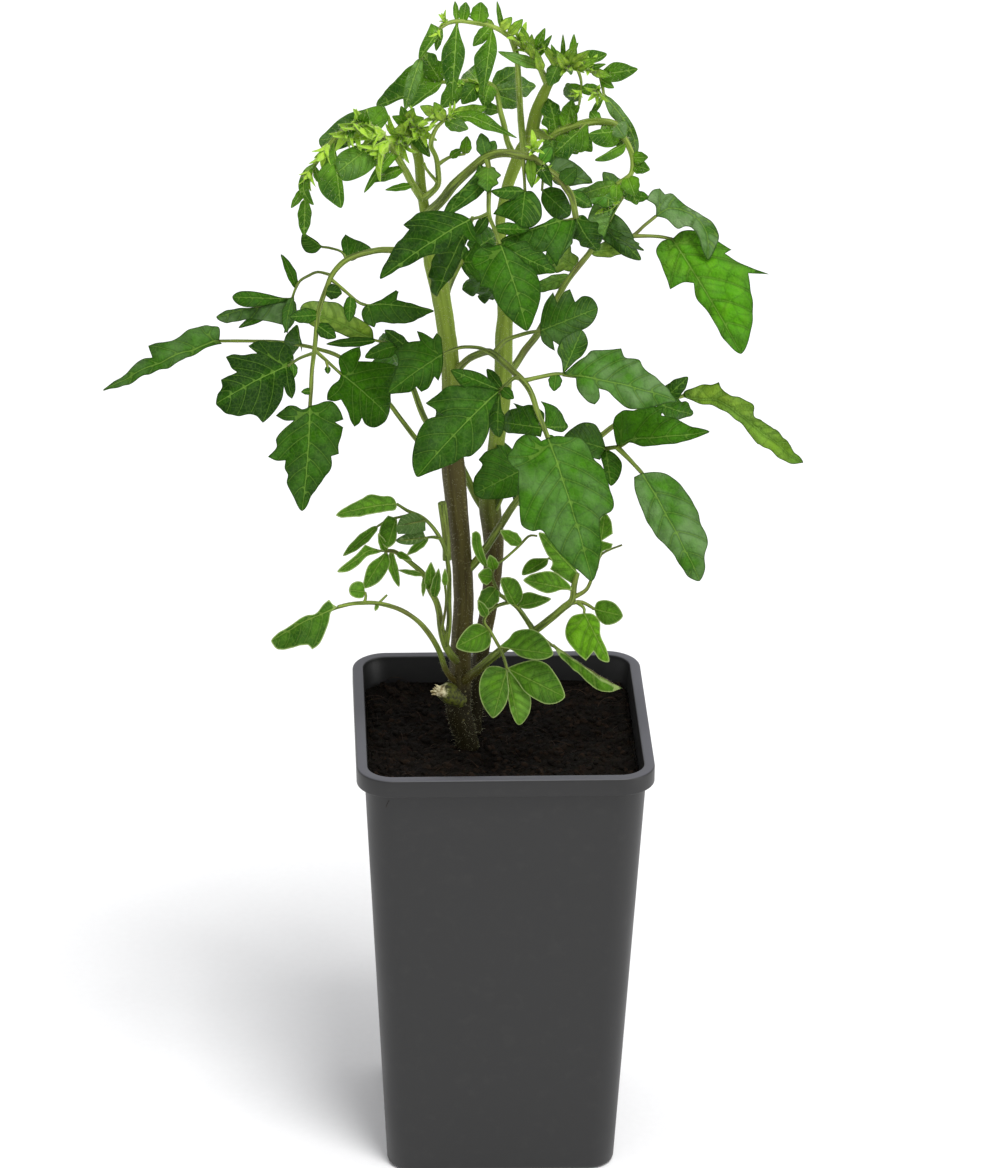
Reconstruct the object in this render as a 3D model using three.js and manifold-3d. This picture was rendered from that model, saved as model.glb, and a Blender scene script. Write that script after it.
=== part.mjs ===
// A young tomato plant with two leaders in a tall square nursery pot.
// Millimetres, +Z up, the origin at the middle of the pot's flat underside, the plant's front towards -Y.

import * as THREE from "three";
import {mergeVertices} from "three/addons/utils/BufferGeometryUtils.js";
import Module from "manifold-3d";

const wasm = await Module();
wasm.setup();

// ---- driving sizes ------------------------------------------------------------------------------

const POT_HEIGHT = 188.4;
const RIM_WIDTH = 120; // outside of the turned-down rim
const RIM_DEPTH = 7.4; // height of the rim's outer skirt
const RIM_TOP = 4.5; // width of the rim's flat upper face
const RIM_PLATE = 2; // and its thickness
const RIM_CORNER = 14.5; // corner radius of the rim
const SKIRT_WALL = 1.5; // thickness of the rim's outer skirt
const BODY_TOP = 113.4; // outside of the tub at the foot of the rim
const BODY_CORNER = 12.5; // and its corner radius there
const BASE_WIDTH = 94.2; // outside of the tub at the floor
const BASE_CORNER = 11;
const BODY_WALL = 1.7;
const FLOOR = 2.4; // thickness of the tub's floor
const DRAIN_HOLES = 8;
const DRAIN_HOLE = 7; // diameter of each
const DRAIN_RING = 30; // how far they lie from the middle
const SOIL_DROP = 12; // from the rim's upper face down to the soil
const SOIL_BUMP = 1.1; // how uneven the soil lies
const SOIL_LEVEL = POT_HEIGHT - SOIL_DROP;
const SOIL_RINGS = [1, 0.82, 0.62, 0.4, 0.18]; // where the soil's surface has points, from wall to middle
const GAP = 0.3; // clearance between pieces that touch
const CUT_PAST = 1; // how far a cut runs past the face that it opens

const LEAF_THICKNESS = 0.8;
const MARGIN_STEP = 1.3; // how far a leaflet's margin may run from the straight lines that stand for it
const STALK_STEP = 0.4; // and a stalk's course
const SMALL_LEAFLET = 8; // width in mm under which an oval leaflet has the plainest outline
const RIB_NUDGE = 0.05; // keeps the points of a straight midrib apart while a half of a leaflet is divided
const STEM_SIDES = 8;
const STALK_SIDES = 4;
const CORNER_STEPS = 4;
const DRAIN_SIDES = 8;

const COLOURS = {
  pot: 0x3c3c3b,
  soil: 0x1f150f,
  stem: 0x6b7a35,
  cut: 0xc9c190,
  leaf: 0x2f6a1c,
  young: 0x7db52a,
};

// ---- where a point of the plant lies ------------------------------------------------------------
// The plant's points are read from one upright picture of it, 1000 wide and 1168 high, so each is given as
// [x, y, depth]: its place in that picture, and how far it lies behind the middle of the pot, or in front
// where that is negative. These sizes of the view turn such a point into a real one.

const VIEW_TURN = THREE.MathUtils.degToRad(-2.68);
const VIEW_RISE = THREE.MathUtils.degToRad(24.82);
const VIEW_TILT = THREE.MathUtils.degToRad(0.63);
const VIEW_DISTANCE = 2225.4;
const VIEW_FOCAL = 5500; // in picture points
const PICTURE_MIDDLE = [500, 584];
const VIEW_TARGET = new THREE.Vector3(-1.04, 0, 247.1);

const backwards = new THREE.Vector3(
  Math.sin(VIEW_TURN) * Math.cos(VIEW_RISE),
  -Math.cos(VIEW_TURN) * Math.cos(VIEW_RISE),
  Math.sin(VIEW_RISE),
);
const viewpoint = VIEW_TARGET.clone().addScaledVector(backwards, VIEW_DISTANCE);
const forwards = backwards.clone().negate();
const levelRight = new THREE.Vector3().crossVectors(forwards, new THREE.Vector3(0, 0, 1)).normalize();
const levelUp = new THREE.Vector3().crossVectors(levelRight, forwards);
const pictureRight = levelRight.clone().applyAxisAngle(backwards, VIEW_TILT);
const pictureUp = levelUp.clone().applyAxisAngle(backwards, VIEW_TILT);

function sightLine(x, y) {
  return forwards
    .clone()
    .addScaledVector(pictureRight, (x - PICTURE_MIDDLE[0]) / VIEW_FOCAL)
    .addScaledVector(pictureUp, (PICTURE_MIDDLE[1] - y) / VIEW_FOCAL);
}

function seen(x, y, depth) {
  const ray = sightLine(x, y);
  return viewpoint.clone().addScaledVector(ray, (depth - viewpoint.y) / ray.y);
}

// ---- the plant ----------------------------------------------------------------------------------
// Stems: [x, y, depth, diameter in mm] from below the soil to the tip.

const STEMS = [
  {"name": "stem_left", "path": [
    [473, 812, -4, 8.6], [469, 752, -4, 9.0], [459, 710, -4, 10.0], [460, 690, -4, 9.4],
    [461, 650, -4, 8.4], [464, 600, -4, 8.2], [461, 547, -4, 8.2], [454, 472, -4, 9.4],
    [452, 430, -4, 8.0], [451, 370, -4, 7.2], [448, 340, -4, 7.2], [442, 300, -4, 7.4],
    [438, 280, -4, 7.6], [432, 262, -4, 6.4], [428, 235, -4, 5.0], [425, 211, -4, 4.2],
    [421, 185, -4, 4.0], [419, 160, -4, 3.8], [412, 135, -4, 3.4]]},
  {"name": "stem_right", "path": [
    [480, 790, 8, 6.4], [478, 740, 8, 6.6], [481, 690, 9, 6.6], [485, 640, 9, 6.6],
    [490, 600, 10, 6.8], [494, 547, 10, 8.2], [490, 500, 10, 8.8], [494, 470, 10, 7.0],
    [497, 440, 9, 6.6], [503, 390, 8, 7.0], [504, 340, 8, 7.0], [505, 312, 7, 6.0],
    [503, 280, 7, 5.0], [501, 232, 6, 4.0], [501, 216, 6, 4.0], [508, 185, 5, 4.4],
    [521, 152, 4, 5.2], [530, 140, 4, 5.4], [535, 118, 3, 5.0], [541, 100, 2, 4.4],
    [548, 85, 1, 3.6], [558, 70, 0, 2.6]]},
];

// Leaves: "stalk" and each of the "branches" is a path of [x, y, depth] that starts on what carries it, and
// "thick" its diameters in mm at both ends. A leaflet runs from its "base" on a stalk to its "tip", both as
// [x, y] or [x, y, depth]. "left" and "right" are the points of its two margins from base to tip, "rib"
// those of a midrib that bends, and "wide" is the width in mm of a plain oval leaflet. "roll" turns a
// leaflet about its length, in degrees; "arch" bows it lengthwise, in mm, and "fold" slopes its halves.

const LEAVES = [
  {"name": "leaf_far_left", "carrier": "stem_left", "thick": [2.4, 1.3],
   "stalk": [[453, 476], [436, 459, -1], [418, 441, 2], [400, 418, 6], [388, 402, 9], [365, 377, 13],
             [340, 357, 16], [318, 349, 18], [300, 345, 19], [280, 342, 19], [250, 341, 17],
             [219, 341, 13]],
   "branches": [],
   "leaflets": [
     {"base": [219, 341], "tip": [103, 391, -4], "roll": 20, "arch": 4, "fold": -0.2,
      "left": [[220, 335], [219, 328], [212, 325], [200, 326], [190, 332], [180, 339], [170, 344],
               [160, 346], [148, 349], [150, 356], [152, 361], [142, 363], [132, 371], [120, 380],
               [110, 386]],
      "right": [[222, 344], [212, 348], [200, 354], [185, 363], [170, 371], [155, 376], [140, 382],
                [125, 388], [112, 391]]},
     {"base": [300, 345], "tip": [297, 325, 12], "roll": 0, "arch": 1, "fold": -0.2,
      "left": [[294, 357], [288, 350], [284, 341], [288, 332]],
      "right": [[302, 353], [302, 343], [300, 335]]},
   ]},
  {"name": "leaf_left_arch", "carrier": "stem_left", "thick": [2.9, 1.6],
   "stalk": [[428, 250], [413, 249, -9], [395, 250, -12], [380, 250, -14], [365, 253, -15],
             [350, 258, -16], [340, 265, -17], [332, 275, -18], [327, 287, -18], [322, 300, -19],
             [318, 315, -20], [315, 345, -22], [312, 370, -24], [311, 390, -26], [310, 406, -28]],
   "branches": [
     {"path": [[314, 353], [300, 358, -25], [288, 366, -27]], "thick": [1.4, 1.2]},
     {"path": [[315, 350], [328, 362, -20], [341, 374, -18]], "thick": [1.4, 1.2]},
     {"path": [[331, 275], [318, 272, -14], [308, 276, -11], [300, 281, -8], [295, 290, -5],
               [292, 299, -3]], "thick": [1.2, 1.0]},
     {"path": [[331, 279], [345, 291, -19], [358, 302, -21], [366, 305, -22]], "thick": [1.4, 1.2]},
     {"path": [[347, 261], [342, 252, -14], [330, 248, -12], [322, 247, -11]], "thick": [1.2, 1.0]},
     {"path": [[326, 360], [328, 368, -22]], "thick": [1.0, 0.9]},
   ],
   "leaflets": [
     {"base": [310, 406], "tip": [302, 511, -40], "roll": -8, "arch": 4, "fold": -0.15,
      "left": [[302, 409], [296, 406], [288, 406], [281, 411], [276, 416], [284, 420], [293, 420],
               [283, 429], [275, 439], [276, 446], [267, 456], [276, 460], [284, 459], [284, 468],
               [287, 474], [286, 482], [292, 495]],
      "right": [[316, 404], [324, 401], [333, 402], [340, 410], [343, 419], [335, 422], [343, 427],
                [341, 434], [338, 444], [338, 453], [330, 455], [331, 465], [323, 477], [312, 494]]},
     {"base": [288, 366], "tip": [216, 404, -44], "roll": 10, "arch": 4, "fold": -0.2,
      "left": [[294, 360], [292, 352], [285, 342], [270, 341], [258, 341], [248, 346], [256, 355],
               [243, 357], [232, 356], [225, 358], [230, 370], [235, 375], [220, 381], [221, 389],
               [217, 395]],
      "right": [[294, 380], [295, 392], [292, 399], [286, 396], [283, 388], [280, 402], [275, 411],
                [268, 419], [262, 424], [250, 416], [238, 417], [226, 414]]},
     {"base": [341, 374], "tip": [388, 417, -16], "roll": -10, "arch": 4, "fold": -0.15,
      "left": [[339, 362], [341, 356], [352, 349], [361, 347], [361, 355], [358, 361], [370, 361],
               [388, 363], [396, 366], [396, 376], [390, 384], [388, 393], [389, 406]],
      "right": [[338, 380], [332, 385], [328, 392], [327, 400], [333, 401], [339, 399], [343, 408],
                [348, 420], [352, 426], [356, 423], [359, 417], [363, 423], [370, 427], [378, 426],
                [384, 422]]},
     {"base": [366, 305], "tip": [434, 311, -32], "roll": -15, "arch": 3, "fold": -0.15,
      "left": [[372, 304], [383, 302], [390, 297], [398, 292], [401, 294], [399, 302], [412, 305],
               [422, 308]],
      "right": [[362, 310], [363, 320], [370, 326], [375, 328], [377, 324], [385, 324], [400, 326],
                [412, 324], [422, 319], [430, 314]]},
     {"base": [346, 260], "tip": [371, 249, -10], "roll": 0, "arch": 1, "fold": -0.2,
      "left": [[343, 250], [342, 241], [346, 234], [352, 238], [362, 242]],
      "right": [[352, 261], [363, 254]]},
     {"base": [322, 247], "tip": [303, 233, -8], "roll": 0, "arch": 1, "fold": -0.2,
      "left": [[315, 253], [306, 252], [301, 243]], "right": [[318, 242], [309, 236]]},
     {"base": [293, 298], "tip": [217, 317, 6], "roll": 15, "arch": 3, "fold": -0.25,
      "left": [[286, 320], [281, 328], [270, 323], [258, 321], [250, 329], [238, 328], [242, 320],
               [232, 323], [222, 322]],
      "right": [[280, 298], [268, 295], [255, 292], [240, 292], [232, 297], [238, 305], [225, 311]]},
     {"base": [293, 297], "tip": [287, 333, -12], "roll": 30, "arch": 1, "fold": 0.3, "wide": 7},
     {"base": [296, 288], "tip": [281, 254, -4], "roll": 20, "arch": 1, "fold": 0.2, "wide": 4},
     {"base": [326, 291], "tip": [342, 293, -26], "roll": 0, "arch": 0.5, "fold": -0.2, "wide": 6},
     {"base": [350, 297], "tip": [349, 322, -26], "roll": 0, "arch": 0.5, "fold": -0.2, "wide": 5},
     {"base": [318, 315], "tip": [289, 317, -26], "roll": 0, "arch": 1, "fold": -0.2, "wide": 6},
     {"base": [317, 325], "tip": [336, 338, -24], "roll": 0, "arch": 1, "fold": -0.2, "wide": 6},
     {"base": [292, 362], "tip": [294, 378, -30], "roll": 0, "arch": 0.5, "fold": -0.2, "wide": 3.6},
     {"base": [328, 366], "tip": [328, 374, -24], "roll": 0, "arch": 0, "fold": 0, "wide": 2.4},
     {"base": [311, 391], "tip": [301, 392, -29], "roll": 0, "arch": 0.5, "fold": 0, "wide": 2.8},
   ]},
  {"name": "leaf_left_pale", "carrier": "stem_left", "thick": [2.2, 1.2],
   "stalk": [[447, 330], [430, 332, 8], [415, 336, 18], [400, 341, 27], [386, 342, 34], [374, 340, 40]],
   "branches": [],
   "leaflets": [
     {"base": [374, 340], "tip": [300, 308, 52], "roll": 10, "arch": 3, "fold": -0.15,
      "left": [[365, 343], [350, 339], [335, 333], [318, 330], [305, 320]],
      "right": [[372, 329], [360, 320], [350, 315], [340, 305], [320, 302], [308, 302]]},
     {"base": [376, 341], "tip": [326, 344, 38], "roll": 0, "arch": 0, "fold": 0.2, "wide": 4},
     {"base": [400, 341], "tip": [365, 357, 20], "roll": 20, "arch": 1, "fold": -0.3, "wide": 7},
     {"base": [398, 341], "tip": [380, 337, 46], "roll": 0, "arch": 2, "fold": -0.2, "wide": 5},
     {"base": [414, 337], "tip": [385, 330, 34], "roll": 0, "arch": 1, "fold": -0.2, "wide": 5},
     {"base": [386, 342], "tip": [398, 366, 56], "roll": 0, "arch": 2, "fold": -0.2, "wide": 15},
   ]},
  {"name": "leaf_front_high", "carrier": "stem_left", "thick": [3.4, 1.7],
   "stalk": [[426, 216], [434, 208, -9], [443, 199, -14], [452, 187, -17], [461, 178, -19],
             [470, 170, -21], [478, 163, -22], [486, 157, -23], [495, 154, -24], [505, 153, -25],
             [515, 154, -26], [532, 158, -27], [540, 164, -28], [550, 172, -29], [560, 180, -30],
             [566, 188, -31], [572, 198, -32], [576, 218, -33]],
   "branches": [
     {"path": [[486, 157], [489, 170, -28], [489, 190, -35], [489, 214, -42], [494, 228, -45],
               [500, 244, -48]], "thick": [2.2, 1.5]},
     {"path": [[489, 213], [480, 217, -43], [471, 219, -44]], "thick": [1.5, 1.3]},
     {"path": [[523, 156], [524, 172, -30], [525, 191, -34]], "thick": [1.5, 1.2]},
     {"path": [[546, 168], [543, 180, -26], [542, 190, -24]], "thick": [1.2, 1.0]},
   ],
   "leaflets": [
     {"base": [471, 219], "tip": [380, 279, -58], "roll": 12, "arch": 4, "fold": -0.15,
      "left": [[450, 213], [435, 212], [420, 214], [410, 221], [403, 227], [409, 232], [402, 240],
               [395, 248], [388, 260], [382, 270]],
      "right": [[476, 232], [477, 242], [470, 243], [462, 237], [450, 249], [440, 256], [431, 258],
                [420, 262], [410, 267], [400, 270], [390, 276]]},
     {"base": [472, 220], "tip": [436, 297, -26], "roll": 10, "arch": 3, "fold": -0.2,
      "left": [[452, 232], [438, 250], [433, 262], [432, 280], [433, 290]],
      "right": [[470, 236], [465, 250], [458, 270], [450, 279], [442, 288]]},
     {"base": [479, 163], "tip": [443, 216, -38], "roll": 0, "arch": 3, "fold": -0.15,
      "rib": [[480, 184], [463, 203]],
      "left": [[475, 173], [468, 182], [458, 193], [450, 200], [445, 208]],
      "right": [[489, 174], [490, 182], [487, 188], [475, 201], [460, 210], [450, 215]]},
     {"base": [500, 244], "tip": [527, 331, -62], "roll": -8, "arch": 4, "fold": -0.2,
      "left": [[490, 247], [480, 247], [472, 256], [473, 267], [479, 275], [479, 287], [490, 290],
               [493, 298], [500, 310], [510, 320], [520, 328]],
      "right": [[515, 254], [524, 263], [533, 270], [538, 279], [540, 290], [539, 302], [536, 312],
                [531, 325]]},
     {"base": [489, 214], "tip": [474, 236, -38], "roll": 0, "arch": 1, "fold": -0.2, "wide": 4.5},
     {"base": [494, 228], "tip": [530, 229, -42], "roll": 10, "arch": 1, "fold": -0.2, "wide": 5},
     {"base": [576, 218], "tip": [500, 241, -40], "roll": 10, "arch": 4, "fold": -0.2,
      "left": [[572, 236], [560, 258], [556, 268], [545, 253], [533, 256], [520, 255], [509, 250]],
      "right": [[565, 222], [553, 220], [543, 225], [530, 230], [515, 234]]},
     {"base": [542, 190], "tip": [570, 216, -18], "roll": 0, "arch": 1, "fold": -0.25,
      "left": [[552, 187], [562, 190], [567, 198], [571, 208]],
      "right": [[542, 203], [550, 215], [560, 222]]},
     {"base": [525, 191], "tip": [491, 191, -42], "roll": 0, "arch": 1, "fold": -0.2,
      "left": [[515, 199], [503, 199], [496, 196]], "right": [[518, 187], [510, 186], [500, 188]]},
     {"base": [525, 191], "tip": [521, 227, -44], "roll": 0, "arch": 2, "fold": -0.2,
      "left": [[514, 199], [505, 203], [498, 208], [493, 214], [503, 217], [512, 221]],
      "right": [[532, 191], [537, 197], [541, 205], [541, 219], [532, 227]]},
     {"base": [538, 163], "tip": [552, 187, -36], "roll": 0, "arch": 1, "fold": 0.2, "wide": 5},
     {"base": [530, 158], "tip": [532, 188, -36], "roll": 0, "arch": 1, "fold": 0.2, "wide": 4.5},
     {"base": [552, 173], "tip": [590, 182, -22], "roll": 20, "arch": 2, "fold": -0.2, "wide": 6},
     {"base": [562, 182], "tip": [577, 170, -38], "roll": 0, "arch": 1, "fold": -0.1, "wide": 5.5},
     {"base": [568, 192], "tip": [592, 207, -24], "roll": 0, "arch": 1, "fold": -0.2, "wide": 6},
     {"base": [576, 216], "tip": [598, 250, -26], "roll": 20, "arch": 2, "fold": -0.3, "wide": 11},
   ]},
  {"name": "leaf_front_low", "carrier": "stem_left", "thick": [3.2, 1.9],
   "stalk": [[451, 376], [461, 366, -8], [470, 358, -12], [485, 352, -17], [492, 353, -21],
             [503, 362, -28], [515, 373, -34], [525, 383, -38], [532, 395, -42], [537, 410, -46],
             [543, 425, -50], [548, 438, -53]],
   "branches": [
     {"path": [[490, 353], [480, 348, -20], [465, 347, -22], [455, 349, -24], [443, 354, -26]],
      "thick": [1.8, 1.3]},
     {"path": [[493, 354], [505, 341, -19], [520, 335, -16], [532, 332, -14], [540, 331, -13]],
      "thick": [1.8, 1.3]},
     {"path": [[520, 378], [514, 378, -37], [508, 383, -40], [500, 390, -43]], "thick": [1.9, 1.4]},
     {"path": [[524, 380], [540, 377, -36], [555, 374, -35], [563, 374, -34]], "thick": [1.8, 1.4]},
   ],
   "leaflets": [
     {"base": [548, 438], "tip": [592, 581, -78], "roll": -6, "arch": 7, "fold": -0.2,
      "left": [[541, 441], [535, 436], [526, 434], [517, 440], [512, 449], [507, 457], [513, 468],
               [518, 471], [517, 485], [518, 503], [521, 526], [532, 532], [539, 531], [557, 552],
               [575, 569]],
      "right": [[556, 436], [567, 437], [578, 437], [587, 445], [593, 459], [602, 468], [608, 488],
                [613, 506], [610, 512], [599, 519], [600, 545], [598, 562]]},
     {"base": [443, 354], "tip": [388, 393, -36], "roll": 8, "arch": 3, "fold": -0.2,
      "left": [[442, 345], [441, 337], [437, 332], [433, 338], [422, 331], [417, 330], [420, 341],
               [405, 344], [394, 351], [398, 362], [395, 372], [391, 382]],
      "right": [[443, 364], [441, 374], [438, 382], [434, 378], [428, 389], [421, 393], [416, 388],
                [410, 393], [399, 394]]},
     {"base": [540, 331], "tip": [598, 308, -10], "roll": 0, "arch": 3, "fold": -0.15,
      "left": [[541, 317], [545, 303], [553, 292], [557, 303], [564, 292], [570, 289], [575, 302],
               [583, 296], [592, 298]],
      "right": [[542, 341], [548, 347], [555, 351], [553, 341], [560, 346], [562, 340], [575, 333],
                [588, 327], [595, 319]]},
     {"base": [500, 390], "tip": [417, 477, -66], "roll": 8, "arch": 6, "fold": -0.2,
      "left": [[488, 390], [470, 389], [455, 388], [445, 391], [435, 398], [425, 405], [432, 411],
               [442, 418], [428, 422], [420, 430], [415, 442], [412, 458], [413, 470]],
      "right": [[495, 404], [488, 420], [489, 430], [486, 440], [480, 451], [470, 459], [463, 461],
                [452, 466], [440, 471], [428, 475]]},
     {"base": [499, 389], "tip": [451, 370, -44], "roll": 0, "arch": 2, "fold": -0.2,
      "left": [[485, 391], [470, 390], [460, 385], [454, 377]],
      "right": [[490, 380], [480, 373], [465, 369]]},
     {"base": [499, 391], "tip": [499, 437, -40], "roll": 15, "arch": 2, "fold": -0.2,
      "left": [[493, 404], [490, 418], [492, 430]], "right": [[503, 405], [506, 416], [504, 430]]},
     {"base": [501, 388], "tip": [514, 399, -48], "roll": 0, "arch": 0.5, "fold": -0.1, "wide": 4.6},
     {"base": [501, 388], "tip": [487, 369, -36], "roll": 0, "arch": 1, "fold": 0.3, "wide": 4},
     {"base": [563, 374], "tip": [677, 401, -36], "roll": -14, "arch": 5, "fold": -0.2,
      "left": [[577, 362], [585, 357], [591, 351], [601, 352], [620, 350], [623, 358], [638, 362],
               [641, 369], [650, 376], [661, 385], [670, 394]],
      "right": [[575, 378], [576, 390], [587, 404], [593, 407], [597, 402], [597, 391], [606, 395],
                [614, 402], [628, 411], [635, 412], [650, 409], [667, 404]]},
     {"base": [563, 373], "tip": [582, 330, -26], "roll": 0, "arch": 2, "fold": -0.15,
      "left": [[561, 360], [557, 352], [561, 341], [568, 335]],
      "right": [[575, 362], [583, 355], [588, 343]]},
     {"base": [556, 374], "tip": [554, 391, -40], "roll": 0, "arch": 0.5, "fold": -0.1, "wide": 5.4},
     {"base": [545, 428], "tip": [500, 422, -32], "roll": 0, "arch": 2, "fold": -0.2,
      "left": [[541, 437], [530, 435], [518, 434], [506, 432]],
      "right": [[542, 412], [533, 405], [524, 406], [514, 403], [517, 408], [507, 412]]},
     {"base": [544, 427], "tip": [568, 427, -40], "roll": 0, "arch": 1, "fold": -0.2,
      "left": [[546, 409], [543, 401], [553, 405], [562, 413], [565, 421]],
      "right": [[553, 431], [562, 432]]},
   ]},
  {"name": "leaf_right_low", "carrier": "stem_left", "thick": [3.4, 1.6],
   "stalk": [[463, 580], [475, 566, -10], [497, 531, -13], [517, 501, -14], [540, 482, -14],
             [560, 465, -13], [575, 454, -12], [590, 444, -10], [602, 435, -8], [615, 425, -6],
             [640, 410, -2], [662, 401, 3], [683, 396, 7]],
   "branches": [
     {"path": [[573, 456], [590, 453, -17], [604, 449, -21], [617, 447, -25]], "thick": [2.0, 1.7]},
     {"path": [[617, 447], [630, 460, -28], [642, 473, -31]], "thick": [1.9, 1.5]},
   ],
   "leaflets": [
     {"base": [683, 396], "tip": [803, 463, 6], "roll": 25, "arch": 3, "fold": -0.2,
      "rib": [[720, 398], [750, 418], [780, 443]],
      "left": [[684, 392], [690, 387], [699, 384], [708, 384], [719, 379], [723, 387], [740, 394],
               [754, 402], [754, 410], [765, 419], [777, 427], [793, 446]],
      "right": [[695, 399], [714, 403], [728, 408], [742, 420], [756, 436], [770, 446], [784, 457]]},
     {"base": [617, 447], "tip": [710, 432, -34], "roll": -12, "arch": 4, "fold": -0.2,
      "rib": [[635, 441], [665, 439], [690, 436]],
      "left": [[614, 432], [613, 421], [621, 411], [636, 411], [655, 408], [665, 408], [664, 417],
               [676, 419], [692, 427]],
      "right": [[632, 444], [645, 448], [662, 447], [680, 445], [695, 440]]},
     {"base": [642, 473], "tip": [700, 581, -48], "roll": -8, "arch": 5, "fold": -0.2,
      "left": [[634, 477], [634, 491], [640, 508], [647, 525], [657, 539], [668, 550], [678, 564],
               [688, 577]],
      "right": [[655, 472], [665, 474], [678, 483], [688, 497], [696, 511], [701, 527], [707, 542],
                [704, 553], [704, 570]]},
     {"base": [606, 449], "tip": [611, 486, -30], "roll": 0, "arch": 2, "fold": -0.2,
      "left": [[601, 456], [603, 466], [606, 478]], "right": [[616, 455], [622, 464], [619, 478]]},
     {"base": [606, 449], "tip": [564, 436, -24], "roll": 0, "arch": 3, "fold": -0.2,
      "left": [[600, 460], [590, 457], [578, 450], [568, 442]],
      "right": [[603, 441], [599, 431], [594, 424], [583, 422], [573, 427]]},
     {"base": [662, 401], "tip": [688, 377, 2], "roll": 0, "arch": 1, "fold": -0.2, "wide": 7},
     {"base": [657, 403], "tip": [693, 414, 14], "roll": 15, "arch": 1, "fold": -0.2, "wide": 9},
     {"base": [636, 412], "tip": [646, 432, 22], "roll": 0, "arch": 2, "fold": -0.2, "wide": 10},
     {"base": [540, 482], "tip": [552, 512, 8], "roll": 0, "arch": 2, "fold": -0.2, "wide": 12},
   ]},
  {"name": "leaf_right_back", "carrier": "stem_right", "thick": [3.0, 1.8],
   "stalk": [[504, 380], [516, 364, 13], [525, 350, 17], [537, 335, 21], [548, 315, 25], [558, 297, 28],
             [565, 284, 30], [577, 268, 33], [590, 252, 36], [598, 238, 38], [607, 222, 40],
             [615, 208, 42], [623, 196, 43]],
   "branches": [
     {"path": [[600, 235], [618, 237, 44], [632, 236, 48], [645, 225, 51], [656, 216, 53]],
      "thick": [1.7, 1.3]},
     {"path": [[632, 236], [650, 236, 50], [662, 237, 52], [672, 239, 53]], "thick": [1.6, 1.4]},
   ],
   "leaflets": [
     {"base": [656, 216], "tip": [708, 260, 42], "roll": -10, "arch": 3, "fold": -0.25,
      "rib": [[670, 209], [690, 215], [706, 233]],
      "left": [[655, 205], [646, 199], [653, 189], [660, 187], [665, 194], [672, 193], [683, 204],
               [699, 215], [712, 223], [719, 236], [716, 247]],
      "right": [[666, 220], [678, 230], [685, 228], [691, 229], [698, 238], [703, 253]]},
     {"base": [672, 239], "tip": [741, 354, 34], "roll": -6, "arch": 6, "fold": -0.15,
      "left": [[662, 241], [656, 250], [660, 264], [667, 283], [669, 290], [683, 283], [692, 284],
               [695, 300], [706, 312], [714, 326], [724, 341]],
      "right": [[682, 231], [700, 232], [719, 243], [731, 250], [724, 254], [740, 264], [768, 275],
                [747, 274], [750, 292], [752, 310], [750, 332]]},
     {"base": [606, 224], "tip": [641, 260, 34], "roll": 0, "arch": 2, "fold": -0.25,
      "left": [[612, 212], [622, 219], [632, 233], [636, 247]],
      "right": [[600, 238], [610, 245], [624, 256]]},
     {"base": [590, 252], "tip": [621, 255, 42], "roll": 20, "arch": 1, "fold": -0.2, "wide": 6},
     {"base": [566, 283], "tip": [540, 291, 36], "roll": 20, "arch": 1, "fold": -0.2, "wide": 6},
     {"base": [598, 238], "tip": [574, 226, 30], "roll": 20, "arch": 1, "fold": -0.3, "wide": 9},
     {"base": [623, 196], "tip": [632, 183, 50], "roll": 0, "arch": 1, "fold": -0.2, "wide": 6},
     {"base": [623, 196], "tip": [649, 197, 54], "roll": 0, "arch": 1, "fold": -0.2, "wide": 5},
     {"base": [577, 268], "tip": [552, 252, 60], "roll": 0, "arch": 2, "fold": -0.2, "wide": 13},
   ]},
  {"name": "leaf_top_right", "carrier": "stem_right", "thick": [2.6, 1.5],
   "stalk": [[533, 131], [548, 137, -2], [560, 132, -5], [575, 126, -8], [590, 122, -11], [605, 122, -13],
             [616, 125, -14], [622, 135, -16], [628, 145, -17], [632, 155, -18], [633, 165, -19],
             [631, 174, -20], [625, 179, -20], [617, 184, -20]],
   "branches": [],
   "leaflets": [
     {"base": [620, 131], "tip": [589, 134, -24], "roll": 0, "arch": 1, "fold": -0.2,
      "left": [[620, 142], [612, 147], [603, 147], [593, 142]], "right": [[610, 130], [599, 129]]},
     {"base": [588, 122], "tip": [554, 154, -20], "roll": 0, "arch": 2, "fold": -0.2,
      "left": [[576, 133], [566, 137], [558, 143]],
      "right": [[588, 138], [587, 149], [581, 153], [574, 151], [568, 160], [560, 158]]},
     {"base": [626, 143], "tip": [595, 160, -26], "roll": 0, "arch": 1, "fold": -0.2,
      "left": [[624, 152], [614, 159], [603, 162]], "right": [[615, 147], [604, 154]]},
     {"base": [632, 158], "tip": [647, 157, -22], "roll": 0, "arch": 0.5, "fold": 0.1, "wide": 3.6},
     {"base": [633, 165], "tip": [649, 170, -24], "roll": 0, "arch": 0.5, "fold": 0.1, "wide": 4},
     {"base": [628, 177], "tip": [635, 196, -26], "roll": 0, "arch": 1, "fold": -0.1, "wide": 6},
     {"base": [617, 184], "tip": [616, 202, -26], "roll": 0, "arch": 1, "fold": -0.1, "wide": 5},
     {"base": [618, 183], "tip": [601, 170, -16], "roll": 0, "arch": 1, "fold": -0.1, "wide": 5.5},
     {"base": [617, 184], "tip": [578, 197, -14], "roll": 15, "arch": 2, "fold": -0.2, "wide": 6},
     {"base": [600, 122], "tip": [590, 111, -8], "roll": 0, "arch": 1, "fold": -0.1, "wide": 4.4},
     {"base": [575, 126], "tip": [571, 108, -10], "roll": 0, "arch": 0.5, "fold": 0, "wide": 3},
   ]},
  {"name": "leaf_top_arch", "carrier": "stem_right", "thick": [2.2, 1.3],
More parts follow.
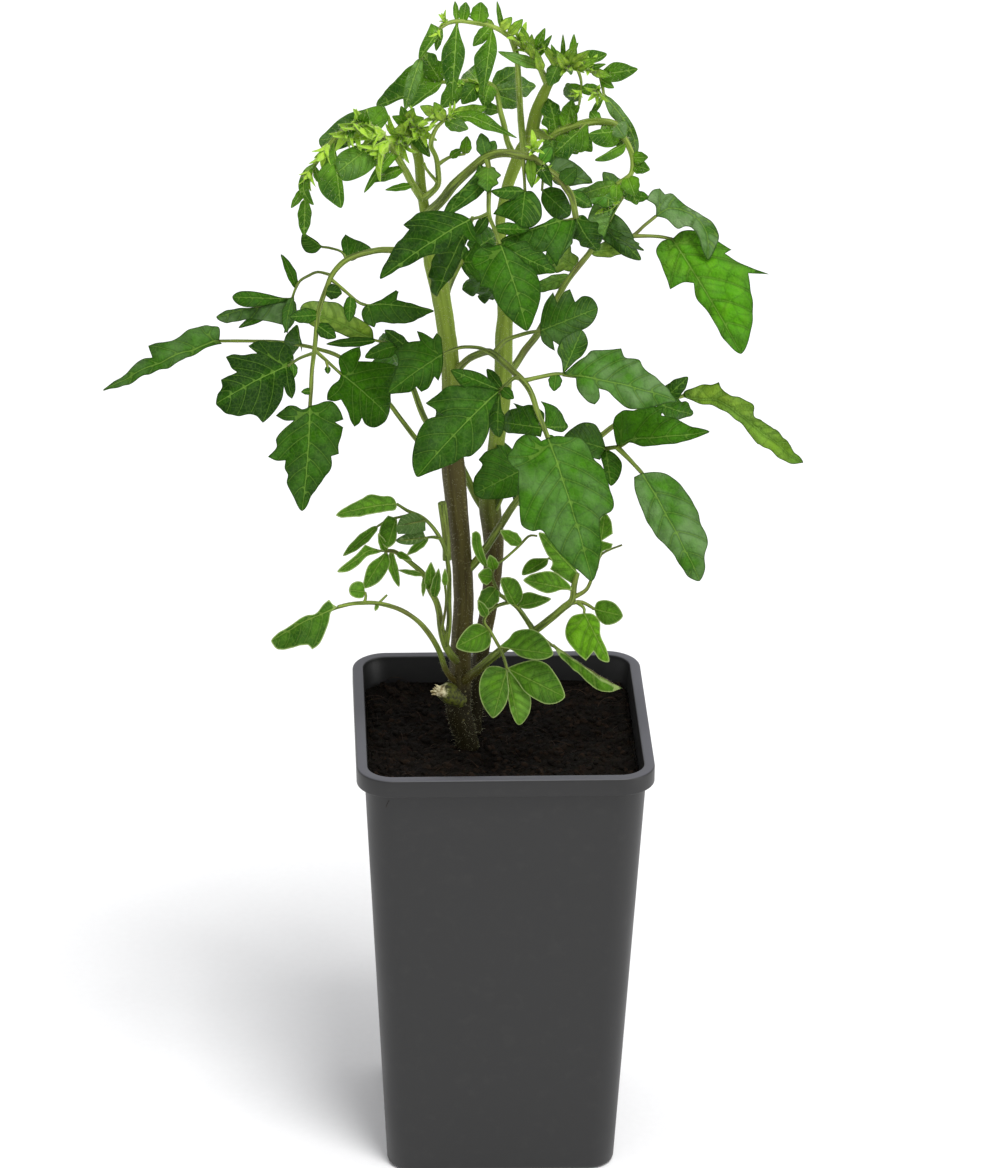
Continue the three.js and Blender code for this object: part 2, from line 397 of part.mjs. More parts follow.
   "stalk": [[548, 85], [541, 70, -3], [535, 58, -5], [527, 50, -6], [518, 43, -7], [510, 37, -8],
             [500, 30, -9], [490, 26, -10], [475, 23, -10], [460, 21, -11], [448, 23, -12],
             [440, 28, -13]],
   "branches": [],
   "leaflets": [
     {"base": [457, 21], "tip": [452, 100, -24], "roll": 0, "arch": 3, "fold": -0.2,
      "left": [[449, 38], [443, 48], [441, 60], [443, 75], [447, 88]],
      "right": [[461, 38], [465, 50], [464, 62], [460, 75], [456, 88]]},
     {"base": [492, 27], "tip": [483, 97, -22], "roll": 0, "arch": 3, "fold": -0.2,
      "left": [[486, 42], [479, 50], [474, 58], [476, 75], [479, 86]],
      "right": [[496, 40], [497, 52], [494, 65], [490, 78], [486, 88]]},
     {"base": [491, 26], "tip": [473, 46, -15], "roll": 0, "arch": 1, "fold": -0.2, "wide": 5},
     {"base": [440, 28], "tip": [419, 59, -20], "roll": 0, "arch": 1, "fold": -0.2,
      "left": [[431, 23], [427, 32], [422, 42], [419, 50]], "right": [[441, 34], [436, 41], [429, 49]]},
     {"base": [441, 27], "tip": [436, 51, -15], "roll": 0, "arch": 1, "fold": 0, "wide": 3},
     {"base": [457, 21], "tip": [455, 1, -8], "roll": 0, "arch": 0.5, "fold": 0.2, "wide": 2.4},
     {"base": [465, 21], "tip": [462, 6, -8], "roll": 0, "arch": 0.5, "fold": 0.2, "wide": 3},
     {"base": [479, 24], "tip": [481, 3, -7], "roll": 0, "arch": 0.5, "fold": 0.1, "wide": 5.6},
     {"base": [495, 28], "tip": [499, 2, -6], "roll": 0, "arch": 1, "fold": 0.2, "wide": 3},
     {"base": [500, 30], "tip": [468, 15, -4], "roll": 0, "arch": 1, "fold": 0.2, "wide": 2.4},
     {"base": [512, 38], "tip": [514, 14, -6], "roll": 0, "arch": 1, "fold": 0.1, "wide": 4},
     {"base": [518, 43], "tip": [496, 22, 0], "roll": 0, "arch": 1, "fold": 0.1, "wide": 6},
     {"base": [520, 45], "tip": [500, 52, -12], "roll": 0, "arch": 1, "fold": 0.1, "wide": 6},
     {"base": [526, 49], "tip": [512, 66, -14], "roll": 0, "arch": 1, "fold": 0.1, "wide": 6},
     {"base": [519, 44], "tip": [530, 24, -4], "roll": 0, "arch": 1, "fold": 0.1, "wide": 4.5},
   ]},
  {"name": "leaf_pale_arch", "carrier": "stem_right", "thick": [2.8, 1.6],
   "stalk": [[517, 162], [511, 150, 9], [507, 140, 12], [504, 125, 15], [500, 110, 18], [498, 98, 20],
             [495, 88, 22], [488, 83, 24], [478, 82, 26], [465, 81, 28], [453, 82, 30], [441, 82, 32]],
   "branches": [],
   "leaflets": [
     {"base": [441, 82], "tip": [376, 106, 42], "roll": 0, "arch": 3, "fold": -0.25,
      "left": [[432, 91], [418, 95], [402, 99], [386, 106]],
      "right": [[440, 68], [425, 62], [410, 66], [402, 74], [394, 83], [385, 92]]},
     {"base": [443, 82], "tip": [410, 108, 22], "roll": 10, "arch": 2, "fold": -0.25,
      "left": [[437, 92], [425, 100], [416, 106]], "right": [[428, 82], [415, 86], [406, 97]]},
     {"base": [441, 82], "tip": [421, 50, 26], "roll": 0, "arch": 2, "fold": -0.25, "wide": 9},
     {"base": [465, 81], "tip": [441, 108, 20], "roll": 10, "arch": 2, "fold": -0.25, "wide": 8},
     {"base": [480, 82], "tip": [462, 104, 18], "roll": 10, "arch": 2, "fold": -0.25, "wide": 8},
     {"base": [490, 85], "tip": [484, 107, 16], "roll": 10, "arch": 2, "fold": -0.25, "wide": 7},
     {"base": [478, 82], "tip": [470, 72, 60], "roll": 0, "arch": 2, "fold": -0.25, "wide": 13},
     {"base": [500, 110], "tip": [482, 108, 28], "roll": 0, "arch": 2, "fold": -0.25, "wide": 5},
   ]},
  {"name": "leaf_inner_top", "carrier": "stem_left", "thick": [2.8, 1.6],
   "stalk": [[423, 198], [432, 192, -9], [438, 184, -11], [438, 170, -12], [436, 157, -13],
             [431, 146, -13], [433, 135, -14], [438, 126, -15], [446, 119, -16]],
   "branches": [
     {"path": [[438, 165], [450, 157, -9], [465, 154, -6]], "thick": [1.4, 1.1]},
     {"path": [[438, 183], [427, 170, -17], [424, 163, -18]], "thick": [1.2, 1.0]},
   ],
   "leaflets": [
     {"base": [446, 119], "tip": [517, 138, -26], "roll": 0, "arch": 2, "fold": -0.2,
      "rib": [[470, 117], [495, 127]],
      "left": [[455, 113], [465, 111], [478, 111], [488, 115], [500, 125], [508, 131]],
      "right": [[458, 121], [470, 122], [477, 126], [485, 130], [495, 132], [506, 135]]},
     {"base": [445, 120], "tip": [468, 127, -22], "roll": 0, "arch": 1, "fold": -0.2, "wide": 6},
     {"base": [447, 119], "tip": [487, 105, -12], "roll": 0, "arch": 1, "fold": -0.2, "wide": 5},
     {"base": [446, 119], "tip": [420, 105, -14], "roll": 0, "arch": 1, "fold": -0.2, "wide": 5},
     {"base": [465, 154], "tip": [470, 136, -6], "roll": 0, "arch": 1, "fold": -0.2, "wide": 5},
     {"base": [450, 157], "tip": [462, 149, -12], "roll": 0, "arch": 0.5, "fold": 0, "wide": 3},
   ]},
  {"name": "leaf_crown_left", "carrier": "stem_left", "thick": [3.0, 1.4],
   "stalk": [[423, 200], [413, 185, -8], [405, 170, -10], [397, 157, -12], [388, 142, -13],
             [376, 130, -14], [362, 124, -15], [348, 127, -16], [335, 138, -17], [324, 152, -18],
             [314, 166, -18], [307, 184, -18], [305, 200, -18]],
   "branches": [],
   "leaflets": [
     {"base": [379, 132], "tip": [319, 140, -10], "roll": 0, "arch": 2, "fold": -0.25,
      "left": [[365, 138], [350, 146], [335, 150], [322, 148]],
      "right": [[388, 118], [384, 107], [376, 106], [362, 110], [350, 113], [340, 119], [328, 130]]},
     {"base": [382, 137], "tip": [338, 172, -26], "roll": 0, "arch": 2, "fold": -0.25,
      "left": [[386, 152], [376, 165], [366, 174], [352, 180], [343, 180]],
      "right": [[370, 140], [360, 145], [350, 148], [340, 153], [335, 161]]},
     {"base": [333, 140], "tip": [341, 208, -30], "roll": 0, "arch": 2, "fold": -0.2,
      "left": [[325, 163], [319, 172], [318, 184], [322, 194], [331, 202]],
      "right": [[338, 160], [342, 178], [344, 192], [344, 202]]},
     {"base": [317, 162], "tip": [314, 205, -24], "roll": 25, "arch": 2, "fold": 0.2,
      "rib": [[310, 173], [306, 185], [308, 197]],
      "left": [[308, 168], [302, 180], [302, 192], [306, 200]],
      "right": [[315, 172], [312, 185], [313, 196]]},
     {"base": [307, 186], "tip": [291, 208, -20], "roll": 0, "arch": 1, "fold": 0, "wide": 3.4},
     {"base": [305, 199], "tip": [304, 236, -22], "roll": 0, "arch": 1, "fold": -0.2, "wide": 5.4},
     {"base": [314, 166], "tip": [320, 183, -14], "roll": 0, "arch": 1, "fold": 0, "wide": 3},
     {"base": [394, 151], "tip": [364, 193, -22], "roll": 0, "arch": 2, "fold": -0.2,
      "rib": [[386, 160], [375, 175]],
      "left": [[386, 154], [378, 164], [369, 179]],
      "right": [[399, 155], [391, 165], [381, 175], [371, 187]]},
     {"base": [404, 168], "tip": [372, 182, -16], "roll": 20, "arch": 1, "fold": -0.2, "wide": 5},
     {"base": [413, 185], "tip": [385, 190, -14], "roll": 0, "arch": 1, "fold": 0.1, "wide": 3},
     {"base": [362, 124], "tip": [366, 110, -22], "roll": 0, "arch": 1, "fold": 0.1, "wide": 5},
     {"base": [350, 126], "tip": [352, 138, -24], "roll": 0, "arch": 1, "fold": 0.1, "wide": 5},
   ]},
  {"name": "crown_left", "carrier": "", "thick": [3.2, 1.6],
   "stalk": [[411, 132, -4], [409, 126, -5], [406, 120, -6]],
   "branches": [],
   "leaflets": [
     {"base": [408, 124], "tip": [392, 116, -9], "roll": 0, "arch": 1, "fold": 0.2, "wide": 4.5},
     {"base": [407, 121], "tip": [401, 106, -7], "roll": 0, "arch": 1, "fold": 0.2, "wide": 4},
     {"base": [407, 121], "tip": [414, 108, -8], "roll": 0, "arch": 1, "fold": 0.2, "wide": 4},
     {"base": [408, 124], "tip": [424, 118, -8], "roll": 0, "arch": 1, "fold": 0.2, "wide": 5},
     {"base": [410, 129], "tip": [425, 131, -9], "roll": 0, "arch": 1, "fold": 0.2, "wide": 5},
     {"base": [410, 128], "tip": [393, 131, -13], "roll": 0, "arch": 1, "fold": 0.2, "wide": 5.5},
     {"base": [410, 128], "tip": [398, 145, -12], "roll": 0, "arch": 1, "fold": 0.2, "wide": 5},
     {"base": [410, 128], "tip": [408, 147, -11], "roll": 0, "arch": 1, "fold": 0.2, "wide": 4},
     {"base": [408, 124], "tip": [404, 122, 10], "roll": 0, "arch": 2, "fold": -0.1, "wide": 8},
     {"base": [410, 129], "tip": [430, 157, -10], "roll": 0, "arch": 1, "fold": -0.2, "wide": 5},
   ]},
  {"name": "crown_right", "carrier": "", "thick": [2.2, 1.2],
   "stalk": [[559.5, 68, -0.5], [565, 67, -1], [575, 67, -3], [588, 70, -4], [599, 75, -5], [602, 84, -6],
             [604, 95, -7]],
   "branches": [
     {"path": [[577, 67], [581, 80, -4], [581, 92, -5], [579, 105, -5]], "thick": [1.2, 1.0]},
     {"path": [[561, 67], [556, 56, -5], [552, 48, -7]], "thick": [1.6, 1.2]},
   ],
   "leaflets": [
     {"base": [599, 75], "tip": [638, 69, -10], "roll": 0, "arch": 2, "fold": -0.2,
      "left": [[606, 68], [615, 62], [625, 63], [632, 66]], "right": [[603, 81], [615, 82], [624, 80]]},
     {"base": [580, 68], "tip": [607, 54, -2], "roll": 0, "arch": 1, "fold": -0.2,
      "left": [[578, 58], [590, 50], [600, 51]], "right": [[588, 65], [602, 60]]},
     {"base": [563, 67], "tip": [552, 86, -6], "roll": 0, "arch": 1, "fold": -0.2, "wide": 6.5},
     {"base": [566, 67], "tip": [573, 34, -3], "roll": 0, "arch": 1, "fold": 0.1, "wide": 5},
     {"base": [553, 50], "tip": [564, 34, -8], "roll": 0, "arch": 1, "fold": 0.1, "wide": 4},
     {"base": [553, 50], "tip": [549, 28, -8], "roll": 0, "arch": 1, "fold": 0.1, "wide": 4},
     {"base": [553, 50], "tip": [538, 36, -10], "roll": 0, "arch": 1, "fold": 0.1, "wide": 4.5},
     {"base": [554, 52], "tip": [541, 60, -13], "roll": 0, "arch": 1, "fold": 0.1, "wide": 6},
     {"base": [556, 56], "tip": [567, 55, -12], "roll": 0, "arch": 1, "fold": 0.1, "wide": 4.5},
     {"base": [585, 70], "tip": [606, 64, -8], "roll": 0, "arch": 1, "fold": 0, "wide": 2.4},
     {"base": [601, 80], "tip": [614, 88, -9], "roll": 0, "arch": 1, "fold": 0, "wide": 3.4},
     {"base": [581, 90], "tip": [601, 88, -8], "roll": 0, "arch": 1, "fold": -0.1, "wide": 4.6},
     {"base": [603, 95], "tip": [589, 119, -4], "roll": 0, "arch": 1, "fold": 0, "wide": 2.4},
     {"base": [604, 95], "tip": [636, 155, -8], "roll": 10, "arch": 3, "fold": -0.2,
      "rib": [[615, 106], [626, 119], [634, 136]],
      "left": [[612, 98], [620, 105], [627, 113], [633, 122], [637, 132], [639, 145]],
      "right": [[605, 102], [611, 114], [618, 120], [623, 128], [628, 139]]},
     {"base": [579, 105], "tip": [572, 114, 0], "roll": 0, "arch": 1, "fold": 0, "wide": 3},
     {"base": [562, 67], "tip": [565, 66, 18], "roll": 0, "arch": 2, "fold": -0.1, "wide": 8},
     {"base": [581, 86], "tip": [566, 97, 10], "roll": 0, "arch": 2, "fold": -0.2, "wide": 8},
   ]},
  {"name": "leaf_low_left", "carrier": "stem_left", "thick": [2.4, 1.5],
   "stalk": [[461, 686], [447, 672, -12], [440, 653, -17], [432, 638, -21], [420, 623, -25],
             [405, 612, -28], [390, 606, -30], [375, 603, -32], [362, 603, -34], [350, 604, -36],
             [338, 607, -38]],
   "branches": [
     {"path": [[364, 603], [366, 597, -33], [365, 592, -32]], "thick": [1.1, 1.0]},
     {"path": [[378, 604], [387, 595, -28]], "thick": [0.9, 0.8]},
   ],
   "leaflets": [
     {"base": [338, 607], "tip": [271, 641, -48], "roll": 15, "arch": 3, "fold": -0.2,
      "left": [[333, 605], [329, 600], [323, 606], [314, 616], [305, 618], [292, 626], [278, 634]],
      "right": [[331, 613], [329, 622], [324, 636], [318, 646], [312, 650], [308, 646], [290, 649],
                [277, 649]]},
     {"base": [365, 592], "tip": [349, 590, -36], "roll": 0, "arch": 1, "fold": -0.1,
      "left": [[363, 597], [355, 598], [350, 595]], "right": [[362, 583], [356, 581], [351, 584]]},
     {"base": [378, 604], "tip": [375, 611, -34], "roll": 0, "arch": 0, "fold": 0, "wide": 1.8},
   ]},
  {"name": "shoot_left", "carrier": "stem_left", "thick": [3.2, 1.5],
   "stalk": [[461, 664], [452, 656, -10], [445, 644, -11], [441, 628, -12], [439, 612, -13],
             [436, 601, -14], [430, 590, -15], [424, 575, -16], [411, 563, -16], [400, 555, -16],
             [393, 551, -16], [384, 551, -16]],
   "branches": [
     {"path": [[446, 645], [449, 625, -12], [449, 600, -12], [449, 575, -12], [446, 553, -13],
               [440, 538, -14], [430, 524, -15], [420, 516, -16], [408, 511, -17], [397, 504, -18]],
      "thick": [2.4, 1.3]},
     {"path": [[440, 538], [432, 537, -17], [425, 538, -18]], "thick": [1.4, 1.1]},
     {"path": [[441, 630], [445, 612, -18], [446, 598, -20], [445, 586, -21]], "thick": [1.2, 1.0]},
     {"path": [[416, 514], [400, 517, -13], [388, 520, -12], [378, 526, -11]], "thick": [1.2, 1.0]},
   ],
   "leaflets": [
     {"base": [397, 504], "tip": [336, 515, -26], "roll": 20, "arch": 2, "fold": -0.2,
      "left": [[396, 509], [385, 513], [370, 516], [355, 518], [341, 518]],
      "right": [[393, 498], [383, 497], [370, 495], [358, 502], [345, 508]]},
     {"base": [396, 517], "tip": [387, 548, -20], "roll": 0, "arch": 2, "fold": -0.2,
      "left": [[388, 515], [381, 525], [379, 537]], "right": [[397, 520], [397, 532], [395, 543]]},
     {"base": [426, 520], "tip": [397, 526, -30], "roll": 0, "arch": 1, "fold": -0.1,
      "left": [[425, 531], [412, 534], [399, 534]], "right": [[418, 514], [404, 515]]},
     {"base": [426, 538], "tip": [396, 541, -26], "roll": 0, "arch": 1, "fold": -0.2,
      "left": [[420, 542], [408, 545]], "right": [[424, 531], [410, 532]]},
     {"base": [428, 537], "tip": [407, 555, -22], "roll": 0, "arch": 1, "fold": 0.1, "wide": 3.6},
     {"base": [378, 526], "tip": [343, 556, -12], "roll": 0, "arch": 1, "fold": 0, "wide": 4.4},
     {"base": [384, 551], "tip": [337, 572, -24], "roll": 0, "arch": 2, "fold": -0.2,
      "rib": [[368, 551], [354, 561]],
      "left": [[376, 554], [366, 557], [357, 566], [347, 572]],
      "right": [[372, 548], [364, 545], [355, 555]]},
     {"base": [387, 551], "tip": [364, 588, -28], "roll": 0, "arch": 2, "fold": -0.2,
      "left": [[378, 558], [368, 566], [364, 577]], "right": [[390, 562], [386, 573], [377, 584]]},
     {"base": [391, 551], "tip": [399, 587, -14], "roll": 20, "arch": 1, "fold": 0, "wide": 4},
     {"base": [386, 551], "tip": [378, 533, -20], "roll": 0, "arch": 1, "fold": 0.1, "wide": 3.4},
     {"base": [397, 553], "tip": [412, 560, -22], "roll": 0, "arch": 1, "fold": 0, "wide": 3},
     {"base": [424, 575], "tip": [398, 570, -18], "roll": 0, "arch": 1, "fold": 0, "wide": 2.4},
     {"base": [424, 576], "tip": [423, 597, -18], "roll": 0, "arch": 1, "fold": 0, "wide": 2},
     {"base": [430, 590], "tip": [431, 562, -20], "roll": 0, "arch": 1, "fold": 0.1, "wide": 5},
     {"base": [434, 597], "tip": [439, 568, -22], "roll": 0, "arch": 1, "fold": 0.1, "wide": 4},
     {"base": [445, 586], "tip": [445, 568, -22], "roll": 0, "arch": 1, "fold": 0.1, "wide": 2.6},
     {"base": [445, 530], "tip": [442, 505, -18], "roll": 0, "arch": 0.5, "fold": 0, "wide": 4},
   ]},
  {"name": "shoot_right", "carrier": "stem_left", "thick": [4.0, 2.6],
   "stalk": [[461, 683], [475, 672, -12], [490, 659, -16], [509, 645, -18], [534, 631, -20],
             [550, 619, -21], [563, 608, -22], [572, 600, -22], [574, 586, -20], [577, 573, -19]],
   "branches": [
     {"path": [[568, 603], [580, 602, -22], [588, 605, -22], [594, 609, -22]], "thick": [1.8, 1.3]},
     {"path": [[573, 598], [586, 590, -22], [592, 578, -21], [597, 568, -20]], "thick": [1.8, 1.2]},
     {"path": [[598, 566], [602, 554, -18], [622, 545, -14]], "thick": [1.0, 0.8]},
     {"path": [[534, 631], [526, 619, -21], [517, 607, -22], [506, 599, -22], [499, 594, -22]],
      "thick": [2.2, 1.5]},
     {"path": [[510, 602], [497, 606, -25], [488, 613, -27], [484, 622, -29], [490, 631, -30],
               [497, 643, -31], [503, 655, -32], [507, 669, -33]], "thick": [1.6, 1.3]},
     {"path": [[499, 594], [495, 585, -22], [492, 575, -21], [496, 566, -19], [508, 556, -16],
               [520, 545, -14], [529, 536, -13], [537, 536, -12]], "thick": [1.4, 0.9]},
     {"path": [[534, 631], [545, 640, -15], [553, 646, -13]], "thick": [1.5, 1.3]},
     {"path": [[577, 602], [584, 608, -26], [584, 613, -27]], "thick": [1.3, 1.2]},
     {"path": [[575, 580], [562, 566, -15], [549, 558, -12]], "thick": [1.2, 1.0]},
   ],
   "leaflets": [
     {"base": [489, 630], "tip": [456, 647, -36], "roll": 0, "arch": 2, "fold": -0.2,
      "left": [[491, 642], [485, 650], [474, 653], [462, 651]],
      "right": [[480, 624], [471, 625], [460, 636]]},
     {"base": [499, 647], "tip": [553, 654, -40], "roll": 0, "arch": 2, "fold": -0.2,
      "left": [[509, 639], [515, 632], [530, 629], [540, 633], [549, 643]],
      "right": [[512, 650], [520, 656], [535, 660], [546, 659]]},
     {"base": [507, 669], "tip": [493, 718, -42], "roll": 0, "arch": 2, "fold": -0.2,
      "left": [[497, 666], [488, 667], [481, 677], [479, 690], [482, 703], [487, 712]],
      "right": [[508, 680], [509, 692], [506, 704], [500, 713]]},
     {"base": [508, 669], "tip": [519, 725, -38], "roll": 0, "arch": 2, "fold": -0.2,
      "left": [[506, 684], [508, 698], [511, 712]],
      "right": [[518, 678], [527, 688], [531, 700], [528, 716]]},
     {"base": [507, 668], "tip": [565, 697, -40], "roll": 0, "arch": 2, "fold": -0.2,
      "left": [[520, 663], [535, 660], [547, 664], [556, 675], [562, 686]],
      "right": [[517, 681], [525, 692], [535, 699], [546, 704], [557, 703]]},
     {"base": [553, 646], "tip": [622, 688, -8], "roll": 20, "arch": 2, "fold": 0.3,
      "left": [[566, 653], [580, 661], [598, 675], [612, 683]],
      "right": [[561, 656], [575, 667], [595, 684]]},
     {"base": [584, 613], "tip": [609, 662, -38], "roll": 0, "arch": 3, "fold": -0.2,
      "left": [[593, 614], [600, 622], [601, 636], [607, 650]],
      "right": [[572, 616], [566, 626], [566, 638], [577, 653], [586, 661], [594, 652], [600, 660]]},
     {"base": [594, 609], "tip": [623, 616, -26], "roll": 0, "arch": 1, "fold": -0.1,
      "left": [[597, 602], [606, 600], [616, 604]], "right": [[598, 619], [606, 625], [616, 623]]},
     {"base": [577, 573], "tip": [539, 533, -18], "roll": 0, "arch": 3, "fold": -0.15,
      "left": [[572, 584], [562, 577], [549, 568], [551, 561], [545, 552], [541, 542]],
      "right": [[573, 560], [563, 545], [550, 535]]},
     {"base": [598, 567], "tip": [605, 513, -14], "roll": 0, "arch": 2, "fold": -0.15,
      "left": [[595, 553], [593, 538], [597, 524]],
      "right": [[603, 551], [611, 548], [613, 543], [602, 540], [613, 533], [611, 520]]},
     {"base": [516, 606], "tip": [501, 578, -30], "roll": 0, "arch": 1, "fold": -0.2,
      "left": [[508, 602], [503, 592]], "right": [[522, 598], [521, 587], [514, 578]]},
     {"base": [517, 607], "tip": [551, 599, -26], "roll": 0, "arch": 1, "fold": -0.2,
      "left": [[520, 596], [528, 592], [541, 595]], "right": [[527, 609], [540, 606]]},
     {"base": [521, 544], "tip": [500, 530, -18], "roll": 0, "arch": 1, "fold": -0.2, "wide": 5.4},
     {"base": [573, 590], "tip": [524, 580, -32], "roll": 0, "arch": 2, "fold": -0.2,
      "left": [[558, 590], [545, 593], [533, 588]], "right": [[562, 578], [550, 571], [535, 573]]},
     {"base": [549, 558], "tip": [522, 575, -14], "roll": 0, "arch": 1, "fold": -0.2,
      "left": [[547, 565], [540, 570], [530, 574]], "right": [[541, 558], [531, 559], [524, 566]]},
     {"base": [496, 588], "tip": [480, 610, -28], "roll": 0, "arch": 1, "fold": -0.2, "wide": 8},
     {"base": [493, 577], "tip": [478, 575, -24], "roll": 0, "arch": 1, "fold": -0.2, "wide": 7},
     {"base": [494, 570], "tip": [490, 555, -22], "roll": 0, "arch": 1, "fold": -0.2, "wide": 5},
     {"base": [493, 574], "tip": [476, 531, -14], "roll": 0, "arch": 1, "fold": -0.2,
      "rib": [[482, 560], [477, 545]],
      "left": [[478, 560], [472, 545], [472, 533]], "right": [[486, 558], [482, 545], [480, 534]]},
     {"base": [486, 616], "tip": [478, 600, -34], "roll": 0, "arch": 1, "fold": -0.1, "wide": 4},
   ]},
  {"name": "leaf_behind_front", "carrier": "stem_right", "thick": [2.6, 1.6],
   "stalk": [[492, 520], [500, 500, 6], [512, 482, 4], [522, 470, 3]],
   "branches": [],
   "leaflets": [
     {"base": [522, 470], "tip": [474, 494, -8], "roll": 0, "arch": 3, "fold": -0.2,
      "left": [[520, 496], [505, 499], [490, 500], [480, 499]],
      "right": [[515, 452], [505, 440], [495, 438], [497, 448], [485, 452], [478, 460], [481, 465],
                [474, 478]]},
     {"base": [521, 471], "tip": [566, 496, 12], "roll": 0, "arch": 2, "fold": -0.2, "wide": 15},
   ]},
  {"name": "leaf_back_high", "carrier": "stem_left", "thick": [2.6, 1.4],
   "stalk": [[443, 305], [450, 285, 12], [458, 268, 26], [466, 256, 40], [474, 248, 53]],
   "branches": [],
   "leaflets": [
     {"base": [474, 248], "tip": [506, 292, 96], "roll": 0, "arch": 4, "fold": -0.2, "wide": 24},
     {"base": [462, 262], "tip": [438, 240, 54], "roll": 0, "arch": 3, "fold": -0.2, "wide": 15},
     {"base": [462, 262], "tip": [500, 262, 34], "roll": 0, "arch": 3, "fold": -0.2, "wide": 14},
     {"base": [470, 252], "tip": [498, 234, 74], "roll": 0, "arch": 3, "fold": -0.2, "wide": 13},
   ]},
  {"name": "leaf_back_left", "carrier": "stem_left", "thick": [2.8, 1.5],
   "stalk": [[452, 440], [448, 424, 12], [442, 410, 28], [436, 398, 44], [430, 390, 60]],
   "branches": [],
   "leaflets": [
     {"base": [430, 390], "tip": [452, 436, 104], "roll": 0, "arch": 4, "fold": -0.2, "wide": 26},
     {"base": [436, 398], "tip": [402, 374, 66], "roll": 0, "arch": 3, "fold": -0.2, "wide": 16},
     {"base": [438, 401], "tip": [474, 420, 56], "roll": 0, "arch": 3, "fold": -0.2, "wide": 17},
     {"base": [445, 417], "tip": [424, 428, 34], "roll": 0, "arch": 2, "fold": -0.2, "wide": 8},
   ]},
  {"name": "leaf_back_right", "carrier": "stem_right", "thick": [2.8, 1.5],
   "stalk": [[495, 462], [508, 456, 22], [522, 454, 36], [536, 458, 50], [548, 466, 62]],
   "branches": [],
   "leaflets": [
     {"base": [548, 466], "tip": [572, 528, 100], "roll": 0, "arch": 5, "fold": -0.2, "wide": 27},
     {"base": [534, 457], "tip": [572, 456, 66], "roll": 0, "arch": 3, "fold": -0.2, "wide": 16},
     {"base": [534, 457], "tip": [530, 512, 60], "roll": 0, "arch": 3, "fold": -0.2, "wide": 17},
   ]},
];

const PRUNED_STUB = {"path": [[460, 697], [449, 694, -9], [436, 690, -13]], "thick": [5.4, 4.6]};

// ---- solids -------------------------------------------------------------------------------------

function solidOf(vertices, triangles) {
  const mesh = new wasm.Mesh({
    numProp: 3,
    vertProperties: new Float32Array(vertices),
    triVerts: new Uint32Array(triangles),
  });
  return new wasm.Manifold(mesh);
}

function geometryOf(solid) {
  const mesh = solid.getMesh();
  const geometry = new THREE.BufferGeometry();
  geometry.setAttribute("position", new THREE.BufferAttribute(new Float32Array(mesh.vertProperties), 3));
  geometry.setIndex(new THREE.BufferAttribute(new Uint32Array(mesh.triVerts), 1));
  return geometry;
}

// Rings of points, all the same length, joined one to the next and closed at both ends by a fan.
function loft(rings) {
  const vertices = rings.flat().flatMap((point) => [point.x, point.y, point.z]);
  const triangles = [];
  const count = rings[0].length;
  for (let ring = 0; ring + 1 < rings.length; ring += 1) {
    for (let i = 0; i < count; i += 1) {
      const here = ring * count + i;
      const next = ring * count + ((i + 1) % count);
      triangles.push(here, next, next + count, here, next + count, here + count);
    }
  }
  const last = (rings.length - 1) * count;
  for (let i = 1; i + 1 < count; i += 1) {
    triangles.push(0, i + 1, i);
    triangles.push(last, last + i, last + i + 1);
  }
  return solidOf(vertices, triangles);
}

// Which points of a line are needed to keep it within a distance of its true course.
function neededPoints(points, step) {
  const last = points.length - 1;
  if (last < 2) {
    return points.map((_, i) => i);
  }
  const chord = points[last].clone().sub(points[0]);
  let widest = 0;
  let furthest = 0;
  for (let i = 1; i < last; i += 1) {
    const offset = points[i].clone().sub(points[0]);
    const t = THREE.MathUtils.clamp(offset.dot(chord) / chord.lengthSq(), 0, 1);
    const distance = offset.addScaledVector(chord, -t).length();
    if (distance > widest) {
      widest = distance;
      furthest = i;
    }
  }
  if (widest < step) {
    return [0, last];
  }
  const before = neededPoints(points.slice(0, furthest + 1), step);
  const after = neededPoints(points.slice(furthest), step);
  return [...before, ...after.slice(1).map((i) => i + furthest)];
}

// A stem or stalk: a round rod through the given points, as thick at each as its diameter says.
function rod(points, diameters, sides, extra = 0) {
  const curve = new THREE.CatmullRomCurve3(points, false, "centripetal");
  const steps = points.length - 1;
  const frames = curve.computeFrenetFrames(steps, false);
  const rings = [];
  for (let step = 0; step <= steps; step += 1) {
    const centre = points[step];
    const radius = diameters[step] / 2 + extra;
    const ring = [];
    for (let side = 0; side < sides; side += 1) {
      const angle = (2 * Math.PI * side) / sides;
      ring.push(
        centre
          .clone()
          .addScaledVector(frames.normals[step], radius * Math.cos(angle))
          .addScaledVector(frames.binormals[step], radius * Math.sin(angle)),
      );
    }
    rings.push(ring);
  }
  return loft(rings);
}

// ---- the pot and its soil -----------------------------------------------------------------------

function roundedSquare(width, corner, z) {
  const reach = width / 2 - corner;
  const points = [];
  for (let quarter = 0; quarter < 4; quarter += 1) {
    const middle = Math.PI / 4 + (quarter * Math.PI) / 2;
    const cx = reach * Math.sign(Math.cos(middle));
    const cy = reach * Math.sign(Math.sin(middle));
    for (let step = 0; step <= CORNER_STEPS; step += 1) {
      const angle = (quarter * Math.PI) / 2 + (step * Math.PI) / 2 / CORNER_STEPS;
      points.push(new THREE.Vector3(cx + corner * Math.cos(angle), cy + corner * Math.sin(angle), z));
    }
  }
  return points;
}

function upright(width, corner, low, high) {
  return loft([roundedSquare(width, corner, low), roundedSquare(width, corner, high)]);
}

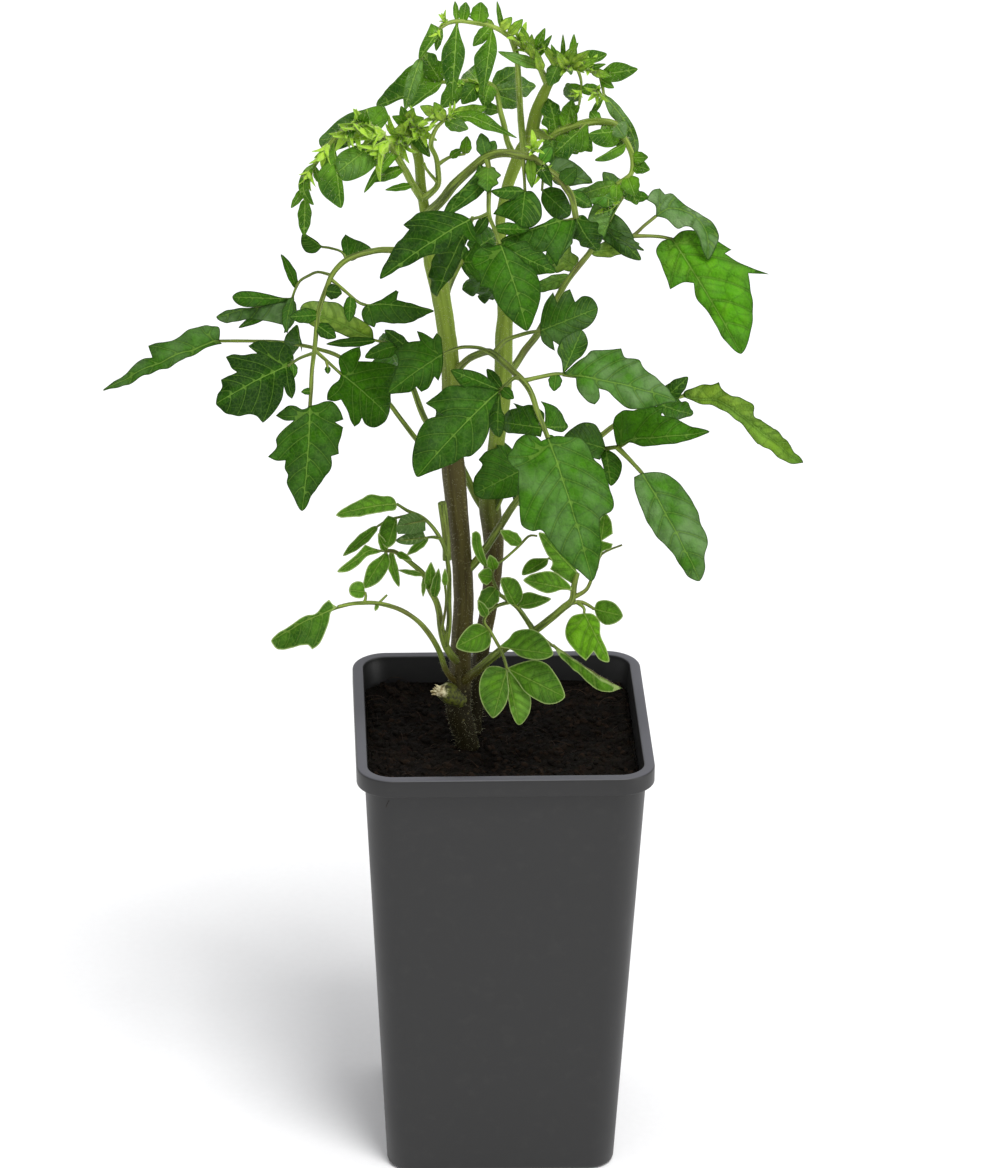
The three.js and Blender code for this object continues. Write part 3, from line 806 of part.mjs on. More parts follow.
// The tub's outline at a height, moved in from its outside by a distance.
function tubSection(z, inset) {
  const along = z / (POT_HEIGHT - RIM_DEPTH);
  const width = THREE.MathUtils.lerp(BASE_WIDTH, BODY_TOP, along) - 2 * inset;
  const corner = THREE.MathUtils.lerp(BASE_CORNER, BODY_CORNER, along) - inset;
  return roundedSquare(width, corner, z);
}

function pot() {
  const rimFoot = POT_HEIGHT - RIM_DEPTH;
  const underRim = POT_HEIGHT - RIM_PLATE;
  const tub = loft([tubSection(0, 0), tubSection(POT_HEIGHT - CUT_PAST, 0)]);
  const rim = upright(RIM_WIDTH, RIM_CORNER, rimFoot, POT_HEIGHT);
  const skirtInner = RIM_WIDTH - 2 * SKIRT_WALL;
  const groove = upright(skirtInner, RIM_CORNER - SKIRT_WALL, rimFoot - CUT_PAST, underRim);
  const inside = loft([tubSection(FLOOR, BODY_WALL), tubSection(underRim, BODY_WALL)]);
  const mouthWidth = RIM_WIDTH - 2 * RIM_TOP;
  const mouth = upright(mouthWidth, RIM_CORNER - RIM_TOP, underRim - CUT_PAST, POT_HEIGHT + CUT_PAST);
  let solid = rim.subtract(groove).add(tub).subtract(inside).subtract(mouth);
  for (let hole = 0; hole < DRAIN_HOLES; hole += 1) {
    const angle = ((hole + 0.5) * 2 * Math.PI) / DRAIN_HOLES;
    const drill = new THREE.CylinderGeometry(DRAIN_HOLE / 2, DRAIN_HOLE / 2, 4 * FLOOR, DRAIN_SIDES);
    drill.rotateX(Math.PI / 2);
    drill.translate(DRAIN_RING * Math.cos(angle), DRAIN_RING * Math.sin(angle), 0);
    solid = solid.subtract(solidOfGeometry(drill));
  }
  return solid;
}

// Two crossing waves, one long and one short, leave the soil a little uneven.
function soilHeight(x, y) {
  const long = Math.sin(x * 0.11 + 0.7) * Math.cos(y * 0.13 - 0.4);
  const short = Math.sin(x * 0.31 - y * 0.23);
  return SOIL_LEVEL + SOIL_BUMP * (0.7 * long + 0.3 * short);
}

function soil() {
  const rings = [tubSection(FLOOR + GAP, BODY_WALL + GAP)];
  const edge = tubSection(SOIL_LEVEL, BODY_WALL + GAP);
  for (const scale of SOIL_RINGS) {
    const ring = edge.map((point) => {
      const x = point.x * scale;
      const y = point.y * scale;
      return new THREE.Vector3(x, y, soilHeight(x, y));
    });
    rings.push(ring);
  }
  return loft(rings);
}

function solidOfGeometry(geometry) {
  const plain = geometry.clone();
  plain.deleteAttribute("normal");
  plain.deleteAttribute("uv");
  const merged = mergeVertices(plain, 1e-4);
  return solidOf(merged.attributes.position.array, merged.index.array);
}

// ---- stems, stalks and leaflets -----------------------------------------------------------------

function stemParts(stem) {
  const points = stem.path.map(([x, y, depth]) => seen(x, y, depth));
  const diameters = stem.path.map((point) => point[3]);
  return {picture: stem.path, points, diameters};
}

// The depth of a path where it passes nearest to a place in the picture.
function nearestOnPath(path, x, y) {
  let best = {distance: Infinity};
  for (let i = 0; i + 1 < path.length; i += 1) {
    const [x0, y0, d0] = path[i];
    const [x1, y1, d1] = path[i + 1];
    const length2 = (x1 - x0) ** 2 + (y1 - y0) ** 2;
    const t = THREE.MathUtils.clamp(((x - x0) * (x1 - x0) + (y - y0) * (y1 - y0)) / length2, 0, 1);
    const place = [x0 + t * (x1 - x0), y0 + t * (y1 - y0), d0 + t * (d1 - d0)];
    const distance = Math.hypot(place[0] - x, place[1] - y);
    if (distance < best.distance) {
      best = {distance, place};
    }
  }
  return best;
}

function nearestOnPaths(paths, x, y) {
  const found = paths.map((path) => nearestOnPath(path, x, y));
  found.sort((a, b) => a.distance - b.distance);
  return found[0].place;
}

function startOn(paths, path) {
  const [x, y] = path[0];
  return [nearestOnPaths(paths, x, y), ...path.slice(1)];
}

function stalkRod(path, thick) {
  const points = path.map(([x, y, depth]) => seen(x, y, depth));
  const last = points.length - 1;
  const onward = points[last].clone().sub(points[last - 1]).normalize();
  points[last].addScaledVector(onward, 1);
  const diameters = points.map((_, i) => THREE.MathUtils.lerp(thick[0], thick[1], i / last));
  const needed = neededPoints(points, STALK_STEP);
  return rod(needed.map((i) => points[i]), needed.map((i) => diameters[i]), STALK_SIDES);
}

// A leaflet's own plane: along its length, across it, and out of its face towards the picture.
function leafletPlane(base, tip, roll) {
  const along = tip.clone().sub(base);
  const length = along.length();
  along.normalize();
  const towards = base.clone().add(tip).multiplyScalar(0.5).sub(viewpoint).normalize();
  const flatAcross = new THREE.Vector3().crossVectors(along, towards).normalize();
  const flatOut = new THREE.Vector3().crossVectors(along, flatAcross);
  const turn = THREE.MathUtils.degToRad(roll);
  const across = flatAcross.clone().multiplyScalar(Math.cos(turn)).addScaledVector(flatOut, Math.sin(turn));
  const out = flatOut.clone().multiplyScalar(Math.cos(turn)).addScaledVector(flatAcross, -Math.sin(turn));
  return {base, along, across, out, length};
}

function onPlane(plane, [x, y]) {
  const ray = sightLine(x, y);
  const reach = plane.base.clone().sub(viewpoint).dot(plane.out) / ray.dot(plane.out);
  const offset = viewpoint.clone().addScaledVector(ray, reach).sub(plane.base);
  return new THREE.Vector2(offset.dot(plane.along), offset.dot(plane.across));
}

function ovalMargin(length, width, side) {
  const stations = width < SMALL_LEAFLET ? [0.3, 0.72] : [0.18, 0.45, 0.78];
  return stations.map((t) => {
    const half = (width / 2) * Math.sin(Math.PI * t ** 0.8);
    return new THREE.Vector2(t * length, side * half);
  });
}

function leafletPlate(leaflet, paths) {
  const basePlace = nearestOnPaths(paths, ...leaflet.base);
  const base = seen(...basePlace);
  const plane = leafletPlane(base, seen(...leaflet.tip), leaflet.roll);
  const start = new THREE.Vector2(0, 0);
  const end = new THREE.Vector2(plane.length, 0);
  const rib = leaflet.rib
    ? leaflet.rib.map((place) => onPlane(plane, place))
    : leaflet.wide < SMALL_LEAFLET
      ? []
      : [new THREE.Vector2(plane.length / 2, 0)];
  const sides = leaflet.wide
    ? [ovalMargin(plane.length, leaflet.wide, 1), ovalMargin(plane.length, leaflet.wide, -1)]
    : [leaflet.left, leaflet.right].map((margin) => {
        const points = [start, ...margin.map((place) => onPlane(plane, place)), end];
        return neededPoints(points, MARGIN_STEP).slice(1, -1).map((i) => points[i]);
      });
  const flat = [start, ...rib, end, ...sides[0], ...sides[1]];
  const ribCount = rib.length + 2;
  const faces = [];
  let first = ribCount;
  for (const side of sides) {
    const towards = RIB_NUDGE * Math.sign(side.reduce((sum, p) => sum + p.y, 0));
    const nudged = flat.map((p, i) => {
      const onRib = i > 0 && i < ribCount - 1;
      return onRib ? new THREE.Vector2(p.x, p.y + towards) : p;
    });
    const ring = [...Array(ribCount).keys(), ...side.map((_, i) => first + i).reverse()];
    for (const face of THREE.ShapeUtils.triangulateShape(ring.map((i) => nudged[i]), [])) {
      const [a, b, c] = face.map((i) => ring[i]);
      const area = nudged[b].clone().sub(nudged[a]).cross(nudged[c].clone().sub(nudged[a]));
      faces.push(area > 0 ? [a, b, c] : [a, c, b]);
    }
    first += side.length;
  }
  const vertices = [];
  for (const face of [1, -1]) {
    for (const p of flat) {
      const t = THREE.MathUtils.clamp(p.x / plane.length, 0, 1);
      const bow = leaflet.arch * 4 * t * (1 - t) + leaflet.fold * Math.abs(p.y);
      const place = plane.base
        .clone()
        .addScaledVector(plane.along, p.x)
        .addScaledVector(plane.across, p.y)
        .addScaledVector(plane.out, bow + (face * LEAF_THICKNESS) / 2);
      vertices.push(place.x, place.y, place.z);
    }
  }
  const triangles = [];
  const half = flat.length;
  for (const [a, b, c] of faces) {
    triangles.push(a, b, c, half + a, half + c, half + b);
  }
  for (const [a, b] of openEdges(faces)) {
    triangles.push(a, half + a, half + b, a, half + b, b);
  }
  return solidOf(vertices, triangles);
}

// The edges that only one face uses, in that face's direction.
function openEdges(faces) {
  const edges = new Map();
  for (const [a, b, c] of faces) {
    for (const [from, to] of [[a, b], [b, c], [c, a]]) {
      edges.set(`${from} ${to}`, [from, to]);
    }
  }
  return [...edges.values()].filter(([from, to]) => !edges.has(`${to} ${from}`));
}

// Every stalk and branch of a leaf as picture paths, each starting on what carries it.
function leafPaths(leaf, stems) {
  const main = leaf.carrier ? startOn([stems[leaf.carrier].picture], leaf.stalk) : leaf.stalk;
  const paths = [main];
  for (const branch of leaf.branches) {
    paths.push(startOn(paths, branch.path));
  }
  return paths;
}

function leafSolid(leaf, stems) {
  const paths = leafPaths(leaf, stems);
  const pieces = paths.map((path, i) => stalkRod(path, i === 0 ? leaf.thick : leaf.branches[i - 1].thick));
  for (const leaflet of leaf.leaflets) {
    pieces.push(leafletPlate(leaflet, paths));
  }
  return wasm.Manifold.union(pieces);
}

// ---- the whole object ---------------------------------------------------------------------------

const plant = new THREE.Group();

function addPiece(name, solid, colour, roughness) {
  const material = new THREE.MeshStandardMaterial({color: colour, roughness, metalness: 0});
  const mesh = new THREE.Mesh(geometryOf(solid), material);
  mesh.name = name;
  plant.add(mesh);
}

const stems = Object.fromEntries(STEMS.map((stem) => [stem.name, stemParts(stem)]));
const fattened = Object.values(stems).map((stem) => rod(stem.points, stem.diameters, STEM_SIDES, GAP));
const stemHollow = wasm.Manifold.union(fattened);

addPiece("pot", pot(), COLOURS.pot, 0.55);
addPiece("soil", soil().subtract(stemHollow), COLOURS.soil, 0.95);
for (const [name, stem] of Object.entries(stems)) {
  addPiece(name, rod(stem.points, stem.diameters, STEM_SIDES), COLOURS.stem, 0.7);
}
const stubPath = startOn([stems.stem_left.picture], PRUNED_STUB.path);
addPiece("pruned_stub", stalkRod(stubPath, PRUNED_STUB.thick).subtract(stemHollow), COLOURS.cut, 0.8);
for (const leaf of LEAVES) {
  const colour = leaf.name.startsWith("crown") ? COLOURS.young : COLOURS.leaf;
  addPiece(leaf.name, leafSolid(leaf, stems).subtract(stemHollow), colour, 0.6);
}

export default plant;
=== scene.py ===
import math
from functools import partial

import bpy
import numpy as np
from mathutils import Matrix, Vector, geometry, noise


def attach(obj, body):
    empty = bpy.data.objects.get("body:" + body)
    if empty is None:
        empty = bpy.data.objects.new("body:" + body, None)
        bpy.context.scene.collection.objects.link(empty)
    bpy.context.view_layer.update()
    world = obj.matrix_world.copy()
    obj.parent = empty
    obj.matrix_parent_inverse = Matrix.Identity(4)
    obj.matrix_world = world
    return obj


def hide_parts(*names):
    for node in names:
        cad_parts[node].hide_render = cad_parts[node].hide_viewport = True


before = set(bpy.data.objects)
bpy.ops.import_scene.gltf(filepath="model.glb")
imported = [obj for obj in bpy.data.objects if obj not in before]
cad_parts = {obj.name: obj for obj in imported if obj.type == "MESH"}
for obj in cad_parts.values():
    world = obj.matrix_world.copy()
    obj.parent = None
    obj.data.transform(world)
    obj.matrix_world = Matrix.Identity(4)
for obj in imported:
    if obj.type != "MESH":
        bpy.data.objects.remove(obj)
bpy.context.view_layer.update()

# ---- the view -----------------------------------------------------------------------------------
# A long lens looks down on the plant from 2.2 m away, a little to its left. The plant's points are given
# as [x, y, depth]: a place in this upright picture, 1000 wide and 1168 high, and how far it lies behind the
# middle of the pot. Lengths are in millimetres, and MM turns them into Blender's metres.

MM = 0.001
VIEW_TURN = math.radians(-2.68)
VIEW_RISE = math.radians(24.82)
VIEW_TILT = math.radians(0.63)
VIEW_DISTANCE = 2225.4
VIEW_FOCAL = 5500  # in picture points
PICTURE_WIDTH, PICTURE_HEIGHT = 1000, 1168
VIEW_TARGET = Vector((-1.04, 0, 247.1))
SENSOR = 36  # along the picture's longer side

backwards = Vector((
    math.sin(VIEW_TURN) * math.cos(VIEW_RISE),
    -math.cos(VIEW_TURN) * math.cos(VIEW_RISE),
    math.sin(VIEW_RISE),
))
viewpoint = VIEW_TARGET + backwards * VIEW_DISTANCE
level_right = (-backwards).cross(Vector((0, 0, 1))).normalized()
level_up = level_right.cross(-backwards)
tilt = Matrix.Rotation(VIEW_TILT, 3, backwards)
picture_right = tilt @ level_right
picture_up = tilt @ level_up


def sight_line(x, y):
    right = picture_right * ((x - PICTURE_WIDTH / 2) / VIEW_FOCAL)
    up = picture_up * ((PICTURE_HEIGHT / 2 - y) / VIEW_FOCAL)
    return right + up - backwards


def seen(x, y, depth):
    """The point that the picture shows at this place, at a depth behind the middle of the pot."""
    ray = sight_line(x, y)
    return viewpoint + ray * ((depth - viewpoint.y) / ray.y)


def placed(name, data):
    """A new object in the scene, of this mesh, light or camera."""
    made = bpy.data.objects.new(name, data)
    bpy.context.scene.collection.objects.link(made)
    return made


camera = placed("camera", bpy.data.cameras.new("camera"))
camera.data.sensor_width = SENSOR
camera.data.lens = VIEW_FOCAL * SENSOR / PICTURE_HEIGHT
camera.data.clip_end = 100
turned = Matrix((picture_right, picture_up, backwards)).transposed().to_4x4()
camera.matrix_world = Matrix.Translation(viewpoint * MM) @ turned
bpy.context.scene.camera = camera

# ---- the studio ---------------------------------------------------------------------------------
# Seamless white paper under an even pale sky of diffusers. One large soft light comes from high in front, a
# little to the right, so that leaves facing up are bright, and a weak one stands low on the right.

SKY = 0.72
KEY = {"from": (0.4, -0.85, 2.2), "strength": 1.9, "spread": 20}  # spread in degrees
FILL = {"place": (1.5, -0.9, 0.5), "size": 0.9, "power": 7}  # metres and watts
LIT_POINT = Vector((0, 0, 0.25))
FLOOR_REACH = 6


def colour(code):
    """The linear colour of an sRGB hex code."""
    channels = [int(code[i:i + 2], 16) / 255 for i in (1, 3, 5)]
    return (*[c / 12.92 if c <= 0.04045 else ((c + 0.055) / 1.055) ** 2.4 for c in channels], 1.0)


def add_node(tree, kind, inputs=None, **settings):
    """Adds a node with its settings. An input is given a value, or is linked to a socket or to the first
    output of a node."""
    made = tree.nodes.new(kind)
    for name, value in settings.items():
        setattr(made, name, value)
    for key, value in (inputs or {}).items():
        if isinstance(value, bpy.types.Node):
            value = next(socket for socket in value.outputs if socket.enabled)
        if isinstance(value, bpy.types.NodeSocket):
            tree.links.new(value, made.inputs[key])
        else:
            made.inputs[key].default_value = value
    return made


def new_material(name):
    """A material with no nodes yet, and the function that adds one to it."""
    material = bpy.data.materials.new(name)
    material.use_nodes = True
    material.node_tree.nodes.clear()
    return material, partial(add_node, material.node_tree)


def layered(add, base, *layers):
    """A colour under others. Each layer goes by a value: what that is where the layer starts and where it is
    full, its share there, and its colour."""
    for value, start, end, most, code in layers:
        share = add("ShaderNodeMapRange", {"Value": value, 1: start, 2: end, 3: 0.0, 4: most})
        base = add("ShaderNodeMix", {0: share, 6: base, 7: colour(code)}, data_type="RGBA")
    return base


world = bpy.data.worlds.new("sky")
world.use_nodes = True
background = world.node_tree.nodes["Background"]
background.inputs["Color"].default_value = colour("#fdfdff")
background.inputs["Strength"].default_value = SKY
bpy.context.scene.world = world
bpy.context.scene.view_settings.view_transform = "Standard"

key = bpy.data.lights.new("key", "SUN")
key.energy = KEY["strength"]
key.angle = math.radians(KEY["spread"])
fill = bpy.data.lights.new("fill", "AREA")
fill.size = FILL["size"]
fill.energy = FILL["power"]
for lamp, place in ((key, Vector(KEY["from"])), (fill, Vector(FILL["place"]))):
    stand = placed(lamp.name, lamp)
    stand.location = place
    stand.rotation_euler = (LIT_POINT - place).to_track_quat("-Z", "Y").to_euler()

# White paper: dull, with a faint tooth of 3 mm.
paper, add = new_material("seamless_paper")
place = add("ShaderNodeTexCoord").outputs["Object"]
tooth = add("ShaderNodeTexNoise", {"Vector": place, "Scale": 1 / (3 * MM)})
white = layered(add, colour("#f4f4f4"), (tooth, 0.0, 1.0, 1.0, "#f8f8f8"))
surface = add("ShaderNodeBsdfPrincipled", {
    "Base Color": white, "Roughness": 0.95, "Specular IOR Level": 0.1,
})
add("ShaderNodeOutputMaterial", {"Surface": surface})
sheet = bpy.data.meshes.new("floor")
corners = [(x * FLOOR_REACH, y * FLOOR_REACH, 0) for x, y in ((-1, -1), (1, -1), (1, 1), (-1, 1))]
sheet.from_pydata(corners, [], [(0, 1, 2, 3)])
sheet.materials.append(paper)
placed("floor", sheet)

# ---- the pot ------------------------------------------------------------------------------------
# A tall square nursery pot, injection moulded in one piece of polypropylene: a tapered tub with a thin wall
# and a turned-down rim with a flat upper face. The mould rounds its edges, and pins in it leave the ring of
# drain holes in the floor.

POT_HEIGHT = 188.4
RIM_WIDTH = 120
RIM_DEPTH = 7.4
RIM_TOP = 4.5  # width of the rim's flat upper face
RIM_PLATE = 2  # and its thickness
RIM_CORNER = 14.5
SKIRT_WALL = 1.5
BODY_TOP = 113.4  # outside of the tub at the foot of the rim
BODY_CORNER = 12.5
BASE_WIDTH = 94.2
BASE_CORNER = 11
BODY_WALL = 1.7
FLOOR = 2.4
DRAIN_HOLES = 8
DRAIN_HOLE = 7
DRAIN_RING = 30
CORNER_STEPS = 12
ROUND_STEPS = 4  # steps round a moulded edge
FOOT_ROUND = 2.2
RIM_ROUND = 0.9
MOUTH_ROUND = 0.7
SKIRT_ROUND = 0.4
SHARP_EDGE = 35  # degrees


def give(mesh, name, values):
    """A number or a vector for each vertex, by name."""
    values = np.array(values)
    kind, field = ("FLOAT_VECTOR", "vector") if values.ndim == 2 else ("FLOAT", "value")
    mesh.attributes.new(name, kind, "POINT").data.foreach_set(field, values.ravel())


def joined(name, parts, materials):
    """A mesh object of parts, each with vertices in millimetres and faces. A part may also have the number
    of each face's material, and values for each vertex by name."""
    mesh = bpy.data.meshes.new(name)
    faces = []
    slots = []
    first = 0
    for part in parts:
        faces += [[first + i for i in face] for face in part["faces"]]
        slots += part.get("slots", [0] * len(part["faces"]))
        first += len(part["vertices"])
    mesh.from_pydata((np.vstack([part["vertices"] for part in parts]) * MM).tolist(), [], faces)
    for value_name in parts[0].get("values", {}):
        give(mesh, value_name, np.concatenate([part["values"][value_name] for part in parts]))
    for material in materials:
        mesh.materials.append(material)
    mesh.polygons.foreach_set("material_index", slots)
    mesh.polygons.foreach_set("use_smooth", [True] * len(faces))
    mesh.update()
    return placed(name, mesh)


def lofted(rings):
    """A closed shell: rings of points joined in turn, with a flat face over the first and the last."""
    count = len(rings[0])
    faces = [tuple(reversed(range(count)))]
    for low in range(0, count * (len(rings) - 1), count):
        for i in range(count):
            j = (i + 1) % count
            faces.append((low + i, low + j, low + count + j, low + count + i))
    faces.append(tuple(range(count * (len(rings) - 1), count * len(rings))))
    return {"vertices": np.vstack(rings), "faces": faces}


def rounded_square(half, corner, z):
    """Points round a square with round corners, half its width from the middle."""
    points = []
    for quarter in range(4):
        middle = math.pi / 4 + quarter * math.pi / 2
        centre_x = math.copysign(half - corner, math.cos(middle))
        centre_y = math.copysign(half - corner, math.sin(middle))
        for step in range(CORNER_STEPS + 1):
            angle = (quarter + step / CORNER_STEPS) * math.pi / 2
            points.append((centre_x + corner * math.cos(angle), centre_y + corner * math.sin(angle), z))
    return points


def tub_half(z):
    return (BASE_WIDTH + (BODY_TOP - BASE_WIDTH) * z / (POT_HEIGHT - RIM_DEPTH)) / 2


def tub_ring(z, inset):
    """The tub's outline at a height, moved in from its outside by a distance."""
    corner = BASE_CORNER + (BODY_CORNER - BASE_CORNER) * z / (POT_HEIGHT - RIM_DEPTH)
    return rounded_square(tub_half(z) - inset, corner - inset, z)


def rim_ring(z, inset):
    return rounded_square(RIM_WIDTH / 2 - inset, RIM_CORNER - inset, z)


def quarter_round(inset, z, radius, start, ring):
    """Rings round a moulded edge with its centre at this inset and height, from a start angle in degrees."""
    rings = []
    for step in range(ROUND_STEPS + 1):
        angle = math.radians(start + 90 * step / ROUND_STEPS)
        rings.append(ring(z + radius * math.sin(angle), inset - radius * math.cos(angle)))
    return rings


rim_foot = POT_HEIGHT - RIM_DEPTH
under_rim = POT_HEIGHT - RIM_PLATE
pot_rings = [tub_ring(0, FOOT_ROUND + 2)]
pot_rings += quarter_round(FOOT_ROUND, FOOT_ROUND, FOOT_ROUND, -90, tub_ring)
pot_rings += [tub_ring(z, 0) for z in (20, 60, 100, 140, 170, under_rim - 0.8)]
pot_rings += [tub_ring(under_rim, -0.8), rim_ring(under_rim, SKIRT_WALL)]
pot_rings += quarter_round(SKIRT_WALL - SKIRT_ROUND, rim_foot + SKIRT_ROUND, SKIRT_ROUND, 180, rim_ring)
pot_rings += quarter_round(SKIRT_ROUND, rim_foot + SKIRT_ROUND, SKIRT_ROUND, -90, rim_ring)
pot_rings += quarter_round(RIM_ROUND, POT_HEIGHT - RIM_ROUND, RIM_ROUND, 0, rim_ring)
pot_rings += quarter_round(RIM_TOP - MOUTH_ROUND, POT_HEIGHT - MOUTH_ROUND, MOUTH_ROUND, 90, rim_ring)
pot_rings += [rim_ring(under_rim, RIM_TOP)]
pot_rings += [tub_ring(z, BODY_WALL) for z in (under_rim - 1.2, 170, 140, 100, 60, 20, FLOOR)]

# Anthracite pigment through the plastic gives a satin skin. The mould's spark-eroded grain, about 0.4 mm, is
# drawn at 0.8 mm. Handling leaves faint dull clouds and a little pale dust. The rim's upward flat face gets
# a painted highlight of the light from above.
plastic, add = new_material("moulded_polypropylene")
place = add("ShaderNodeTexCoord").outputs["Object"]
grain = add("ShaderNodeTexNoise", {"Vector": place, "Scale": 1 / (0.8 * MM), "Detail": 2})
cloud = add("ShaderNodeTexNoise", {"Vector": place, "Scale": 1 / (40 * MM), "Detail": 4})
dust = add("ShaderNodeTexNoise", {"Vector": place, "Scale": 1 / (6 * MM), "Detail": 6})
facing = add("ShaderNodeSeparateXYZ", {"Vector": add("ShaderNodeNewGeometry").outputs["Normal"]})
height = add("ShaderNodeSeparateXYZ", {"Vector": place}).outputs["Z"]
# Painted highlight: the rim's flat face is lighter where it faces up to the light.
on_rim = add("ShaderNodeMath", {0: height, 1: (POT_HEIGHT - 0.6) * MM}, operation="GREATER_THAN")
painted_rim_highlight = add("ShaderNodeMath", {0: on_rim, 1: facing.outputs["Z"]}, operation="MULTIPLY")
tone = layered(
    add, colour("#171717"), (cloud, 0.0, 1.0, 1.0, "#1d1d1d"), (dust, 0.55, 0.8, 0.35, "#2b2a28"),
    (painted_rim_highlight, 0.6, 0.95, 1.0, "#525258"),
)
satin = add("ShaderNodeMapRange", {"Value": cloud, 1: 0.3, 2: 0.7, 3: 0.40, 4: 0.5})
skin = add("ShaderNodeBump", {"Height": grain, "Distance": 0.05 * MM, "Strength": 0.6})
surface = add("ShaderNodeBsdfPrincipled", {
    "Base Color": tone, "Roughness": satin, "Normal": skin, "IOR": 1.49,
})
add("ShaderNodeOutputMaterial", {"Surface": surface})


def new_geometry(name, inputs):
    """A Geometry Nodes tree with named inputs, the function that adds a node to it, and the sockets that
    give the inputs inside it."""
    tree = bpy.data.node_groups.new(name, "GeometryNodeTree")
    tree.interface.new_socket("Geometry", in_out="OUTPUT", socket_type="NodeSocketGeometry")
    for input_name, kind in {"Geometry": "Geometry", **inputs, "Material": "Material"}.items():
        tree.interface.new_socket(input_name, in_out="INPUT", socket_type="NodeSocket" + kind)
    add = partial(add_node, tree)
    return tree, add, add("NodeGroupInput").outputs


def end_tree(add, given, shape):
    """Real geometry of the given material comes out of the tree."""
    shape = add("GeometryNodeRealizeInstances", {"Geometry": shape})
    shape = add("GeometryNodeSetMaterial", {"Geometry": shape, "Material": given["Material"]})
    add("NodeGroupOutput", {"Geometry": shape})


def grown(name, source, tree, values, keep=False):
    """A plain mesh object of what a tree makes from the source object, with the tree's inputs set."""
    modifier = source.modifiers.new(tree.name, "NODES")
    modifier.node_group = tree
    for item in tree.interface.items_tree:
        if item.in_out == "INPUT" and item.name in values:
            modifier[item.identifier] = values[item.name]
    graph = bpy.context.evaluated_depsgraph_get()
    mesh = bpy.data.meshes.new_from_object(source.evaluated_get(graph))
    mesh.name = name
    source.modifiers.remove(modifier)
    if not keep:
        bpy.data.objects.remove(source)
    return placed(name, mesh)


def finish_piece(piece, node, sharp=None):
    if sharp:
        piece.data.set_sharp_from_angle(angle=math.radians(sharp))
    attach(piece, "root")
    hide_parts(node)


# The drain holes: a ring of round pins, cut from the tub.
drains, add, given = new_geometry("drain_holes", {
    "Holes": "Int", "Ring radius": "Float", "Hole radius": "Float", "Pin length": "Float",
})
ring = add("GeometryNodeMeshCircle", {"Vertices": given["Holes"], "Radius": given["Ring radius"]})
pin = add("GeometryNodeMeshCylinder", {
    "Vertices": 28, "Radius": given["Hole radius"], "Depth": given["Pin length"],
})
pins = add("GeometryNodeInstanceOnPoints", {"Points": ring, "Instance": pin})
half_step = add("ShaderNodeMath", {0: math.pi, 1: given["Holes"]}, operation="DIVIDE")
turn = add("ShaderNodeCombineXYZ", {"Z": half_step})
pins = add("GeometryNodeTransform", {"Geometry": pins, "Rotation": turn})
pins = add("GeometryNodeRealizeInstances", {"Geometry": pins})
cut = add("GeometryNodeMeshBoolean", {"Mesh 1": given["Geometry"], "Mesh 2": pins})
end_tree(add, given, cut)

tub = joined("tub", [lofted(pot_rings)], [plastic])
pot = grown("nursery_pot", tub, drains, {
    "Holes": DRAIN_HOLES, "Ring radius": DRAIN_RING * MM, "Hole radius": DRAIN_HOLE / 2 * MM,
    "Pin length": 4 * FLOOR * MM, "Material": plastic,
})
finish_piece(pot, "pot", SHARP_EDGE)

# ---- the soil -----------------------------------------------------------------------------------
# Moist dark potting mix, filled to 12 mm under the rim: fine peat that has settled into a lumpy surface,
# with loose crumbs and shreds of bark lying on it, and brown peat fibres.

SOIL_LEVEL = POT_HEIGHT - 12
SOIL_BUMP = 1.1
SOFT_EDGE = 60  # degrees; soil, stems and blades keep sharp only the corners that turn more
GAP = 0.3  # between the soil and the pot's wall
SOIL_STEP = 1.3
LUMPS = [(9, 1.3), (4, 1.0), (2, 0.45)]  # width and height in mm of the surface's lumps
LOOSE_PIECES = [  # name, how many on a square metre, sizes and raggedness in mm, facets and seed
    ("soil_coarse_crumbs", 85000, (0.9, 2.1), 1.3, 2, 5),
    ("soil_fine_crumbs", 420000, (0.25, 0.8), 0.4, 1, 8),
]
FIBRES, FIBRE_LENGTH, FIBRE_THICK = 14000, (3, 11), 0.22  # how many on a square metre, and sizes in mm
FIBRE_SEED = 11


def inside(points, outline):
    """Which points lie inside a closed outline."""
    x, y = points[:, 0], points[:, 1]
    within = np.zeros(len(points), bool)
    for (x0, y0), (x1, y1) in zip(outline, np.roll(outline, -1, axis=0)):
        crosses = (y0 > y) != (y1 > y)
        within ^= crosses & (x < (x1 - x0) * (y - y0) / (y1 - y0 if y1 != y0 else 1) + x0)
    return within


def distances(points, starts, ends):
    """How far each point lies from each straight line."""
    lines = ends - starts
    lengths = np.maximum((lines ** 2).sum(axis=1), 1e-9)
    from_start = points[:, None, :] - starts[None, :, :]
    share = np.clip((from_start * lines[None]).sum(axis=2) / lengths, 0, 1)
    return np.linalg.norm(from_start - share[..., None] * lines[None], axis=2)


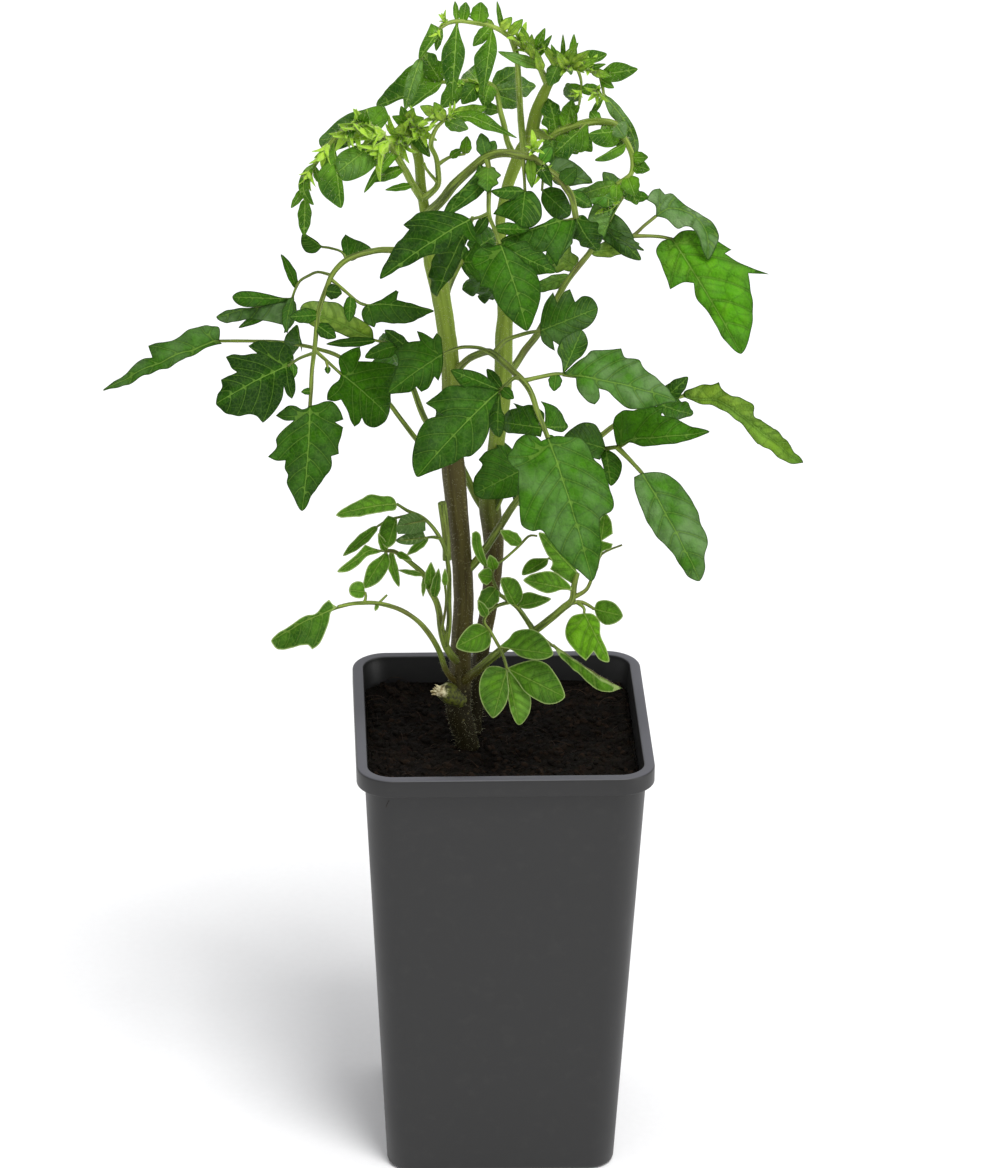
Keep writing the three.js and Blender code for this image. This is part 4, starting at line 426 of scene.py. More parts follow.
def filled(outline, lines, step):
    """Triangles that fill a flat outline, with points on its inner lines and in rows a step apart."""
    points = [outline]
    edges = []
    first = len(outline)
    for line in lines:
        points.append(line)
        edges += [(first + i, first + i + 1) for i in range(len(line) - 1)]
        first += len(line)
    low, high = outline.min(axis=0), outline.max(axis=0)
    row_gap = step * math.sqrt(3) / 2
    rows = []
    for row in range(int((high[1] - low[1]) / row_gap) + 2):
        start = low[0] + (row % 2) * step / 2
        across = np.arange(start, high[0], step)
        rows.append(np.column_stack([across, np.full(len(across), low[1] + row * row_gap)]))
    rows = np.vstack(rows)
    rows = rows[inside(rows, outline)]
    starts = np.vstack([outline] + [line[:-1] for line in lines])
    ends = np.vstack([np.roll(outline, -1, axis=0)] + [line[1:] for line in lines])
    if len(rows):
        points.append(rows[distances(rows, starts, ends).min(axis=1) > 0.5 * step])
    flat = [Vector(point) for point in np.vstack(points)]
    found = geometry.delaunay_2d_cdt(flat, edges, [list(range(len(outline)))], 1, 1e-4)
    corners, faces = np.array([tuple(point) for point in found[0]]), np.array(found[2])
    a, b, c = (corners[faces[:, i]] for i in range(3))
    area = (b[:, 0] - a[:, 0]) * (c[:, 1] - a[:, 1]) - (b[:, 1] - a[:, 1]) * (c[:, 0] - a[:, 0])
    faces[area < 0] = faces[area < 0][:, ::-1]
    return corners, faces


def open_edges(faces):
    """The edges that only one face uses, in that face's direction."""
    edges = {(a, b) for face in faces for a, b in zip(face, np.roll(face, -1))}
    return [(a, b) for a, b in sorted(edges) if (b, a) not in edges]


def soil_height(x, y):
    long = np.sin(0.11 * x + 0.7) * np.cos(0.13 * y - 0.4)
    short = np.sin(0.31 * x - 0.23 * y)
    return SOIL_LEVEL + SOIL_BUMP * (0.7 * long + 0.3 * short)


edge = np.array(tub_ring(SOIL_LEVEL, BODY_WALL + GAP))[:, :2]
flat, faces = filled(edge, [], SOIL_STEP)
level = soil_height(flat[:, 0], flat[:, 1])
for width, height in LUMPS:
    level += height * np.array([noise.noise(Vector((x / width, y / width, width))) for x, y in flat])
tops = np.column_stack([flat, level])
rim_edges = open_edges(faces)
foot_scale = (tub_half(FLOOR) - BODY_WALL - GAP) / (tub_half(SOIL_LEVEL) - BODY_WALL - GAP)
foot = {a: len(tops) + i for i, (a, b) in enumerate(rim_edges)}
feet = np.array([(*(tops[a][:2] * foot_scale), FLOOR + GAP) for a in foot])
sides = [(b, a, foot[a], foot[b]) for a, b in rim_edges]
around = [rim_edges[0][0]]
following = dict(rim_edges)
while following[around[-1]] != around[0]:
    around.append(following[around[-1]])
bottom = [foot[a] for a in reversed(around)]
block = {"vertices": np.vstack([tops, feet]), "faces": faces.tolist() + sides + [bottom]}

# Wet peat is nearly black; drier lumps are brown. Grains of 1.5 mm show in its colour and its surface.
peat, add = new_material("moist_potting_mix")
place = add("ShaderNodeTexCoord").outputs["Object"]
lumps = add("ShaderNodeTexNoise", {"Vector": place, "Scale": 1 / (7 * MM), "Detail": 5})
grains = add("ShaderNodeTexVoronoi", {"Vector": place, "Scale": 1 / (1.5 * MM)})
tone = layered(add, colour("#0c0804"), (lumps, 0.42, 0.68, 1.0, "#1a120a"))
each = grains.outputs["Color"]
tone = add("ShaderNodeMix", {0: 0.35, 6: tone, 7: each}, data_type="RGBA", blend_type="MULTIPLY")
rough = add("ShaderNodeBump", {"Height": grains, "Distance": 0.6 * MM, "Strength": 0.8})
surface = add("ShaderNodeBsdfPrincipled", {
    "Base Color": tone, "Roughness": 0.9, "Normal": rough, "Specular IOR Level": 0.12,
})
add("ShaderNodeOutputMaterial", {"Surface": surface})

# Crumbs of peat and bark: each has its own brown.
crumb_brown, add = new_material("peat_and_bark_crumbs")
place = add("ShaderNodeTexCoord").outputs["Object"]
each = add("ShaderNodeTexVoronoi", {"Vector": place, "Scale": 1 / (3 * MM)}).outputs["Color"]
shade = add("ShaderNodeSeparateColor", {"Color": each}, mode="RGB")
tone = layered(add, colour("#0d0905"), (shade, 0.55, 1.0, 1.0, "#241910"))
pits = add("ShaderNodeTexNoise", {"Vector": place, "Scale": 1 / (0.6 * MM), "Detail": 3})
rough = add("ShaderNodeBump", {"Height": pits, "Distance": 0.3 * MM})
surface = add("ShaderNodeBsdfPrincipled", {
    "Base Color": tone, "Roughness": 0.88, "Normal": rough, "Specular IOR Level": 0.12,
})
add("ShaderNodeOutputMaterial", {"Surface": surface})

# Dry peat fibres: thin, matt and straw brown, streaked along their length.
fibre_brown, add = new_material("dry_peat_fibre")
place = add("ShaderNodeTexCoord").outputs["Object"]
streaks = add("ShaderNodeTexNoise", {"Vector": place, "Scale": 1 / (5 * MM), "Detail": 4})
tone = layered(add, colour("#1c130c"), (streaks, 0.4, 0.65, 1.0, "#3e2e20"))
surface = add("ShaderNodeBsdfPrincipled", {"Base Color": tone, "Roughness": 0.8, "Specular IOR Level": 0.3})
add("ShaderNodeOutputMaterial", {"Surface": surface})

soil = joined("soil_surface", [block], [peat])
finish_piece(soil, "soil", SOFT_EDGE)


def lying_spots(add, given):
    """Points scattered where a surface faces up."""
    upwards = add("ShaderNodeSeparateXYZ", {"Vector": add("GeometryNodeInputNormal")}).outputs["Z"]
    lying = add("FunctionNodeCompare", {"A": upwards, "B": 0.4}, operation="GREATER_THAN")
    return add("GeometryNodeDistributePointsOnFaces", {
        "Mesh": given["Geometry"], "Selection": lying, "Density": given["Density"], "Seed": given["Seed"],
    })


# Loose crumbs lie on the surface: each is a pebble, turned and scaled at random and then made ragged.
strewn, add, given = new_geometry("strewn_crumbs", {
    "Density": "Float", "Smallest": "Float", "Largest": "Float", "Facets": "Int", "Raggedness": "Float",
    "Seed": "Int",
})
spots = lying_spots(add, given)
size = add("FunctionNodeRandomValue", {2: given["Smallest"], 3: given["Largest"], "Seed": given["Seed"]})
turn = add("FunctionNodeRandomValue", {
    0: (-0.6, -0.6, -math.pi), 1: (0.6, 0.6, math.pi), "Seed": given["Seed"],
}, data_type="FLOAT_VECTOR")
flattened = add("ShaderNodeVectorMath", {0: (1, 0.75, 0.6), "Scale": size}, operation="SCALE")
pebble = add("GeometryNodeMeshIcoSphere", {"Radius": 1.0, "Subdivisions": given["Facets"]})
turn = add("FunctionNodeEulerToRotation", {"Euler": turn})
crumbs = add("GeometryNodeInstanceOnPoints", {
    "Points": spots, "Instance": pebble, "Rotation": turn, "Scale": flattened,
})
crumbs = add("GeometryNodeRealizeInstances", {"Geometry": crumbs})
bumps = add("ShaderNodeTexNoise", {"Scale": 1 / (1.4 * MM), "Detail": 2.0}).outputs["Color"]
centred = add("ShaderNodeVectorMath", {0: bumps, 1: (0.5, 0.5, 0.5)}, operation="SUBTRACT")
ragged = add("ShaderNodeVectorMath", {0: centred, "Scale": given["Raggedness"]}, operation="SCALE")
crumbs = add("GeometryNodeSetPosition", {"Geometry": crumbs, "Offset": ragged})
end_tree(add, given, crumbs)
for name, density, sizes, ragged, facets, seed in LOOSE_PIECES:
    crumbs = grown(name, soil, strewn, {
        "Density": density, "Smallest": sizes[0] * MM, "Largest": sizes[1] * MM,
        "Facets": facets, "Raggedness": ragged * MM, "Seed": seed, "Material": crumb_brown,
    }, keep=True)
    finish_piece(crumbs, "soil")

# Fibres: bent three-sided strands, which lie turned every way.
matted, add, given = new_geometry("matted_fibres", {
    "Density": "Float", "Shortest": "Float", "Longest": "Float", "Thickness": "Float", "Seed": "Int",
})
spots = lying_spots(add, given)
length = add("FunctionNodeRandomValue", {2: given["Shortest"], 3: given["Longest"], "Seed": given["Seed"]})
turn = add("FunctionNodeRandomValue", {
    0: (-1.2, -0.15, -math.pi), 1: (1.2, 0.15, math.pi), "Seed": given["Seed"],
}, data_type="FLOAT_VECTOR")
course = add("GeometryNodeCurveQuadraticBezier", {
    "Resolution": 6, "Start": (-0.5, 0, 0), "Middle": (0.1, 0.4, 0.25), "End": (0.5, 0, 0.03),
})
thin = add("ShaderNodeMath", {0: given["Thickness"], 1: given["Longest"]}, operation="DIVIDE")
section = add("GeometryNodeCurvePrimitiveCircle", {"Resolution": 3, "Radius": thin})
strand = add("GeometryNodeCurveToMesh", {"Curve": course, "Profile Curve": section, "Fill Caps": True})
turn = add("FunctionNodeEulerToRotation", {"Euler": turn})
size = add("ShaderNodeCombineXYZ", {0: length, 1: length, 2: length})
strands = add("GeometryNodeInstanceOnPoints", {
    "Points": spots, "Instance": strand, "Rotation": turn, "Scale": size,
})
end_tree(add, given, strands)
fibres = grown("soil_fibres", soil, matted, {
    "Density": FIBRES, "Shortest": FIBRE_LENGTH[0] * MM, "Longest": FIBRE_LENGTH[1] * MM,
    "Thickness": FIBRE_THICK / 2 * MM, "Seed": FIBRE_SEED, "Material": fibre_brown,
}, keep=True)
finish_piece(fibres, "soil")

# ---- the two leaders ----------------------------------------------------------------------------
# Two main stems rise from the soil: slightly ribbed green shoots that thicken at their nodes and turn brown
# and corky below. Their skin grows fine hairs, long and white near the soil.

STEMS = [  # x,y,depth,diameter in mm from below the soil to the tip, and heights where brown turns green
  dict(name="stem_left", brown=(322, 352), path="473,812,-4,8.6 469,752,-4,9 459,710,-4,10 "
    "460,690,-4,9.4 461,650,-4,8.4 464,600,-4,8.2 461,547,-4,8.2 454,472,-4,9.4 452,430,-4,8 451,370,-4,7.2 "
    "448,340,-4,7.2 442,300,-4,7.4 438,280,-4,7.6 432,262,-4,6.4 428,235,-4,5 425,211,-4,4.2 "
    "421,185,-4,4 419,160,-4,3.8 412,135,-4,3.4"),
  dict(name="stem_right", brown=(262, 298), path="475,790,8,6.4 473,740,8,6.6 477,690,9,6.6 "
    "483,640,9,6.6 490,600,10,6.8 494,547,10,8.2 490,500,10,8.8 494,470,10,7 497,440,9,6.6 503,390,8,7 "
    "504,340,8,7 505,312,7,6 503,280,7,5 501,232,6,4 501,216,6,4 508,185,5,4.4 521,152,4,5.2 "
    "530,140,4,5.4 535,118,3,5 541,100,2,4.4 548,85,1,3.6 558,70,0,2.6"),
]
STEM_ROD = 28, 1.2, 5, 0.035, 0.5  # sides, step, ribs and their height as a share of the radius, unevenness
YOUNG_SKIN = 400, 455  # heights between which the green turns lighter
PAINTED_FOOT_SHADE = 197, 227  # and between which the painted shade under the low leaves fades from the stem's foot
SKIN_DRIFT = 50  # how far apart these heights lie round the stem, at the most
STEM_HAIRS = 5e5, 0.5, 1.3, 0.07  # how many on a square metre, shortest, longest and thickness in mm
FOOT_HAIRS = 7e4, 1, 3, 0.09
FOOT_HAIRS_TO = 200

# A rod that follows a path: its ribs run lengthwise, and noise keeps it uneven. "course" tells the material
# where a point lies: round the rod, and along it.
rod, add, given = new_geometry("grown_rod", {
    "Sides": "Int", "Step": "Float", "Ribs": "Float", "Rib height": "Float", "Unevenness": "Float",
})
radius = add("GeometryNodeInputNamedAttribute", {"Name": "radius_here"})
path = add("GeometryNodeMeshToCurve", {"Mesh": given["Geometry"]})
path = add("GeometryNodeCurveSplineType", {"Curve": path}, spline_type="CATMULL_ROM")
path = add("GeometryNodeResampleCurve", {"Curve": path, "Length": given["Step"]}, mode="LENGTH")
way = add("GeometryNodeSplineParameter").outputs["Length"]
path = add("GeometryNodeStoreNamedAttribute", {"Geometry": path, "Name": "way", "Value": way})
section = add("GeometryNodeCurvePrimitiveCircle", {"Resolution": given["Sides"], "Radius": 1.0})
round_it = add("GeometryNodeSplineParameter").outputs["Factor"]
angle = add("ShaderNodeMath", {0: round_it, 1: 2 * math.pi}, operation="MULTIPLY")
section = add("GeometryNodeStoreNamedAttribute", {"Geometry": section, "Name": "turn", "Value": angle})
shape = add("GeometryNodeCurveToMesh", {
    "Curve": path, "Profile Curve": section, "Scale": radius, "Fill Caps": True,
})
turn = add("GeometryNodeInputNamedAttribute", {"Name": "turn"})
way = add("GeometryNodeInputNamedAttribute", {"Name": "way"})
cosine = add("ShaderNodeMath", {0: turn}, operation="COSINE")
sine = add("ShaderNodeMath", {0: turn}, operation="SINE")
across = add("ShaderNodeMath", {0: cosine, 1: radius}, operation="MULTIPLY")
up = add("ShaderNodeMath", {0: sine, 1: radius}, operation="MULTIPLY")
course = add("ShaderNodeCombineXYZ", {"X": across, "Y": up, "Z": way})
shape = add("GeometryNodeStoreNamedAttribute", {
    "Geometry": shape, "Name": "course", 3: course,
}, data_type="FLOAT_VECTOR")
wave = add("ShaderNodeMath", {0: turn, 1: given["Ribs"]}, operation="MULTIPLY")
wave = add("ShaderNodeMath", {0: wave}, operation="SINE")
for scale in (given["Rib height"], radius):
    wave = add("ShaderNodeMath", {0: wave, 1: scale}, operation="MULTIPLY")
lumps = add("ShaderNodeTexNoise", {"Scale": 1 / (6 * MM), "Detail": 2.0})
lumps = add("ShaderNodeMath", {0: lumps, 1: 0.5}, operation="SUBTRACT")
lumps = add("ShaderNodeMath", {0: lumps, 1: given["Unevenness"]}, operation="MULTIPLY")
rise = add("ShaderNodeMath", {0: wave, 1: lumps})
out = add("GeometryNodeInputNormal")
offset = add("ShaderNodeVectorMath", {0: out, "Scale": rise}, operation="SCALE")
shape = add("GeometryNodeSetPosition", {"Geometry": shape, "Offset": offset})
shape = add("GeometryNodeSetShadeSmooth", {"Geometry": shape})
end_tree(add, given, shape)

# Hairs grow out of a skin and lean a little: each is a thin three-sided spike.
hairy, add, given = new_geometry("hairs", {
    "Density": "Float", "Shortest": "Float", "Longest": "Float", "Thickness": "Float", "Lean": "Float",
    "Below": "Float", "Seed": "Int",
})
height = add("ShaderNodeSeparateXYZ", {"Vector": add("GeometryNodeInputPosition")}).outputs["Z"]
low_down = add("FunctionNodeCompare", {"A": height, "B": given["Below"]}, operation="LESS_THAN")
roots = add("GeometryNodeDistributePointsOnFaces", {
    "Mesh": given["Geometry"], "Selection": low_down, "Density": given["Density"], "Seed": given["Seed"],
})
least = add("ShaderNodeMath", {0: given["Lean"], 1: -1.0}, operation="MULTIPLY")
lean = add("FunctionNodeRandomValue", {
    0: add("ShaderNodeCombineXYZ", {0: least, 1: least}),
    1: add("ShaderNodeCombineXYZ", {0: given["Lean"], 1: given["Lean"], 2: math.pi}),
    "Seed": given["Seed"],
}, data_type="FLOAT_VECTOR")
lean = add("FunctionNodeEulerToRotation", {"Euler": lean})
leaning = add("FunctionNodeRotateRotation", {
    "Rotation": roots.outputs["Rotation"], "Rotate By": lean,
}, rotation_space="LOCAL")
length = add("FunctionNodeRandomValue", {2: given["Shortest"], 3: given["Longest"], "Seed": given["Seed"]})
spike = add("GeometryNodeMeshCone", {"Vertices": 3, "Radius Top": 0.0, "Radius Bottom": 1.0, "Depth": 1.0})
half_thick = add("ShaderNodeMath", {0: given["Thickness"], 1: 0.5}, operation="MULTIPLY")
size = add("ShaderNodeCombineXYZ", {0: half_thick, 1: half_thick, 2: length})
spikes = add("GeometryNodeInstanceOnPoints", {
    "Points": roots.outputs["Points"], "Instance": spike, "Rotation": leaning, "Scale": size,
})
end_tree(add, given, spikes)


def places(text):
    """Rows of numbers from a text. Each row is a place in the picture, with what belongs to it."""
    return [[float(number) for number in place.split(",")] for place in text.split()]


def rods(name, paths, material, sides, step, ribs, rib_height, unevenness):
    """One mesh of rods. Each path has points in millimetres, and a radius at each of them."""
    vertices, edges, radii = [], [], []
    for points, path_radii in paths:
        edges += [(len(vertices) + i, len(vertices) + i + 1) for i in range(len(points) - 1)]
        vertices += [Vector(point) * MM for point in points]
        radii += [value * MM for value in path_radii]
    mesh = bpy.data.meshes.new(name)
    mesh.from_pydata(vertices, edges, [])
    give(mesh, "radius_here", radii)
    return grown(name, placed("lines", mesh), rod, {
        "Sides": sides, "Step": step * MM, "Ribs": ribs, "Rib height": rib_height,
        "Unevenness": unevenness * MM, "Material": material,
    })


def add_hairs(piece, node, sizes, seed, kind="hairs", below=1000):
    density, shortest, longest, thick = sizes
    hairs = grown(f"{piece.name}_{kind}", piece, hairy, {
        "Density": density, "Shortest": shortest * MM, "Longest": longest * MM, "Thickness": thick * MM,
        "Lean": 0.5, "Below": below * MM, "Seed": seed, "Material": hair_white,
    }, keep=True)
    finish_piece(hairs, node)


def stem_skin(name, brown_up_to):
    """Green skin over soft tissue, lighter near the tip, brown and corky low down, and darkened near the
    soil by painted shade from the low leaves. Streaks run lengthwise every 1.2 mm, and pale specks of 1 mm,
    about 4 mm apart, are its pores."""
    skin, add = new_material(name)
    place = add("ShaderNodeTexCoord").outputs["Object"]
    course = add("ShaderNodeAttribute", {}, attribute_name="course").outputs["Vector"]
    height = add("ShaderNodeSeparateXYZ", {"Vector": place}).outputs["Z"]
    cloud = add("ShaderNodeTexNoise", {"Vector": place, "Scale": 1 / (14 * MM), "Detail": 3})
    shifted = add("ShaderNodeMath", {0: cloud, 1: SKIN_DRIFT * MM, 2: height}, operation="MULTIPLY_ADD")
    brown, green_from, full_shade, no_shade = ((level + SKIN_DRIFT / 2) * MM for level in (*brown_up_to, *PAINTED_FOOT_SHADE))
    green = add("ShaderNodeMapRange", {"Value": shifted, 1: brown, 2: green_from})
    young = add("ShaderNodeMapRange", {"Value": height, 1: YOUNG_SKIN[0] * MM, 2: YOUNG_SKIN[1] * MM})
    drawn_out = add("ShaderNodeVectorMath", {0: course, 1: (1, 1, 0.06)}, operation="MULTIPLY")
    streaks = add("ShaderNodeTexNoise", {"Vector": drawn_out, "Scale": 1 / (1.2 * MM), "Detail": 3})
    bark, green_skin, young_skin = (
        layered(add, colour(dark), (streaks, 0.2, 0.8, 1.0, light))
        for dark, light in (("#342c0e", "#544e1e"), ("#5e741c", "#8ca23c"), ("#66801c", "#8ea63c"))
    )
    tone = add("ShaderNodeMix", {0: green, 6: bark, 7: green_skin}, data_type="RGBA")
    tone = add("ShaderNodeMix", {0: young, 6: tone, 7: young_skin}, data_type="RGBA")
    pores = add("ShaderNodeTexVoronoi", {"Vector": course, "Scale": 1 / (4 * MM)})
    # Painted shade: the stem's foot is darkened near the soil, where the low leaves shade it.
    tone = layered(add, tone, (shifted, no_shade, full_shade, 0.8, "#100c06"), (pores, 0.16, 0.08, 0.4, "#8f8a58"))
    ridged = add("ShaderNodeBump", {"Height": streaks, "Distance": 0.35 * MM, "Strength": 0.7})
    surface = add("ShaderNodeBsdfPrincipled", {
        "Base Color": tone, "Roughness": 0.55, "Normal": ridged, "Specular IOR Level": 0.2,
    })
    add("ShaderNodeOutputMaterial", {"Surface": surface})
    return skin


# Plant hairs are clear and catch the light, so they look white; some are tinged green.
hair_white, add = new_material("plant_hair")
place = add("ShaderNodeTexCoord").outputs["Object"]
tinge = add("ShaderNodeTexNoise", {"Vector": place, "Scale": 1 / (3 * MM)})
tone = layered(add, colour("#a3ab6c"), (tinge, 0.0, 1.0, 1.0, "#ece8cc"))
surface = add("ShaderNodeBsdfPrincipled", {"Base Color": tone, "Roughness": 0.4})
add("ShaderNodeOutputMaterial", {"Surface": surface})

for number, row in enumerate(STEMS):
    path = places(row["path"])
    middle = [seen(x, y, depth) for x, y, depth, _ in path]
    bark = stem_skin("tomato_" + row["name"], row["brown"])
    stem = rods(row["name"] + "_skin", [(middle, [place[3] / 2 for place in path])], bark, *STEM_ROD)
    finish_piece(stem, row["name"], SOFT_EDGE)
    add_hairs(stem, row["name"], STEM_HAIRS, number)
    add_hairs(stem, row["name"], FOOT_HAIRS, 20 + number, "foot_hairs", FOOT_HAIRS_TO)

# ---- the pruned stub ----------------------------------------------------------------------------
# The foot of a side shoot that was cut off above the soil: its cut has dried to a ragged cream end, and a
# green swelling of callus has grown where it leaves the left leader.

STUB_PATH = [(458, 697, -5), (449, 694, -9), (441, 691.5, -12), (436, 690, -13)]
STUB_THICK = 9.6, 8.8, 5.2, 3.8
STUB_ROD = 14, 0.5, 3, 0.12, 2.2  # as for the leaders
SPLINTERS = 9

stub_points = [seen(*place) for place in STUB_PATH]

# Young callus is yellow-green and knobbly every 1.6 mm; the cut wood beyond it is cream and fibrous.
callus, add = new_material("callus_and_dry_cut")
place = add("ShaderNodeTexCoord").outputs["Object"]
way = add("ShaderNodeVectorMath", {0: place, 1: stub_points[0] * MM}, operation="DISTANCE").outputs["Value"]
knobs = add("ShaderNodeTexNoise", {"Vector": place, "Scale": 1 / (1.6 * MM), "Detail": 3})
shifted = add("ShaderNodeMath", {0: knobs, 1: 4 * MM, 2: way}, operation="MULTIPLY_ADD")
dried = add("ShaderNodeMapRange", {"Value": shifted, 1: 13.5 * MM, 2: 15 * MM})
fresh = layered(add, colour("#2c2c08"), (knobs, 0.4, 0.62, 1.0, "#5c6410"))
cream = layered(add, colour("#8c7c50"), (knobs, 0.4, 0.62, 1.0, "#e0d8b0"))
tone = add("ShaderNodeMix", {0: dried, 6: fresh, 7: cream}, data_type="RGBA")
knobbly = add("ShaderNodeBump", {"Height": knobs, "Distance": 0.6 * MM})
surface = add("ShaderNodeBsdfPrincipled", {"Base Color": tone, "Roughness": 0.7, "Normal": knobbly})
add("ShaderNodeOutputMaterial", {"Surface": surface})

stub_paths = [(stub_points, [thick / 2 for thick in STUB_THICK])]
outward = (stub_points[-1] - stub_points[-2]).normalized()
level = outward.cross(Vector((0, 0, 1))).normalized()
upright = outward.cross(level)
# Splinters of the torn end stand in a ring, every other one further out.
for number in range(SPLINTERS):
    angle = number * 2 * math.pi / SPLINTERS
    off = (level * math.cos(angle) + upright * math.sin(angle)) * (0.9 + 0.8 * (number % 2))
    start = stub_points[-1] + off
    reach = 0.9 + 1.3 * math.sin(number * 2.4) ** 2
    end = start + outward * reach + (level * math.cos(angle * 2) + upright * math.sin(angle)) * 0.5
    stub_paths.append(([start - outward * 1.5, start, end], [0.7, 0.6, 0.15]))
stub = rods("pruned_stub_callus", stub_paths, callus, *STUB_ROD)
finish_piece(stub, "pruned_stub", SOFT_EDGE)

# ---- the grown leaves ---------------------------------------------------------------------------
# Compound leaves of the leaders: a grooved stalk carries toothed leaflets and small ones between them. A
# leaflet is a thin soft blade, puffed between its sunken veins; on its paler underside the veins stand out.

BLADE_THICKNESS = 0.34
RIM_THICKNESS = 0.12
BLADE_STEPS = [(30, 1.15), (14, 0.8), (0, 0.5)]  # points this far apart on blades at least so long, in mm
SHARP_TURN = math.radians(62)  # a margin keeps a corner that turns more than this
TOOTH_TURN = math.radians(26)
TOOTH_GAP = 3.6
ROUND_TIP = 0.8  # 0 leaves a leaflet's tip as sharp as its outline, 1 rounds it fully
VEIN_LEAN = math.radians(46)  # between the midrib and a side vein
VEIN_GAP = 12  # the widest stretch of a midrib without a side vein
MIDRIB_HALF, SIDE_VEIN_HALF = (0.18, 0.03), (0.07, 0.03)  # half widths at a vein's two ends
QUILTING = 1.5  # how far the blade puffs up between its veins, in mm, on the largest leaflets
PUFF_REACH = 2.3  # from a vein
MIDRIB_SINK = 0.45
VEIN_RIDGE = 0.3
WAVES, RIPPLES, CURL = 0.85, 0.36, -0.4  # slow waves, ripples of the margin, and its turned-down rim
LARGE = 45  # length in mm from which a leaflet has these in full
PATTERN_SHIFT = 97  # between the parts of a pattern that two leaflets show
STALK_ROD = 8, 1.3, 2, 0.05, 0.25  # sizes as for the leaders
STALK_HAIRS = 6e5, 0.4, 1.1, 0.06
WOODY_STALKS = 225, 211  # heights between which stalks turn from green to brown


def smooth_run(points, step, beyond=None):
    """Points about a step apart on a centripetal Catmull-Rom curve through these. It leaves the last one
    towards the point beyond."""
    if len(points) < 3 and beyond is None:
        count = max(2, int(np.linalg.norm(points[-1] - points[0]) / step) + 1)
        return points[0] + np.linspace(0, 1, count)[:, None] * (points[-1] - points[0])
    after = 2 * points[-1] - points[-2] if beyond is None else beyond
    padded = np.vstack([2 * points[0] - points[1], points, after])
    line = []
    for i in range(len(padded) - 3):
        p0, p1, p2, p3 = padded[i:i + 4]
        k1 = math.sqrt(np.linalg.norm(p1 - p0)) + 1e-4
        k2 = k1 + math.sqrt(np.linalg.norm(p2 - p1)) + 1e-4
        k3 = k2 + math.sqrt(np.linalg.norm(p3 - p2)) + 1e-4
        count = max(1, int(round(np.linalg.norm(p2 - p1) / step)))
        t = np.linspace(k1, k2, count, endpoint=False)[:, None]
        a1 = ((k1 - t) * p0 + t * p1) / k1
        a2 = ((k2 - t) * p1 + (t - k1) * p2) / (k2 - k1)
        a3 = ((k3 - t) * p2 + (t - k2) * p3) / (k3 - k2)
        b1 = ((k2 - t) * a1 + t * a2) / k2
        b2 = ((k3 - t) * a2 + (t - k1) * a3) / (k3 - k1)
        line.append(((k2 - t) * b1 + (t - k1) * b2) / (k2 - k1))
    return np.vstack(line + [points[-1]])


def turns(points):
    """How far a line turns at each of its inner points, to the left if positive."""
    legs = np.diff(points, axis=0)
    angles = np.arctan2(legs[:, 1], legs[:, 0])
    return (np.diff(angles) + math.pi) % (2 * math.pi) - math.pi


def smooth_margin(points, step, other_side):
    """A margin from base to tip, rounded at the tip and between the sharp turns of its teeth and notches."""
    corners = [i + 1 for i, turn in enumerate(turns(points)) if abs(turn) > SHARP_TURN]
    ends = [0] + corners + [len(points) - 1]
    beyond = ROUND_TIP * other_side[-2] + (1 - ROUND_TIP) * (2 * points[-1] - points[-2])
    runs = [smooth_run(points[a:b + 1], step) for a, b in zip(ends[:-1], ends[1:-1])]
    runs.append(smooth_run(points[ends[-2]:], step, beyond))
    return np.vstack([run[:-1] for run in runs] + [runs[-1][-1]])


def teeth_of(points, side):
    """The outermost points of a margin's teeth: it turns back towards the midrib there."""
    found = []
    for i, turn in enumerate(turns(points)):
        place = points[i + 1]
        if -side * turn < TOOTH_TURN:
            continue
        if found and np.linalg.norm(place - found[-1]) < TOOTH_GAP:
            if abs(place[1]) > abs(found[-1][1]):
                found[-1] = place
        else:
            found.append(place)
    return found


def crossing(start, way, outline):
    """How far along a straight way from the start an outline is met, or None."""
    ends = np.roll(outline, -1, axis=0)
    legs = ends - outline
    across = way[0] * legs[:, 1] - way[1] * legs[:, 0]
    across[np.abs(across) < 1e-9] = 1e-9
    offset = outline - start
    reach = (offset[:, 0] * legs[:, 1] - offset[:, 1] * legs[:, 0]) / across
    share = (offset[:, 0] * way[1] - offset[:, 1] * way[0]) / across
    met = reach[(share >= 0) & (share <= 1) & (reach > 0.5)]
    return met.min() if len(met) else None


